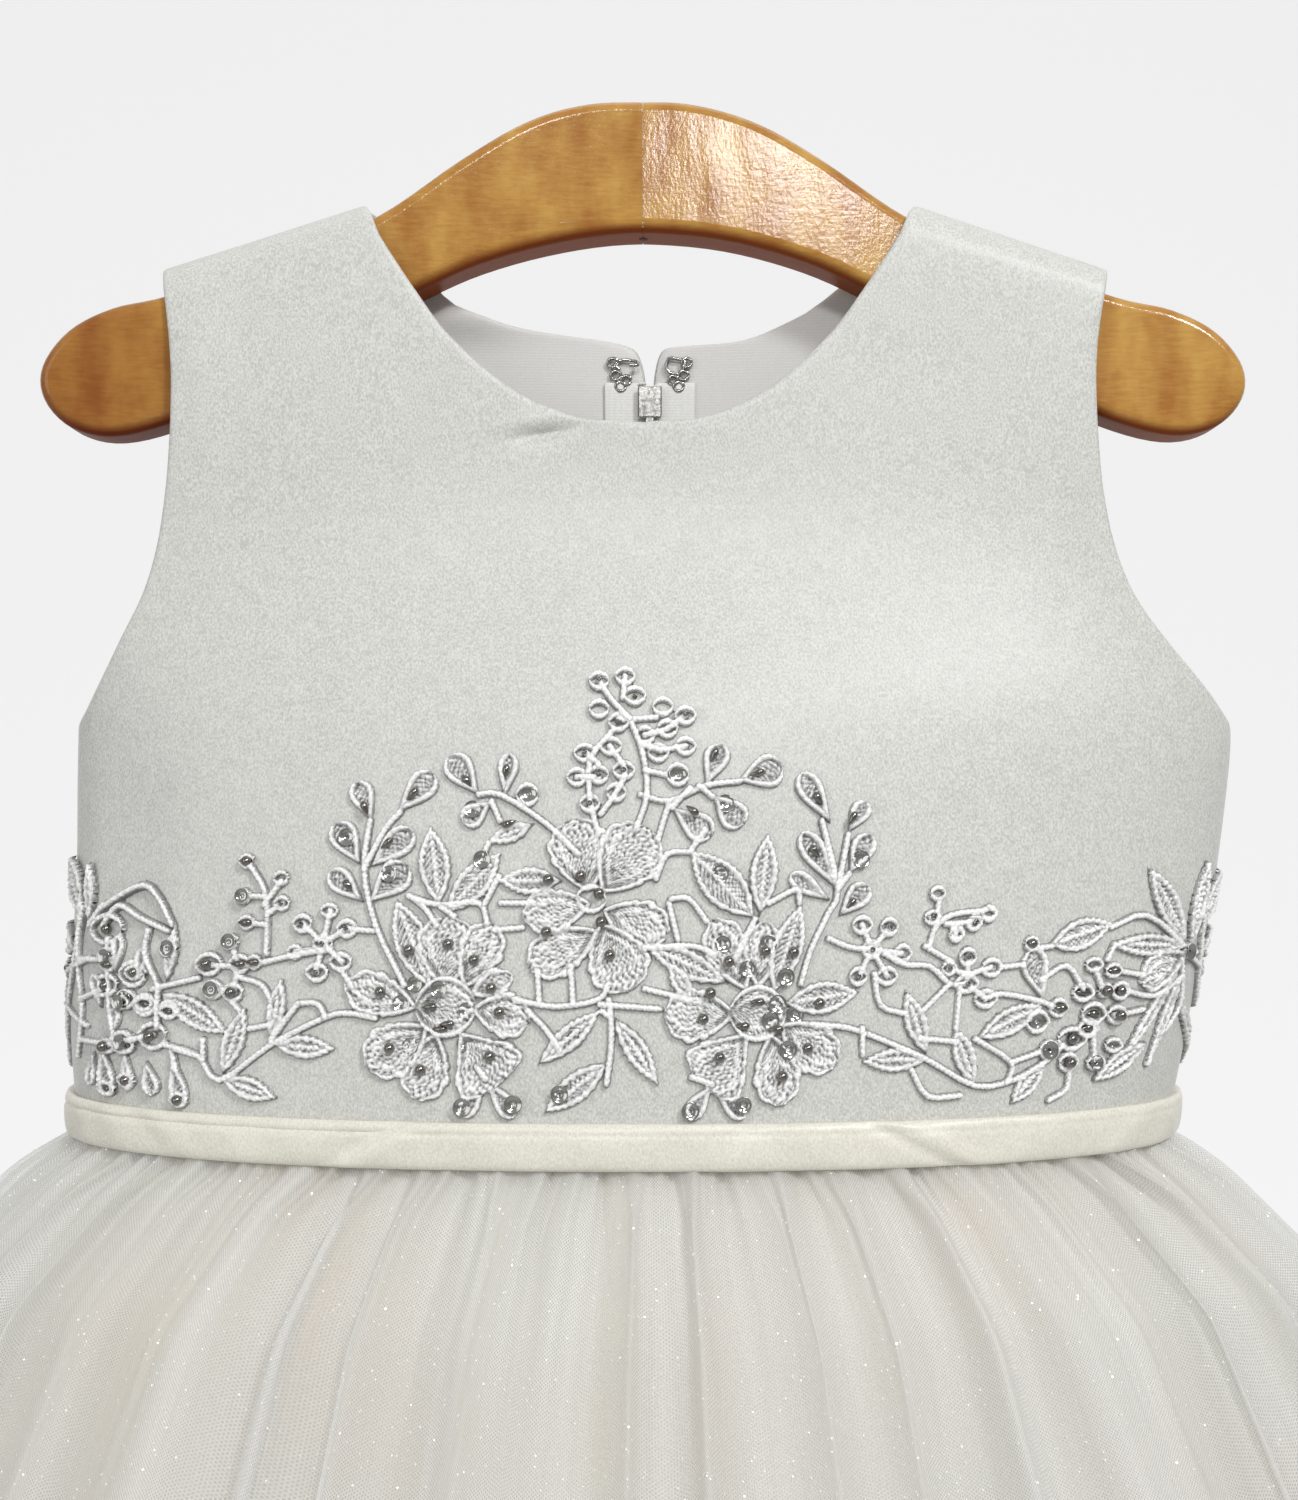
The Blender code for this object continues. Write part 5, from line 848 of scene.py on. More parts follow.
# %% Panel grids
def panel_half(cut, strap_inner, side, side_x, columns=30, steps=4):
    """One half of a panel as a grid of points from its inner edge outwards, and its UV in mm.

    Each row follows the body's section from the cut's inner edge to its outer one, then the strap's over the arm.
    """
    share = np.linspace(0.0, 1.0, columns + 1)
    rows = []
    for outer_x, outer_z, inner_x, inner_z in rows_between(cut, steps):
        flat_z = inner_z + (outer_z - inner_z) * share
        width = read(BODY, 1, flat_z)
        inner, outer = section_angle(width[0], inner_x), section_angle(width[-1], outer_x)
        rows.append((section_x(width, inner + (outer - inner) * share), flat_z))
    lower = len(rows)
    for step in np.linspace(0.0, 1.0, 9):
        x = (strap_inner[0] + (strap_inner[1] - strap_inner[0]) * step) * (1 - share) + (113.0 + 3.0 * step) * share
        rows.append((x, turn_start(x, side) + (turn_radius(x, side) * math.pi / 2 - 0.12) * step))
    x, flat_z = np.stack([row[0] for row in rows]), np.stack([row[1] for row in rows])
    grid = cloth_point(side_x * x, flat_z, side)
    grid[:lower, :, 1] = side * np.maximum(side * grid[:lower, :, 1], 0.12) - side * 0.4 * smoothstep(0.94, 1.0, share)
    normal = np.cross(np.gradient(grid, axis=1), np.gradient(grid, axis=0))
    normal /= np.maximum(np.linalg.norm(normal, axis=-1, keepdims=True), 1e-9)
    normal *= np.sign(normal[..., 1:2] * side)
    calm = smoothstep(0.0, 0.12, 1.0 - share)[None] * smoothstep(-40.0, -70.0, flat_z)
    grid += normal * (satin_swell(side_x * x, flat_z, side) * calm)[..., None]
    return grid, np.stack([side_x * x, flat_z], axis=-1)


half_front = panel_half(FRONT_CUT, (62.5, 68.5), -1, 1)[0]
print("half of the front is a grid of", half_front.shape[:2], "points")


# %% Panel meshes
def panel_mesh(name, halves):
    """A panel from its halves, whose shared middle points become one."""
    points = np.concatenate([grid.reshape(-1, 3) for grid, _ in halves])
    uv = np.concatenate([flat.reshape(-1, 2) for _, flat in halves])
    faces, first = [], 0
    for grid, _ in halves:
        rows, columns = grid.shape[:2]
        faces.append(grid_quads(rows, columns) + first)
        first += rows * columns
    mesh = mesh_from(name, points, np.concatenate(faces), uv)
    shaped = bmesh.new()
    shaped.from_mesh(mesh)
    bmesh.ops.remove_doubles(shaped, verts=shaped.verts, dist=1e-5)
    bmesh.ops.recalc_face_normals(shaped, faces=shaped.faces)
    shaped.to_mesh(mesh)
    if (numbers(mesh.polygons, "normal", 3) * numbers(mesh.polygons, "center", 3)).sum() < 0:
        bmesh.ops.reverse_faces(shaped, faces=shaped.faces)
        shaped.to_mesh(mesh)
    shaped.free()
    return mesh


def make_panel(name, halves, node):
    """A panel as a piece: satin outside, lining inside, 1.6 mm thick, and its flat size in metres."""
    panel = show(name, panel_mesh(name, halves), [SATIN, BODICE_LINING], smooth_to=0, replaces=[node])
    area = numbers(panel.data.polygons, "area").sum(dtype=float)
    walled(panel, 1.6)
    print(f"{name}: {area:.4f} square metres of cloth")


# %% Front and back panels
front_halves = [panel_half(FRONT_CUT, (62.5, 68.5), -1, side_x) for side_x in (1, -1)]
make_panel("satin_front", front_halves, "bodice_front")
LEFT_CUT = BACK_CUT[:-2] + ((111.6, -71.0, 33.0, -52.6), (112.0, -61.0, 49.5, -47.0))
for name, side_x, cut in (("right", 1, BACK_CUT), ("left", -1, LEFT_CUT)):
    grid, flat = panel_half(cut, (60.5, 68.5), 1, side_x)
    if side_x < 0:
        grid[..., 1] -= 2.6 * hump(grid[..., 0], -45.0, 12.0) * hump(grid[..., 2], -50.0, 5.0)
    make_panel("satin_back_" + name, [(grid, flat)], "bodice_back_" + name)

# %% [markdown]
# ## Waistband
#
# A narrow strip of satin, turned in at both edges and sewn over the waist seam, where it twists a little in five
# places. A cloth modifier would flatten the twists, so the band is its small cross-section carried round the waist,
# with each twist a ridge and a hollow side by side that lean across it.

# %% Waistband
TWISTS = ((-64.0, 1.9), (61.0, -2.1), (-112.0, -1.2), (18.0, 1.0), (108.0, 1.3))
BAND_PROFILE = ((0.9, -244.3), (2.2, -243.9), (2.9, -245.4), (3.1, -248.8), (2.9, -252.2), (2.1, -253.6), (0.9, -253.2))
angle = np.linspace(-math.pi + 0.006, math.pi - 0.006, 421)
band = []
for out, z in through(BAND_PROFILE, 6):
    ring = ring_point(BODY, angle, np.full_like(angle, z))
    x = ring[:, 0]
    puff = np.zeros_like(x)
    for twist_x, tilt in TWISTS:
        deep = 1.0 if abs(tilt) > 1.5 else 0.35
        line = (x - twist_x) - tilt * (z + 249.0) * 0.9
        puff += np.where(angle**2 < 2.4, deep * (0.7 * hump(line, 6.0, 5.5) - 0.8 * hump(line, 0.0, 3.2)), 0.0)
    puff -= 0.45 * hump(z, -245.9, 0.5) * (0.35 + 0.65 * smoothstep(-20.0, -70.0, x))
    puff += 0.25 * np.sin(angle * 31.0) * np.sin(angle * 7.0 + z / 3.0)
    face = smoothstep(1.2, 2.8, np.array(out))
    band.append(ring_point(BODY, angle, np.full_like(angle, z), out + face * puff))
band = np.stack(band, axis=1)
band_uv = np.stack(np.broadcast_arrays(along(band, 0), along(band, 1)), axis=-1)
band_mesh = mesh_from("waistband", band, grid_quads(*band.shape[:2]), band_uv)
band_piece = show("satin_waistband", band_mesh, [BAND_SATIN, BAND_SATIN], replaces=["waistband"])
walled(band_piece, 0.7, 0)
print(f"waistband: {len(band_piece.data.polygons)} faces with its thickness")

# %% [markdown]
# ## Skirts
#
# Two layers of tulle over a satin lining, each a straight length gathered to the waist. A simulated skirt would
# fall in folds of its own. Here the gathers are the part's, with finer ones between them that die out down the
# skirt, and long folds that grow towards the hem.


# %% Gathers
GATHERS = 34


def gather_turn(share):
    """How many of the gathers lie up to a share of the way round. They crowd and spread as they go."""
    crowding = 0.0060 * np.sin(TURN * 5 * share + 1.0) + 0.0035 * np.sin(TURN * 9 * share)
    uneven = 0.20 * np.sin(TURN * 11 * share + 2.0) + 0.11 * np.sin(TURN * 19 * share + 0.5)
    return GATHERS * (share + crowding - 0.0060 * math.sin(1.0)) + uneven


def gather_wave(share):
    """The part's gathers as a wave: cos(turn) times a height that changes from one to the next."""
    own_height = 0.70 + 0.25 * np.sin(TURN * 7 * share + 0.6) * np.cos(TURN * 3 * share)
    own_height = own_height + 0.22 * np.sin(TURN * 13 * share)
    return own_height * np.cos(TURN * gather_turn(share))


def fine_gathers(share, z, seed):
    """Uneven small gathers: waves of 41 to 163 to the round, which lean, and fade on their way down."""
    pick = np.random.default_rng(seed)
    total = np.zeros(np.broadcast(share, z).shape)
    down = -249.0 - z
    for count in (41, 53, 67, 89, 113, 139, 163):
        phase, lean, reach = pick.uniform(0, TURN), pick.uniform(-1.2, 1.2), 1900.0 / count
        size = 1.0 * np.exp(-down / reach) + 0.13 * (60.0 / count)
        total += size * np.sin(TURN * count * share + phase + lean * np.sqrt(np.maximum(down, 0.0)) / 9.0)
    return total * smoothstep(2.0, 9.0, down)


def gather_fold(share, z):
    """How far round the cloth shifts in each gather, as a share: -k sin(phase) / phase speed folds over where k > 1."""
    strength = 0.95 + 0.75 * np.sin(TURN * 5 * share + 0.7) * np.cos(TURN * 2 * share + 1.1)
    strength = strength * smoothstep(-253.0, -266.0, z) * (0.75 + 0.25 * np.cos((z + 300.0) / 70.0 + TURN * 3 * share))
    return -strength * np.sin(TURN * gather_turn(share)) / (TURN * GATHERS)


turns_at = gather_turn(np.linspace(0.0, 1.0, 9))
print("gathers in each eighth of the round:", np.round(np.diff(turns_at), 1))

# %% [markdown]
# ### A layer of cloth
#
# Each layer is a grid, with more rows near the waist. Its points also slide round the section in each gather, so
# that the deep ones fold over like real tulle. The slit for the zip opens only near the top.


# %% Skirt layers
SLIT = 2.2


def make_layer(name, table, columns, heights, out, material, replaces):
    """A skirt joined at the middle back and slit there below the waist, as one sheet with its UV in mm."""
    fine = np.linspace(-math.pi, math.pi, 2881)
    top = ring_point(table, fine, table[-1, 0] - 30.0)
    run = along(top, 0)
    share = np.linspace(0.0, 1.0, columns + 1)
    z, around = np.meshgrid(heights, share, indexing="ij")
    bent = around + 0.0022 * np.sin(TURN * 3 * around + 1.7) * smoothstep(-254.0, -420.0, z)
    bent += 0.0012 * np.sin(TURN * 8 * around - z / 60.0) * smoothstep(-254.0, -330.0, z)
    folded = gather_fold(around, z) if table is SKIRT else 0.0
    bent = around + (bent - around + folded) * np.sin(math.pi * around) ** 0.5
    angles = np.interp(bent * run[-1], run, fine)
    grid = ring_point(table, angles, z, out(around, z))
    part = SLIT * (1.0 - smoothstep(-270.0, -312.0, heights))
    grid[:, 0, 0] -= part
    grid[:, -1, 0] += part
    uv = np.stack([around * 1500.0, along(grid, 0)], axis=-1)
    mesh = mesh_from(name, grid, grid_quads(*grid.shape[:2]), uv)
    piece = show(name, mesh, material, smooth_to=0, replaces=replaces)
    area = float(numbers(mesh.polygons, "area").sum(dtype=float))
    return grid


# %% Folds of each layer
def outer_out(share, z):
    """Gathers of the part plus the fine ones, over the long folds."""
    gather = read(SKIRT, 4, z) * gather_wave(share)
    lobe = read(SKIRT, 5, z) * np.sin(TURN * 11 * share + 0.9 * np.sin(TURN * 2 * share))
    return 0.9 * gather + lobe + fine_gathers(share, z, 3)


def inner_out(share, z):
    """The same long folds, with gathers of their own, some way inside the outer layer."""
    lobe = read(SKIRT, 5, z) * np.sin(TURN * 11 * share + 0.9 * np.sin(TURN * 2 * share))
    own = read(SKIRT, 4, z) * 0.4 * np.cos(TURN * 29 * share + 2.0 * np.sin(TURN * 4 * share))
    return lobe + own - read(SKIRT, 4, z) * 1.2 - 1.0 + fine_gathers(share, z, 11)


def lining_out(share, z):
    """Nine long folds, and small gathers below the waist seam."""
    folds = read(LINING, 5, z) * np.sin(TURN * 9 * share + 0.9 * np.sin(TURN * 2 * share))
    return folds + 0.4 * np.sin(TURN * 40 * share) * smoothstep(-254.0, -275.0, z)


hem_out = outer_out(np.linspace(0.0, 1.0, 721), -690.0)
print(f"the outer folds swing over {np.ptp(hem_out):.0f} mm at the hem")

# %% The three layers
ROW_HEIGHTS = np.concatenate(
    [np.linspace(-249.2, -262.0, 12), np.linspace(-264.0, -330.0, 30), np.linspace(-337.0, -690.0, 44)]
)
outer_grid = make_layer(
    "glitter_tulle", SKIRT, 760, ROW_HEIGHTS, outer_out, OUTER_TULLE, ["skirt_tulle"]
)
make_layer("soft_tulle", SKIRT, 560, ROW_HEIGHTS, inner_out, INNER_TULLE, [])
lining_heights = ROW_HEIGHTS[ROW_HEIGHTS > -682.0]
make_layer("lining_skirt", LINING, 300, lining_heights, lining_out, SKIRT_LINING, ["underskirt"])

# %% [markdown]
# ### Glitter
#
# Flakes of polyester film are glued to the outer tulle. A sparkle painted by a noise would stay in place as the
# view turns, but a real flake flashes only at its own angle, so each is a small face with a tilt of its own.


# %% Glitter
def make_glitter(grid, count):
    """Small six-sided flakes stuck to the outer tulle, each at random in a quad and tilted a little its own way."""
    pick = np.random.default_rng(5)
    rows, columns = grid.shape[:2]
    depth = along(grid[:, columns // 2 : columns // 2 + 1], 0)[:, 0]
    row = np.interp(depth[-1] * pick.uniform(0.0, 1.0, count) ** 0.8, depth, np.arange(rows))
    column = pick.uniform(0, columns - 1.001, count)
    r, c = np.minimum(row.astype(int), rows - 2), column.astype(int)
    a, b = (row - r)[:, None], (column - c)[:, None]
    upper = grid[r, c] * (1 - b) + grid[r, c + 1] * b
    lower = grid[r + 1, c] * (1 - b) + grid[r + 1, c + 1] * b
    places = upper * (1 - a) + lower * a
    across = grid[r, c + 1] - grid[r, c]
    normal = np.cross(across, grid[r + 1, c] - grid[r, c])
    normal /= np.linalg.norm(normal, axis=1, keepdims=True)
    normal *= np.where((normal[:, :2] * places[:, :2]).sum(1, keepdims=True) < 0, -1.0, 1.0)
    normal += pick.normal(0.0, 0.28, normal.shape)
    normal /= np.linalg.norm(normal, axis=1, keepdims=True)
    side = np.cross(normal, (0.1, 0.2, 1.0))
    side /= np.linalg.norm(side, axis=1, keepdims=True)
    frames = np.stack([side, np.cross(normal, side), normal], axis=-1)
    turns = TURN * np.arange(6) / 6
    flake = np.stack([np.cos(turns), np.sin(turns), 0.0 * turns], axis=1)
    quads = np.array([[0, 1, 2, 3], [0, 3, 4, 5]])
    points, faces = many(flake, quads, places + normal * 0.25, frames, pick.uniform(0.12, 0.26, count))
    flakes = polished("glitter_flake", "FFFFFF", 0.30, 0.25)
    show("glitter_flakes", mesh_from("glitter_flakes", points, faces), flakes, smooth_to=0)


make_glitter(outer_grid, 46000)

# %% [markdown]
# ## Lace
#
# Corded lace is stitched by machine on a net that is then cut away, and a thicker cord is sewn round each petal and
# stem. Curves with a bevel would pass through one another where they meet, so the applique is one relief. It is
# laid out flat: u runs round the body from the middle front and z is height. Each motif below runs from its root to
# its tip, with a half width, and each cord through its points.

# %% Motifs and cords
MOTIFS = """
petal -12 -192.5 -16 -176 7.5, petal -9 -192.5 1.5 -178 8, petal -9 -196.5 6 -202 6,
petal -9.5 -199.5 -2.5 -214.5 7.5, petal -10 -201 -25.5 -209.5 6, petal -11.5 -195 -27 -198 5.5,
leaf -18 -190 -33 -190 3.5, eye -15 -193.5 -8 -194.5 3.5, eye -12.5 -144.5 -7.5 -144.5 2.5,
eye -6.5 -143.5 -1.5 -143.5 2.5, eye -4.5 -148 1 -148 2.5, eye -12.5 -151 -7.5 -151 2.5,
eye -8 -154 -3 -154 2.5, eye 2 -150.5 7 -150.5 2.5, eye 7 -152.5 12 -152.5 2.5,
eye -2 -157 3 -157 2.5, eye 1 -161 6 -161 2.5, eye 7 -159.5 12 -159.5 2.5,
eye -16 -161 -10.5 -161 2.5, eye -10 -159.5 -4.5 -159.5 2.5, eye -7 -165 -1.5 -165 2.5,
eye -17.5 -166.5 -12.5 -166.5 2.5, eye -12.5 -166 -7.5 -166 2.5, eye -8.5 -170 -3.5 -170 2.5,
eye -14.5 -172.5 -9.5 -172.5 2.5, eye 3 -155.5 8 -155.5 2.5, drop -37.5 -170.5 -44.5 -161.5 3.5,
drop -31.5 -171 -30.5 -161 2.5, eye -29 -170.5 -23.5 -170.5 3, drop -34.5 -172 -41 -177 3,
leaf -24.5 -177 -35.5 -181.5 2.5, drop 14 -168.5 17.5 -159 3, drop 21 -167.5 31 -164 4,
drop 15.5 -170.5 22.5 -177.5 3.5, drop 6.5 -173.5 15.5 -180 3.5, eye 5 -166 10.5 -166 3,
leaf -46 -196 -48.5 -177.5 4, leaf -44.5 -197.5 -32 -183.5 4, leaf 25.5 -198.5 10.5 -183 5,
leaf 26.5 -198 28 -179 3.5, leaf -23.5 -231 -9 -218.5 3, leaf -6.5 -220 4 -235.5 3,
leaf -7.5 -230 -22 -241.5 3.5, drop -35 -234 -40.5 -242.5 2.5, drop -35 -234 -28.5 -242.5 2.5,
drop 16.5 -235 11 -242.5 2.5, drop 16.5 -235 24.5 -242.5 2.5, leaf -47.5 -214.5 -56 -194 4.5,
petal -44.5 -214 -43.5 -198 7.5, petal -40 -214 -33.5 -199.5 5.5, petal -38.5 -215.5 -29 -211 3.5,
petal -38 -218.5 -25 -221 5.5, fan -41 -223.5 -32 -235.5 9, petal -46 -224 -50.5 -239 6,
petal -48 -222.5 -62 -232 6.5, petal -50.5 -218.5 -67 -213.5 5.5, eye -51 -218.5 -37 -218 7,
petal 24 -214.5 16 -198.5 5.5, petal 26.5 -214 28 -199 5, leaf 30 -215.5 36 -195 4,
leaf 32.5 -217.5 50.5 -215 4, petal 32 -222 46 -231 6, petal 30 -224 33 -240 6,
fan 25 -223.5 14.5 -235.5 8.5, petal 21.5 -219.5 5 -220 6.5, leaf 20 -213 0 -204 3.5,
leaf 11.5 -217 6 -208 2.5, eye 20 -219.5 33.5 -219.5 6.5, drop -62 -176.5 -66 -167.5 3,
drop -56 -174.5 -48 -165.5 3.5, drop -64.5 -186.5 -70.5 -177 3.5, drop -62 -187 -52.5 -178.5 3.5,
drop -63.5 -195 -71.5 -188 3, drop -62 -195 -53.5 -186.5 4, drop 42 -177 35 -165.5 3,
drop 46 -179 50 -172 2.5, drop 44 -192 35.5 -179 3, drop 46.5 -188.5 51 -179.5 3,
drop 42.5 -194.5 33 -188.5 2.5, drop 44.5 -198 51 -191 3,
eye -80 -200 -75 -200 2.5, eye -73.5 -197 -69 -197 2, eye -69.5 -201 -64.5 -201 2.5,
eye -81 -206.5 -77 -206.5 2, eye -76.5 -211 -71 -211 2.5, eye -71 -208.5 -65.5 -208.5 2.5,
eye -75 -204.5 -70 -204.5 2.5, eye -93.5 -186 -89.5 -186 2, eye -85 -190 -81 -189.5 2,
eye -94 -194 -90 -194 2, eye -84.5 -195.5 -80.5 -195.5 2, eye -93 -200 -89 -200 2,
eye -103.5 -210 -96.5 -209.5 3, eye -97 -204.5 -92.5 -204.5 2, eye -95 -209.5 -89.5 -209.5 2.5,
eye -96.5 -216 -91 -216 2.5, eye -101.5 -215.5 -96 -215.5 2.5, eye -90.5 -209 -87 -209 2,
leaf -112.5 -216.5 -94.5 -225.5 3.5, leaf -96.5 -235 -90.5 -219 3, leaf -84.5 -227 -82 -212 2.5,
leaf -84 -227.5 -69 -228 3, leaf -97 -235.5 -83 -239.5 3, drop -109 -231 -107 -242.5 2.5,
leaf -111 -215 -109 -200.5 2, eye -134.5 -203 -123.5 -202.5 4, eye -131.5 -209.5 -124.5 -209 2.5,
eye -124 -213 -116 -212.5 3.5, eye -132.5 -216.5 -124 -215.5 3, eye -125 -219 -118.5 -218.5 2.5,
eye -119.5 -220 -113 -219.5 3, eye -118 -227 -110 -226.5 3.5, eye -126.5 -229 -118.5 -228.5 3,
eye -112.5 -220.5 -107 -220.5 2.5, drop -129 -230 -128 -241.5 3, drop -122 -230.5 -121.5 -240 2,
leaf -135.5 -202 -137.5 -186.5 2, leaf -138.5 -200 -149 -186 4, leaf -141 -209 -157.5 -203.5 4,
eye -149 -214 -155 -214.5 3, leaf -145 -222 -162 -217.5 4, eye -160 -211 -166 -211 3,
drop -148 -228 -155 -238.5 3.5, leaf -163 -214 -177 -206 4, leaf -166 -217 -180 -228 4,
eye -176 -216 -182 -216 3,
eye 47.5 -200 52.5 -200 2.5, eye 54 -200.5 58.5 -200.5 2.5, eye 57.5 -206.5 62 -206.5 2.5,
eye 47.5 -211.5 52 -211.5 2.5, eye 54 -211.5 59 -211.5 2.5, eye 50 -205.5 55 -205.5 2.5,
eye 65.5 -193 69 -193 2, eye 65 -198 68 -198 1.5, eye 77.5 -197.5 81.5 -197.5 2,
eye 74.5 -199.5 78 -199.5 2, eye 70.5 -202 74 -202 2, eye 73 -207.5 77.5 -207.5 2.5,
eye 78.5 -210 84 -210 2.5, eye 69 -210 73 -210 2, eye 77.5 -217 83.5 -217 2.5,
eye 72.5 -213.5 78.5 -213.5 2.5, leaf 67.5 -229.5 61 -214.5 3, leaf 79 -226 95.5 -218.5 3.5,
leaf 80 -236.5 73.5 -223 3, leaf 68.5 -230 51.5 -230.5 3, leaf 97.5 -231.5 89.5 -241 3,
drop 95 -218 90.5 -206 3.5, eye 88.5 -204.5 92.5 -205 2, eye 91 -222.5 97 -222.5 3,
eye 96.5 -219.5 101.5 -219.5 2.5, eye 99.5 -226.5 107.5 -227 3, eye 95 -229 100.5 -229 2.5,
eye 104.5 -224.5 110.5 -224.5 2.5, eye 100.5 -232 106 -232 2.5, eye 108 -232.5 113.5 -232.5 2,
eye 105 -221 112 -221.5 3, eye 112 -221.5 118 -222 2.5, eye 112.5 -228.5 118 -229 2,
eye 102 -216 108 -216.5 2.5, eye 112.5 -216 118 -216.5 2.5, eye 104.5 -210 109.5 -210 2,
eye 110 -211.5 115 -211.5 2, eye 108.5 -216 113 -216 2, leaf 94.5 -205.5 111 -200.5 4,
leaf 134 -206.5 110 -205.5 3, eye 130.5 -207.5 139 -208.5 2, leaf 134 -206.5 119 -187.5 3.5,
leaf 135.5 -207.5 139 -186 3, petal 134.5 -208.5 120.5 -214.5 5, leaf 134 -210 117.5 -234 2,
leaf 135 -210.5 127 -234 2, leaf 132.5 -217.5 153.5 -237.5 2, leaf 126 -228.5 110.5 -237 3,
leaf 139 -202 150 -189 4, leaf 142 -209 158 -204.5 4, eye 150 -214 156 -214 3,
leaf 147 -221 163 -218 4, eye 161 -210.5 167 -211 3, leaf 164 -214 178 -207 4,
drop 166 -217 177 -227 4, eye 176 -216 182 -216 3,
eye -130.5 -211 -125 -211 2, eye -122.5 -212.5 -117 -212.5 2, eye -126 -219.5 -120.5 -219.5 2,
eye -119 -219.5 -114 -219.5 2, eye -130.5 -230 -124.5 -230 2, eye -124 -229.5 -119 -229.5 2,
eye -131.5 -240 -125 -240 2, eye -124.5 -237.5 -119 -237.5 2, eye -113 -206.5 -108 -206.5 2,
eye -112.5 -221 -107.5 -221 2, eye -110 -241 -105 -241 2, eye 65 -193 69 -193 2,
eye 64 -198.5 68.5 -198.5 2, eye 77.5 -198 81.5 -198 2, eye 74 -200 78 -200 2,
eye 70 -202.5 74 -202.5 2, drop -125.5 -213 -125 -204 2, drop -129.5 -221.5 -132.5 -213.5 2,
drop -119 -215 -117.5 -206.5 2, drop -125.5 -227.5 -125 -221 2, drop -116 -232.5 -114.5 -240.5 2.5,
drop -132 -231.5 -134.5 -240 2,
"""
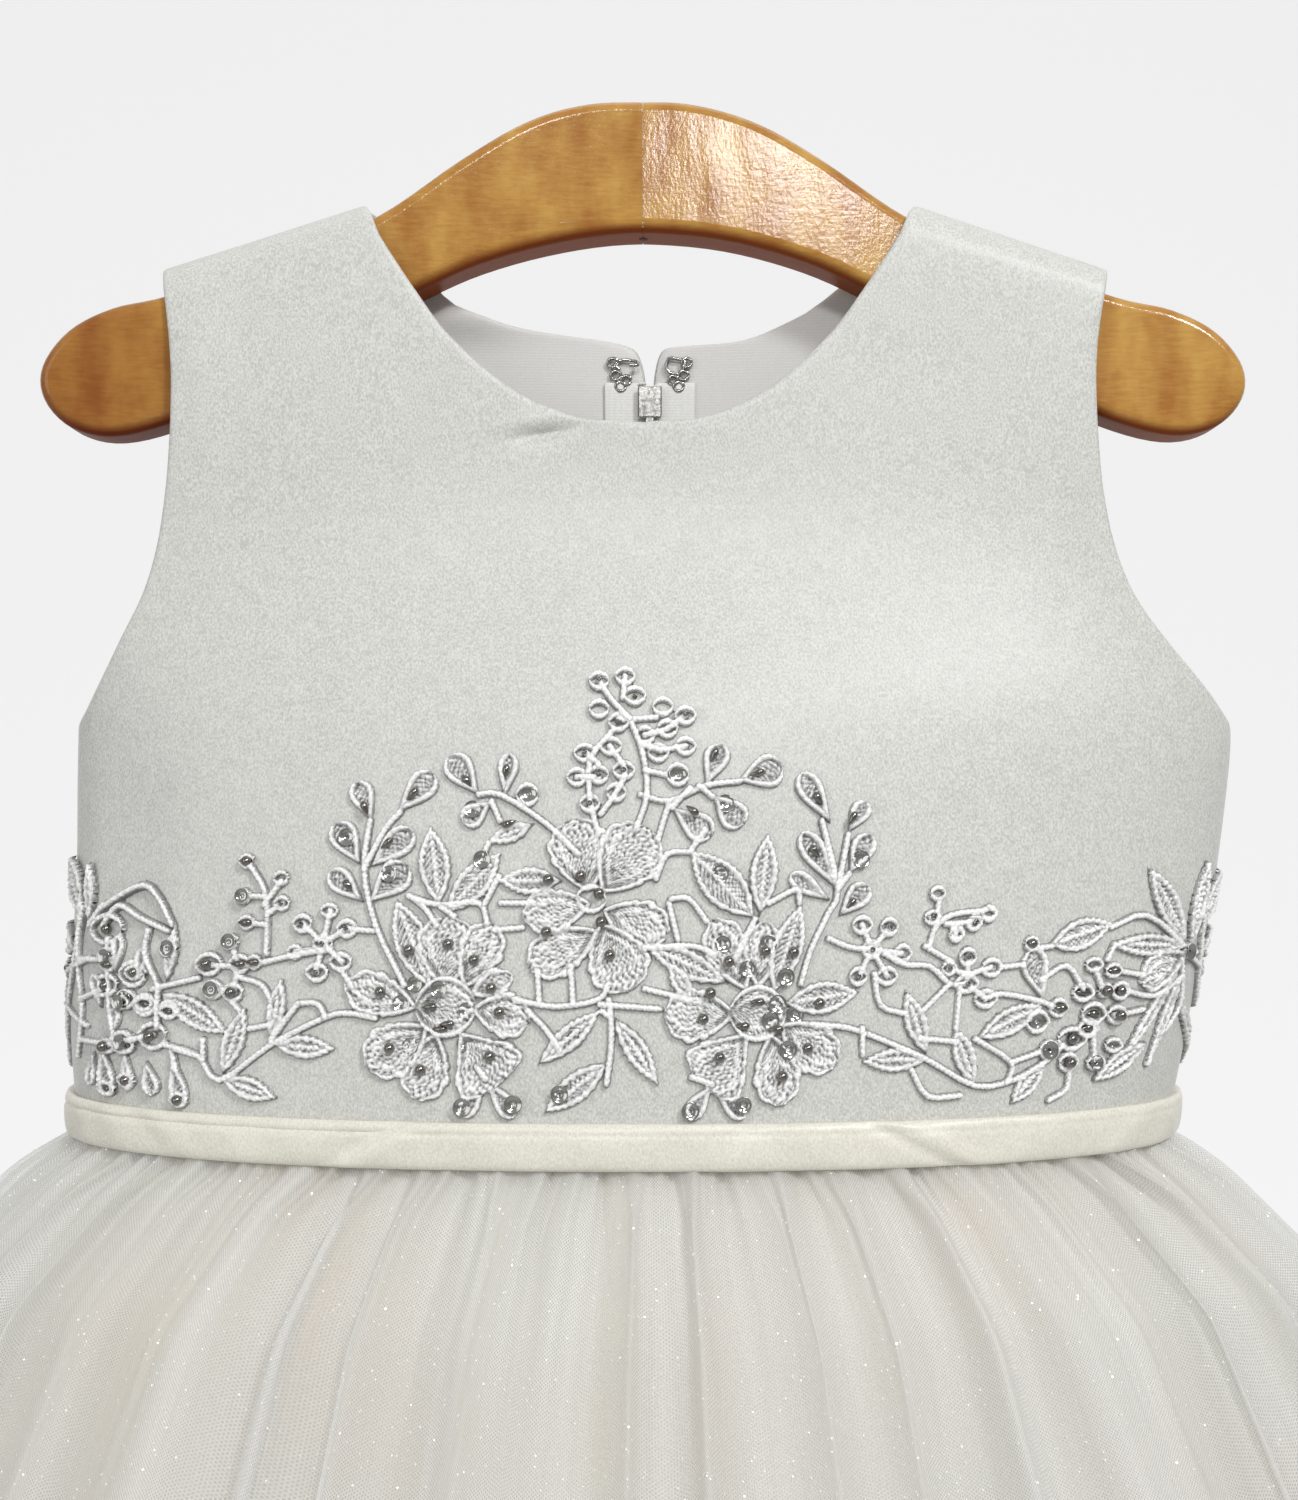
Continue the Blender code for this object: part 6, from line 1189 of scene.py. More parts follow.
CORDS = """
-53.5 -213.5 -60.5 -200 -63.5 -187.5 -62.5 -176.5, -63.5 -187.5 -59 -178.5 -55.5 -174.5,
-46.5 -200 -49.5 -196 -53 -193.5, -53 -193.5 -46 -195.5 -37 -195 -35 -199.5, -32.5 -189 -35.5 -195,
-37.5 -170.5 -32.5 -170.5 -22 -177 -14.5 -184, -32.5 -176.5 -34.5 -172, -35 -181.5 -37.5 -187.5,
-32 -195 -24.5 -195, -33 -201 -27 -200.5, -28.5 -216.5 -19.5 -218 -10 -216.5 -7.5 -213,
-23.5 -210 -23 -217, -16 -209 -15.5 -217, -25.5 -219 -21.5 -223 -18.5 -227.5, -7.5 -216.5 -7 -220.5 -7 -227.5 -8 -235,
-9 -219 -7 -220.5, 0.5 -205 11 -204.5 16.5 -206.5, 6 -195 8 -203, 10.5 -183.5 5.5 -184 3 -189.5,
14 -178.5 10.5 -183.5, 6 -172 3.5 -180.5, -0.5 -170.5 6 -172 14 -168.5 21.5 -167.5, -3 -153 0 -161 1 -170.5 -1.5 -178.5,
0.5 -214 11 -216.5, -9.5 -217.5 4 -218.5, 16.5 -235 11.5 -233.5, 28.5 -195 34.5 -192 35.5 -195,
36.5 -213 38.5 -205.5 42 -197.5 44 -192 40 -176.5, 44 -192 46 -179.5, 46.5 -188.5 44 -192,
-12 -172 -10 -179.5, -35 -234 -36.5 -232, 14.5 -199 10.5 -194 6.5 -194, 21 -207.5 25.5 -198.5,
-42.5 -198 -45.5 -196, -6.5 -155.5 -12 -162.5 -12 -171.5, -5.5 -153.5 3 -153, 4 -160.5 -0.5 -159,
5 -166 0.5 -165, 6.5 -173.5 10.5 -169, -10 -144.5 -7 -149 -3 -153, -4 -143.5 -4.5 -148.5,
4 -160.5 9.5 -159.5, -7.5 -159.5 -4 -165 -6 -170 -9.5 -175, 15.5 -171 12.5 -168.5, 9.5 -152.5 5.5 -155.5 0.5 -157,
-13 -161 -10 -163.5, -15 -166.5 -10 -166.5,
-71 -197 -72.5 -204.5, -77.5 -200 -72.5 -204.5, -67 -201 -72.5 -204.5, -79 -206.5 -72.5 -205.5,
-74 -211 -72.5 -204.5, -68 -208.5 -72.5 -204.5, -67 -201 -61 -201.5, -95 -204.5 -92.5 -209.5,
-100 -210 -92.5 -210 -89 -209, -93.5 -216 -93 -209.5, -99 -215.5 -93.5 -215.5, -109 -230 -108 -234,
-86 -207 -86 -199 -87 -192.5 -91 -186.5, -87 -196 -83 -190.5, -87 -194 -92 -194, -86 -198 -82.5 -195.5,
-86 -200.5 -91 -200, -88.5 -209.5 -80.5 -207.5 -72.5 -206, -92.5 -212.5 -87 -214 -84.5 -217.5,
-111.5 -228.5 -102.5 -230.5 -97 -236 -84.5 -227.5 -71.5 -221 -66 -220 -60 -221, -78 -218 -73.5 -218 -71.5 -221,
-84.5 -226.5 -78 -218, -89.5 -224 -84.5 -223, -114.5 -216 -102.5 -213,
-132.5 -198.5 -125.5 -194.5 -118.5 -192 -114 -195 -110 -201,
-130.5 -202 -126 -197 -119.5 -199.5 -111 -202.5, -116.5 -202.5 -117 -208 -113 -215, -113 -215 -113 -225,
-139.5 -197.5 -139.5 -210.5 -136.5 -222.5 -139 -233.5, -135.5 -202 -131 -197, -138.5 -210.5 -130 -210,
-137.5 -220 -129.5 -217, -137.5 -229.5 -126.5 -229.5, -94.5 -217.5 -92 -220, -101 -227 -101 -231.5,
-101 -231 -108 -229.5, -68 -210.5 -65.5 -214, -128 -230 -122.5 -228.5 -114 -226.5, -128.5 -205 -127 -219 -125 -228.5,
-134.5 -210 -150 -215 -165 -214.5 -179 -216, -138.5 -198 -141 -210 -145.5 -223 -149 -231,
-134.5 -226 -146 -222.5, -165 -214.5 -169 -219.5,
50 -200 52.5 -205.5, 56.5 -200.5 52.5 -205.5, 59.5 -206.5 52.5 -205.5, 50 -211.5 52.5 -205.5,
56.5 -211.5 52.5 -205.5, 75.5 -207.5 75.5 -213.5, 81 -210 75.5 -211.5, 80.5 -217 75.5 -213.5,
71 -210 75.5 -211.5, 133.5 -210 136 -220 131.5 -226.5, 127 -234 128.5 -228.5, 66 -205 67 -201 70.5 -198 78.5 -197,
67 -201 67.5 -194.5, 69.5 -200 76.5 -199.5, 70.5 -200 72 -202, 65 -205 71.5 -208.5, 42.5 -203 47.5 -205 52.5 -205.5,
55.5 -206.5 60.5 -209 66.5 -209.5 71.5 -213.5 75.5 -213.5, 53.5 -211 55.5 -218 61.5 -220,
39.5 -222 48.5 -223 58.5 -226.5 68 -230.5 80 -236.5 89.5 -235.5 97.5 -231.5 101.5 -228,
51.5 -223 52 -229, 66 -219 71.5 -213.5, 65.5 -225.5 74.5 -226.5, 79 -226 88.5 -231.5 88 -236,
88.5 -231.5 97 -229, 80.5 -217 84.5 -216 94.5 -218 99 -220, 83.5 -210 89 -209.5, 94 -213 100 -210 105 -215.5,
103.5 -232 104 -238 99.5 -240.5, 74 -214.5 74 -223.5, 64 -232.5 68.5 -238.5 76.5 -238.5,
90.5 -206 95.5 -205.5, 110.5 -201.5 120 -199 133 -206.5, 112 -205.5 110.5 -209, 113 -211.5 121.5 -213,
116 -216 125.5 -218 134.5 -214, 114.5 -222 123 -221, 109 -224.5 110.5 -232, 107.5 -211 110.5 -216,
134 -208 150 -215 165 -214.5 179 -216, 140 -200 142 -210 147 -222, 146 -230 152 -237, 165 -214.5 169 -219.5,
"""


def rows_of(text):
    """A text block's rows, each a list of its words."""
    return [row.split() for row in text.replace("\n", " ").split(",") if row.strip()]


motifs = [(row[0], *map(float, row[1:])) for row in rows_of(MOTIFS)]
cords = [np.array(row, float).reshape(-1, 2) for row in rows_of(CORDS)]
print(f"lace: {len(motifs)} motifs and {len(cords)} cords")

# %% [markdown]
# ### Where the beads are sewn
#
# Pearls sit on the petals, drops and cup sequins fill the centres of the flowers and the buds. Each spot is a place
# in the flat layout, so that a bead always stands on the thread below it.

# %% Bead places
PEARLS = (
    (-13.9, -188.9), (-9.8, -192.7), (-21.2, -189.8), (-9.3, -199.2), (-21.5, -201.5), (-7.3, -206.6), (-43.7, -204.3),
    (-37.7, -207.8), (-52.5, -205.7), (-58.7, -215.1), (-33.7, -214.0), (-31.8, -219.3), (-56.5, -227.5),
    (-49.5, -232.1), (-34.0, -229.0), (19.6, -208.1), (28.0, -205.7), (34.4, -206.0), (15.6, -215.0),
    (14.1, -220.7), (41.0, -217.4), (18.0, -229.1), (32.9, -233.4), (38.7, -227.3),
)
DROP_BEADS = (
    (-63.4, -173.8), (-52.8, -170.4), (-58.3, -181.8), (-66.9, -191.4), (-40.1, -167.6), (-31.3, -165.3),
    (15.8, -161.6), (25.4, -165.7), (11.0, -174.2), (39.1, -171.5), (38.6, -183.5), (46.6, -176.1), (47.0, -195.3),
    (-47.6, -218.3), (-43.5, -222.0), (-45.3, -223.2), (26.5, -217.0), (23.2, -222.3), (31.0, -223.0), (-30.2, -177.2),
)
SEQUINS = (
    (-67.7, -180.3), (-57.6, -188.6), (-38.8, -173.8), (-26.2, -170.3), (-36.3, -185.3), (7.9, -166.0), (48.9, -185.2),
    (-54.0, -217.7), (-51.2, -213.3), (-45.5, -214.3), (-39.2, -219.1), (-52.1, -227.0), (-39.7, -226.4),
    (-40.2, -240.3), (-28.7, -239.5), (11.4, -240.9), (23.8, -239.5), (17.4, -188.4), (18.3, -204.1), (28.6, -204.2),
    (24.0, -209.7), (32.8, -211.5), (31.2, -217.5), (29.7, -221.2), (34.0, -227.5), (35.5, -219.7), (-18.4, -237.2),
    (-15.0, -225.1), (18.3, -172.6),
)
print(f"{len(PEARLS)} pearls, {len(DROP_BEADS)} drops and {len(SEQUINS)} sequins in the middle of the lace")

# %% [markdown]
# ### From the flat layout to the body
#
# The satin's own swells are added under the lace, so that it follows the cloth. The frame at each place gives the
# beads their upright.


# %% Lace on the body
def on_body(u, z, out):
    """Flat lace points laid over the bodice, out from its middle surface. Also gives the frame there."""

    def wrapped(u, z):
        """Points of the middle surface at flat places."""
        angle = np.interp(np.abs(u), RUN, RUN_ANGLE)
        x = section_x(read(BODY, 1, z), angle) * np.sign(u)
        front = (angle <= math.pi / 2)[..., None]
        return np.where(front, cloth_point(x, z, -1), cloth_point(x, z, 1))

    across = wrapped(u + 0.4, z) - wrapped(u - 0.4, z)
    up = wrapped(u, z + 0.4) - wrapped(u, z - 0.4)
    across /= np.linalg.norm(across, axis=-1, keepdims=True)
    normal = np.cross(across, up)
    normal /= np.linalg.norm(normal, axis=-1, keepdims=True)
    swell = satin_swell(u * 0.93, z, -1) * smoothstep(150.0, 118.0, np.abs(u))
    place = wrapped(u, z) + (out + swell)[..., None] * normal
    return place, np.stack([across, np.cross(normal, across), normal], axis=-1)


RUN_ANGLE = np.linspace(0.0, math.pi, 4001)
flat_ring = ring_point(BODY, RUN_ANGLE, np.full(4001, -205.0))
flat_ring[:, 0] = section_x(read(BODY, 1, -205.0), RUN_ANGLE)
RUN = along(flat_ring, 0)
print(f"half way round the body at the lace: {RUN[-1]:.1f} mm")

# %% [markdown]
# ### Relief of a motif
#
# A petal or leaf is a tapering shape with a cord round it. Inside, a leaf has slanting stitches and a midrib, a
# petal has stitches that fan out, and an eye is a ring. The height is in millimetres over the satin.


# %% Lace relief
SWELL = {"leaf": (1.0, 0.9), "petal": (1.5, 0.5), "drop": (2.0, 0.5), "fan": (2.6, 0.4), "eye": (1.0, 0.5)}


def dome(value, middle, reach):
    """A round ridge of height 1: sqrt(1 - ((value - middle) / reach) ** 2)."""
    return np.sqrt(np.clip(1.0 - ((value - middle) / reach) ** 2, 0.0, 1.0))


def motif_relief(u, z, kind, u0, z0, u1, z1, half_width):
    """A motif's cover, height and thread coordinates.

    Its half width goes with sin(pi * share ** late) ** blunt. The cover is the distance in from its scalloped edge,
    the outer 1.5 mm are twisted cord, and the rest is stitched cloth.
    """
    late, blunt = SWELL[kind]
    length = math.hypot(u1 - u0, z1 - z0)
    share = ((u - u0) * (u1 - u0) + (z - z0) * (z1 - z0)) / length**2
    aside = ((u - u0) * (z1 - z0) - (z - z0) * (u1 - u0)) / length
    inside = np.clip(share, 0.0, 1.0)
    width = half_width * np.sin(math.pi * inside**late) ** blunt
    cover = width - np.abs(aside) - 2.0 * np.abs(share - inside) * length
    run = share * length
    turn = np.arctan2(aside, run - 0.35 * length)
    reach = 0.5 * length + 0.4 * half_width
    if kind == "leaf":
        cover = cover - 0.40 * np.abs(np.sin(math.pi * (run - 0.8 * np.abs(aside)) / 2.0))
    elif kind in ("petal", "fan"):
        lobes = round(math.pi * (0.5 * length + half_width) / 3.3)
        cover = cover - 0.75 * (1.0 - np.abs(np.cos(0.5 * lobes * turn))) * smoothstep(0.15, 0.5, share)
    if kind == "eye" and half_width < 4.1:
        rim = 1.5 if half_width > 2.2 else 1.3
        cover = np.minimum(cover, rim - cover)
        ring = 0.35 + 1.1 * dome(cover, rim / 2, rim / 1.6)
        return cover, ring + 0.16 * np.sin(9.0 * turn + 3.0 * cover), half_width * turn, cover
    spread, far = np.arctan2(aside, run + 1.2), np.hypot(aside, run + 1.2)
    cord = 0.22 + 1.2 * dome(cover, 0.76, 0.78) + 0.17 * np.sin(TURN * (turn * reach + 0.9 * cover) / 1.35)
    if kind == "leaf":
        body = 0.05 + 0.72 * np.abs(np.sin(math.pi * (run + 1.1 * np.abs(aside)) / 1.4)) + 0.70 * dome(aside, 0.0, 0.55)
    elif kind == "drop":
        body = 0.10 + 0.50 * np.abs(np.sin(math.pi * run / 1.3 + 1.5 * np.sin(2.0 * aside)))
    else:
        spoke = np.abs(np.sin(2.0 * length * spread + 0.8 * np.sin(1.7 * far)))
        body = 0.05 + 0.78 * spoke * smoothstep(0.12, 0.45, share) + 0.18 * np.abs(np.sin(math.pi * run / 1.4))
        body = body + 0.55 * dome(cover, 3.1, 0.6) * (half_width > 4.2)
    edge = cover < 1.5
    height = np.where(edge, np.maximum(cord, body * 0.5), body)
    return cover, height, np.where(edge, turn * reach, far), np.where(edge, cover, spread * reach)


leaf_middle = motif_relief(np.array(5.0), np.array(0.0), "leaf", 0.0, 0.0, 10.0, 0.0, 2.0)
print(f"a leaf 10 mm long stands {float(leaf_middle[1]):.2f} mm high at its middle")

# %% [markdown]
# ### The whole relief
#
# Motifs and cords are drawn one after another into an even grid, each only in its own window. A later motif covers
# an earlier one, and a cord lies on top wherever it is higher. A little noise makes the thread uneven.


# %% Lace grid
LACE_CORNER = (-187.0, -245.2)
LACE_TOP = -138.0


def lace_sheet(step):
    """Cover, height and thread coordinates of the whole applique on an even grid."""
    u, z = np.meshgrid(np.arange(LACE_CORNER[0], -LACE_CORNER[0], step), np.arange(LACE_CORNER[1], LACE_TOP, step))
    cover, height = np.full_like(u, -9.0), np.zeros_like(u)
    runs, sides = np.zeros_like(u), np.zeros_like(u)

    def window(points, reach):
        """The part of the grid within a reach of some points."""
        low, high = np.min(points, axis=0) - reach, np.max(points, axis=0) + reach
        first = np.maximum(((low - LACE_CORNER) / step).astype(int), 0)
        last = ((high - LACE_CORNER) / step).astype(int) + 2
        return slice(first[1], max(last[1], first[1] + 1)), slice(first[0], max(last[0], first[0] + 1))

    for kind, u0, z0, u1, z1, half_width in motifs:
        here = window([(u0, z0), (u1, z1)], half_width + 1.5)
        own, high, run, aside = motif_relief(u[here], z[here], kind, u0, z0, u1, z1, half_width)
        high = np.where(own > 0.35, high, np.maximum(high, height[here]))
        height[here] = np.where(own > 0, high, height[here])
        runs[here], sides[here] = np.where(own > 0, run, runs[here]), np.where(own > 0, aside, sides[here])
        cover[here] = np.maximum(cover[here], own)
    for points in cords:
        smooth = through(points, 3) if len(points) > 2 else points
        start = 0.0
        for (u0, z0), (u1, z1) in zip(smooth[:-1], smooth[1:]):
            here = window([(u0, z0), (u1, z1)], 2.0)
            length = math.hypot(u1 - u0, z1 - z0)
            du, dz = u[here] - u0, z[here] - z0
            share = np.clip((du * (u1 - u0) + dz * (z1 - z0)) / length**2, 0.0, 1.0)
            off = np.hypot(du - share * (u1 - u0), dz - share * (z1 - z0))
            aside = (du * (z1 - z0) - dz * (u1 - u0)) / length
            run = start + share * length
            high = 0.18 + 1.25 * dome(off, 0.0, 0.82) + 0.16 * np.sin(TURN * (run + 0.9 * aside) / 1.3)
            own = 0.82 - off
            runs[here], sides[here] = np.where(own > 0, run, runs[here]), np.where(own > 0, aside, sides[here])
            height[here] = np.where(own > 0, np.maximum(high, height[here]), height[here])
            cover[here] = np.maximum(cover[here], own)
            start += length
    pick = np.random.default_rng(21)
    knots = pick.normal(0.0, 1.0, u.shape)
    knots = knots + np.roll(knots, 1, 0) + np.roll(knots, 1, 1) + 0.6 * np.roll(knots, (1, 1), (0, 1))
    height = height + 0.075 * knots * smoothstep(0.3, 0.9, cover)
    cover = np.minimum(cover, z + 243.7)
    return u, z, cover, height, np.stack([runs, sides], axis=-1)


print(f"lace grid: {-2 * LACE_CORNER[0]:.0f} mm round the body and {LACE_TOP - LACE_CORNER[1]:.0f} mm high")

# %% [markdown]
# ### The lace as pieces
#
# The sheet keeps the quads whose corners the thread covers. Its edge bends down into the satin, so that no gap
# shows under it. It is made in three pieces side by side, to keep each under 200,000 triangles.

# %% Lace pieces
SATIN_FACE = 0.82
LACE_STEP = 0.34
lace_u, lace_z, lace_cover, lace_height, lace_uv = lace_sheet(LACE_STEP)
lace_out = SATIN_FACE + np.where(lace_cover > 0, lace_height, np.maximum(1.6 * lace_cover, -0.5))
print(f"lace: {lace_u.size} grid points, {(lace_cover > 0).mean():.0%} covered, up to {lace_height.max():.2f} mm high")


def lace_piece(name, low, high, replaces):
    """The part of the applique between two places round the body."""
    kept = (lace_cover > -0.45) & (lace_u >= low) & (lace_u < high + LACE_STEP)
    rows, columns = kept.shape
    quads = grid_quads(rows, columns)
    quads = quads[kept.ravel()[quads].all(axis=1)]
    used, quads = np.unique(quads, return_inverse=True)
    u, z, out = lace_u.ravel()[used], lace_z.ravel()[used], lace_out.ravel()[used]
    points, _ = on_body(u, z, out)
    mesh = mesh_from(name, points, quads.reshape(-1, 4), lace_uv.reshape(-1, 2)[used])
    # Painted shade: stand makes the lace's colour darker where it is low and at its edges.
    tall = np.clip(lace_height.ravel()[used] / 1.3, 0.0, 1.0) * smoothstep(-0.1, 0.5, lace_cover.ravel()[used])
    mesh.attributes.new("stand", "FLOAT", "POINT").data.foreach_set("value", tall.astype(np.float32))
    piece = show(name, mesh, LACE, smooth_to=0, replaces=replaces)


for name, low, high, stands_for in (
    ("lace_left", -187.0, -61.0, []), ("lace_centre", -61.0, 46.0, ["lace_applique"]), ("lace_right", 46.0, 187.0, [])
):
    lace_piece(name, low, high, stands_for)

# %% [markdown]
# ### Beads
#
# Silver-plated pearls and drops, cup sequins pressed from metallised film, and round seed beads in the berries. Each
# is one small shape that is copied to its places. Instances would be lighter, but these are few, and one mesh is
# simpler.


# %% Bead tools
def stood(u):
    """How high the lace stands at each place."""
    column = np.clip(((u[:, 0] - LACE_CORNER[0]) / LACE_STEP).astype(int), 0, lace_out.shape[1] - 1)
    row = np.clip(((u[:, 1] - LACE_CORNER[1]) / LACE_STEP).astype(int), 0, lace_out.shape[0] - 1)
    return np.maximum(lace_out[row, column], SATIN_FACE)


def ringed(profile, sides):
    """A closed profile of (radius, height) turned round the z axis, as for a bead with a hole. Points and quads."""
    turns = TURN * np.arange(sides) / sides
    radius, height = np.array(profile).T
    x, y, z = radius[:, None] * np.cos(turns), radius[:, None] * np.sin(turns), height[:, None] + 0 * turns
    points = np.stack([x, y, z], axis=-1)
    index = np.arange(len(profile) * sides).reshape(-1, sides)
    ahead, right = np.roll(index, -1, 0), np.roll(index, -1, 1)
    return points.reshape(-1, 3), np.stack([index, right, np.roll(ahead, -1, 1), ahead], axis=-1).reshape(-1, 4)


def sew_on(name, shape, quads, spots, lift, material, sizes, spin=None):
    """Copies of a bead on the lace at flat places, each turned in the lace's plane by its spin."""
    spots = np.asarray(spots, float)
    out = stood(spots) + lift
    places, frames = on_body(spots[:, 0], spots[:, 1], out)
    if spin is not None:
        cosine, sine, flat = np.cos(spin), np.sin(spin), np.zeros_like(spin)
        turn = [[cosine, -sine, flat], [sine, cosine, flat], [flat, flat, flat + 1]]
        frames = frames @ np.transpose(turn, (2, 0, 1))
    points, faces = many(shape, quads, places, frames, np.broadcast_to(sizes, len(spots)))
    show(name, mesh_from(name, points, faces), material, smooth_to=0)
    print(f"{name}: {len(spots)} of them")


# %% Bead profiles
HALF_CIRCLE = [(math.cos(a), math.sin(a)) for a in np.linspace(-math.pi / 2, math.pi / 2, 9)]
DROP_PROFILE = (
    (0.0, -1.8), (0.45, -1.62), (0.80, -1.15), (0.90, -0.5), (0.76, 0.2), (0.50, 0.9), (0.22, 1.5), (0.0, 1.8),
)
CUP_PROFILE = (
    (0.42, 0.08), (0.8, 0.00), (1.5, 0.14), (2.05, 0.53), (2.12, 0.60), (2.00, 0.62), (1.45, 0.26), (0.8, 0.12),
    (0.42, 0.16),
)
SEED_PROFILE = ((0.26, 0.3), (0.26, -0.3), (0.60, -0.34), (0.74, 0.0), (0.60, 0.34))
SIDE = 88.0
eye_spots = [((m[1] + m[3]) / 2, (m[2] + m[4]) / 2, m[5], abs(m[1]) > SIDE) for m in motifs if m[0] == "eye"]
side_eyes = [(u, z) for u, z, _, at_side in eye_spots if at_side]
side_pearls = [spot for i, spot in enumerate(side_eyes) if i % 3 != 1]
print(f"{len(eye_spots)} eyes, {len(side_eyes)} of them at the sides")

# %% Pearls, drops, sequins and seed beads
ball, ball_quads = turned(HALF_CIRCLE, 12)
sew_on("silver_pearls", ball, ball_quads, [*PEARLS, *side_pearls[::2]], 1.0, PEARL, 1.3)

drop, drop_quads = turned(DROP_PROFILE, 12, axis="x")
drop_spots = [*DROP_BEADS, *side_pearls[1::2]]
spins = []
for u0, z0 in drop_spots:
    near = min(motifs, key=lambda m: math.hypot((m[1] + m[3]) / 2 - u0, (m[2] + m[4]) / 2 - z0))
    spins.append(math.atan2(near[2] - near[4], near[1] - near[3]))
sew_on("silver_drops", drop, drop_quads, drop_spots, 0.55, SILVER, 1.0, np.array(spins))

cup, cup_quads = ringed(CUP_PROFILE, 16)
sequin_spots = [*SEQUINS, *[spot for i, spot in enumerate(side_eyes) if i % 3 == 1]]
cup_sizes = np.random.default_rng(9).uniform(0.85, 1.0, len(sequin_spots))
sew_on("cup_sequins", cup, cup_quads, sequin_spots, 0.12, SEQUIN, cup_sizes)

seed, seed_quads = ringed(SEED_PROFILE, 9)
berries = [(u, z) for u, z, half_width, at_side in eye_spots if half_width <= 2.6 and not at_side]
sew_on("seed_beads", seed, seed_quads, berries[::2], 0.35, SILVER, 0.85)

# %% [markdown]
# ## Zip and neck fastening
#
# An invisible zip has woven tapes with a nylon coil at each edge, bent into teeth. Here the tapes and coils are
# finer than the part's and lie in the same place, and each tooth is one small bent loop that is copied down the
# edge. The slider and its pull tab are the part's own, in nickel, so that the tab turns on its hinge.


# %% Where the zip is sewn
def back_line(x, z):
    """The depth of the inside of the back, or below the waist of the underskirt, where the zip is sewn."""
    bodice = cloth_point(np.asarray(x, float) - ZIP_X, np.asarray(z, float), 1)[..., 1] - 0.8
    skirt = read(LINING, 3, z) - 0.9
    mix = np.clip((np.asarray(z, float) + 246.0) / 10.0, 0.0, 1.0)
    return skirt * (1.0 - mix) + bodice * mix


heights = np.linspace(-66.4, -303.0, 100)
half_gap = np.interp(heights, (-303.0, -86.0, -77.0, -67.0, -57.5), (0.2, 0.2, 0.9, 0.9, 3.0))
TAPE_INSET = 0.75
TOOTH = ((-0.75, -0.15, 0.0), (-0.5, -0.62, 0.15), (0.35, -0.70, 0.1), (1.0, -0.45, 0.0), (1.0, 0.1, 0.0))
print(f"zip: {heights[0] - heights[-1]:.0f} mm of tape, its edges {2 * half_gap.min():.1f} mm apart")

# %% Zip tapes and coils
TAPE = lining("zip_tape_weave", "DCDCD8", "ECECE8")
for name, side_x in (("right", 1), ("left", -1)):
    across = np.linspace(0.4, 10.6, 15)
    x = ZIP_X + side_x * (half_gap[:, None] + across[None])
    ribs = 0.10 * np.sin(TURN * across / 1.6)
    y = back_line(x, heights[:, None] + 0 * x) - TAPE_INSET + ribs[None]
    grid = np.stack([x, y, heights[:, None] + 0 * x], axis=-1)
    tape = show(
        "zip_tape_" + name, mesh_from("zip_tape", grid, grid_quads(*grid.shape[:2])), TAPE,
        replaces=["zip_side_" + name], smooth_to=0,
    )
    walled(tape, 0.5)
    teeth = np.arange(-67.0, -302.0, -1.25) - (0.6 if side_x > 0 else 0.0)
    gap = np.interp(teeth, heights[::-1], half_gap[::-1])
    tooth, tooth_quads = tube(through(TOOTH, 2), 0.30, 5)
    tooth_x = ZIP_X + side_x * (gap + 0.85)
    places = np.stack([tooth_x, back_line(tooth_x, teeth) - TAPE_INSET, teeth], axis=-1)
    frames = np.broadcast_to(np.diag([side_x, 1.0, 1.0]), (len(teeth), 3, 3))
    points, faces = many(tooth, tooth_quads, places, frames, np.ones(len(teeth)))
    show("zip_coil_" + name, mesh_from("zip_coil", points, faces), COIL, smooth_to=0)
    print(f"zip coil {name}: {len(teeth)} teeth, 1.25 mm apart")
for node in ("zip_slider", "zip_tab"):
    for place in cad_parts[node].material_slots:
        place.material = NICKEL

# %% [markdown]
# ### Hook and eye
#
# Both are bent from nickel-plated wire and sewn on through small round loops. A tube along a path gives the same,
# with its ends closed.


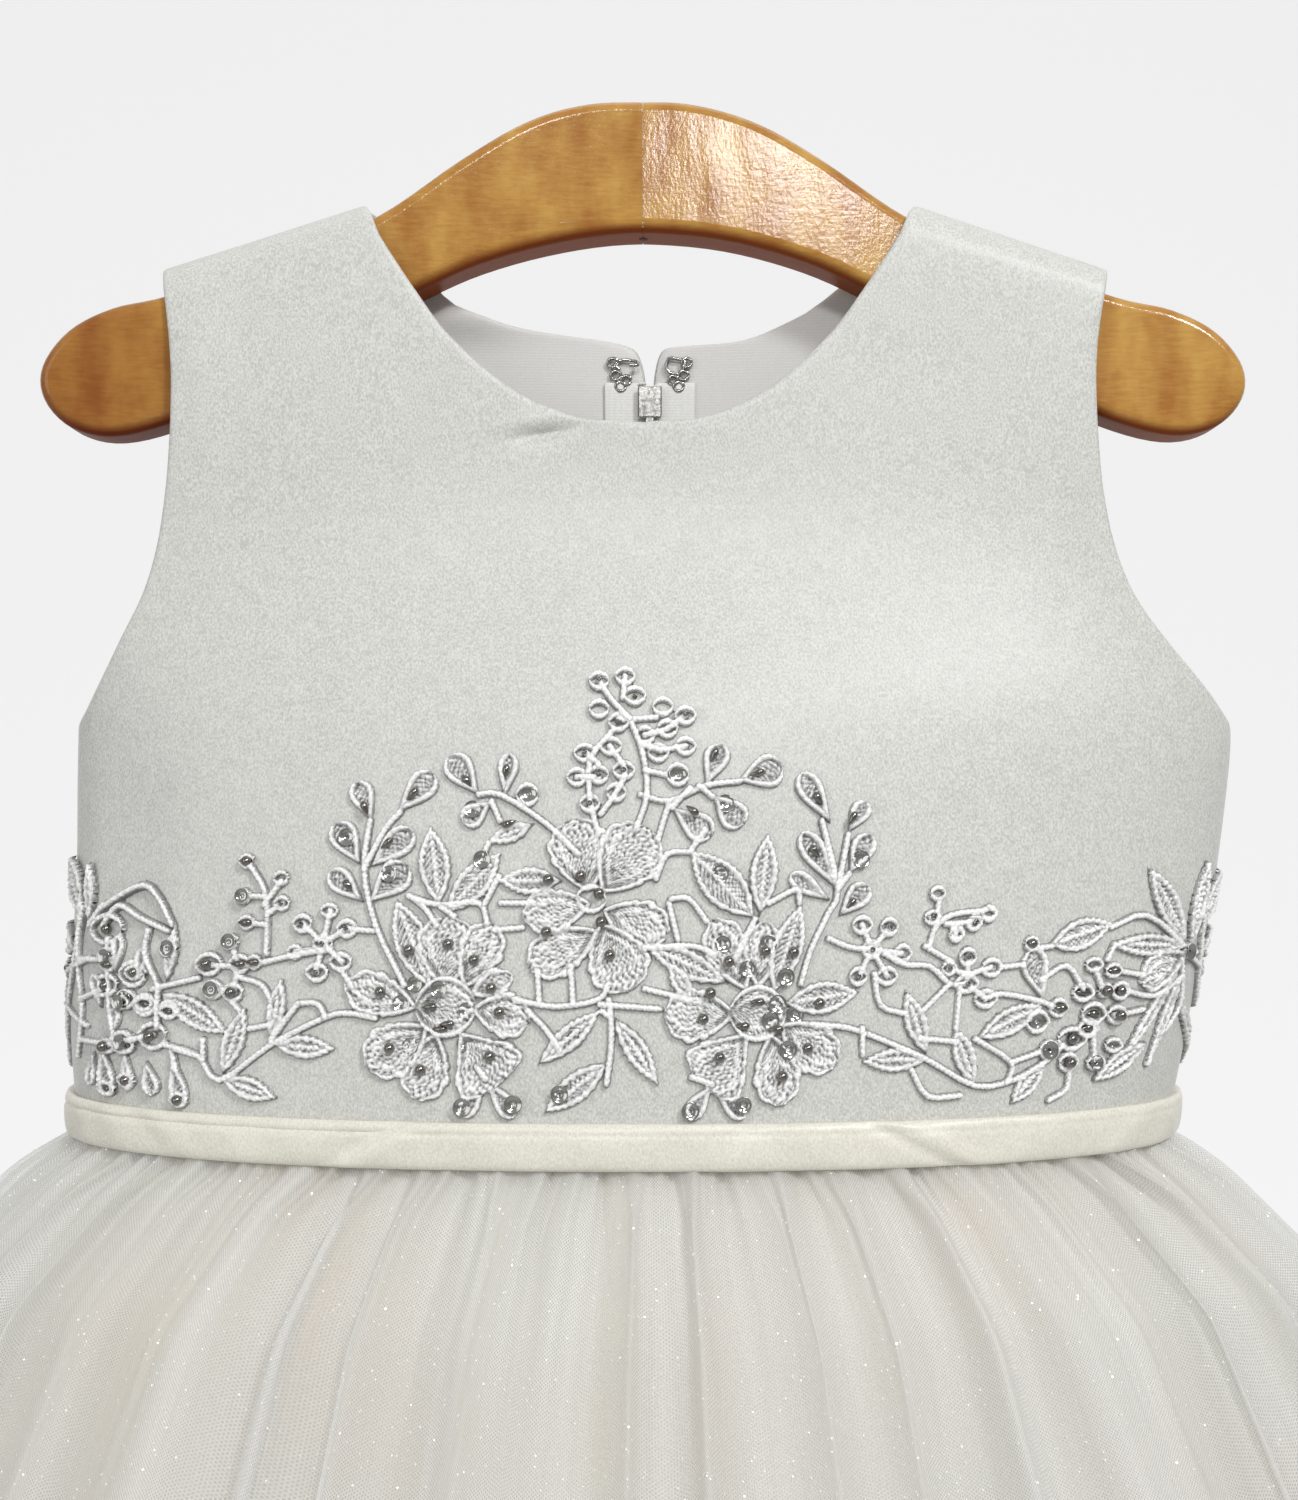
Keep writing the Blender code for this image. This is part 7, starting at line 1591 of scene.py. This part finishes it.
# %% Hook and eye
def wire_piece(name, paths, radius, node):
    """Bent nickel wires as one piece."""
    points, faces, first = [], [], 0
    for path in paths:
        ring, quads = tube(through(path, 5), radius, 8)
        points.append(ring)
        faces.append(quads + first)
        first += len(ring)
    mesh = mesh_from(name, np.concatenate(points), np.concatenate(faces))
    show(name, mesh, NICKEL, smooth_to=0, replaces=[node])


# Each path's points: out from the zip's middle, down from the fastening's height and in from the cloth.
HOOK = (
    (7.6, 3.4, 0.9), (8.8, 2.2, 0.9), (7.6, 1.0, 0.9), (5.2, 0.9, 1.0), (3.4, 1.3, 1.3), (2.9, 2.2, 2.2),
    (3.5, 2.6, 3.0), (5.2, 2.6, 3.1),
)
EYE = (
    (8.6, 3.4, 0.9), (8.9, 1.2, 0.9), (7.0, 0.6, 0.9), (5.0, 0.4, 0.9), (4.2, 2.2, 0.9), (5.0, 4.0, 0.9),
    (7.2, 4.4, 0.9),
)
SEWN_AT = ((8.6, 4.8), (6.0, 6.0), (9.4, 1.6), (7.4, 7.6))
FASTENING_Z = -60.0
for name, side_x, path, node in (("hook_wire", -1, HOOK, "neck_hook"), ("eye_wire", 1, EYE, "neck_eye")):
    out, down, deep = np.transpose(path)
    x = ZIP_X + side_x * out
    loops = [np.stack([x, back_line(x, FASTENING_Z) - deep, FASTENING_Z - down], axis=1)]
    for across, low in SEWN_AT:
        x, z = ZIP_X + side_x * across, FASTENING_Z - low
        turns = np.linspace(0, TURN * 0.97, 9)
        deep = float(back_line(x, z)) - 0.95 - 0.15 * np.sin(3 * turns)
        loops.append(np.stack([x + 1.25 * np.cos(turns), deep, z + 1.15 * np.sin(turns)], axis=1))
    wire_piece(name, loops, 0.45, node)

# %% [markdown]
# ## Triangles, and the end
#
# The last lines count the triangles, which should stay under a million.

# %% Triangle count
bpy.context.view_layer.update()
total = 0
for piece in made_pieces:
    triangles = len(piece.data.loops) - 2 * len(piece.data.polygons)
    total += triangles
    print(f"{piece.name}: {triangles} triangles")
print("all pieces:", total, "triangles")
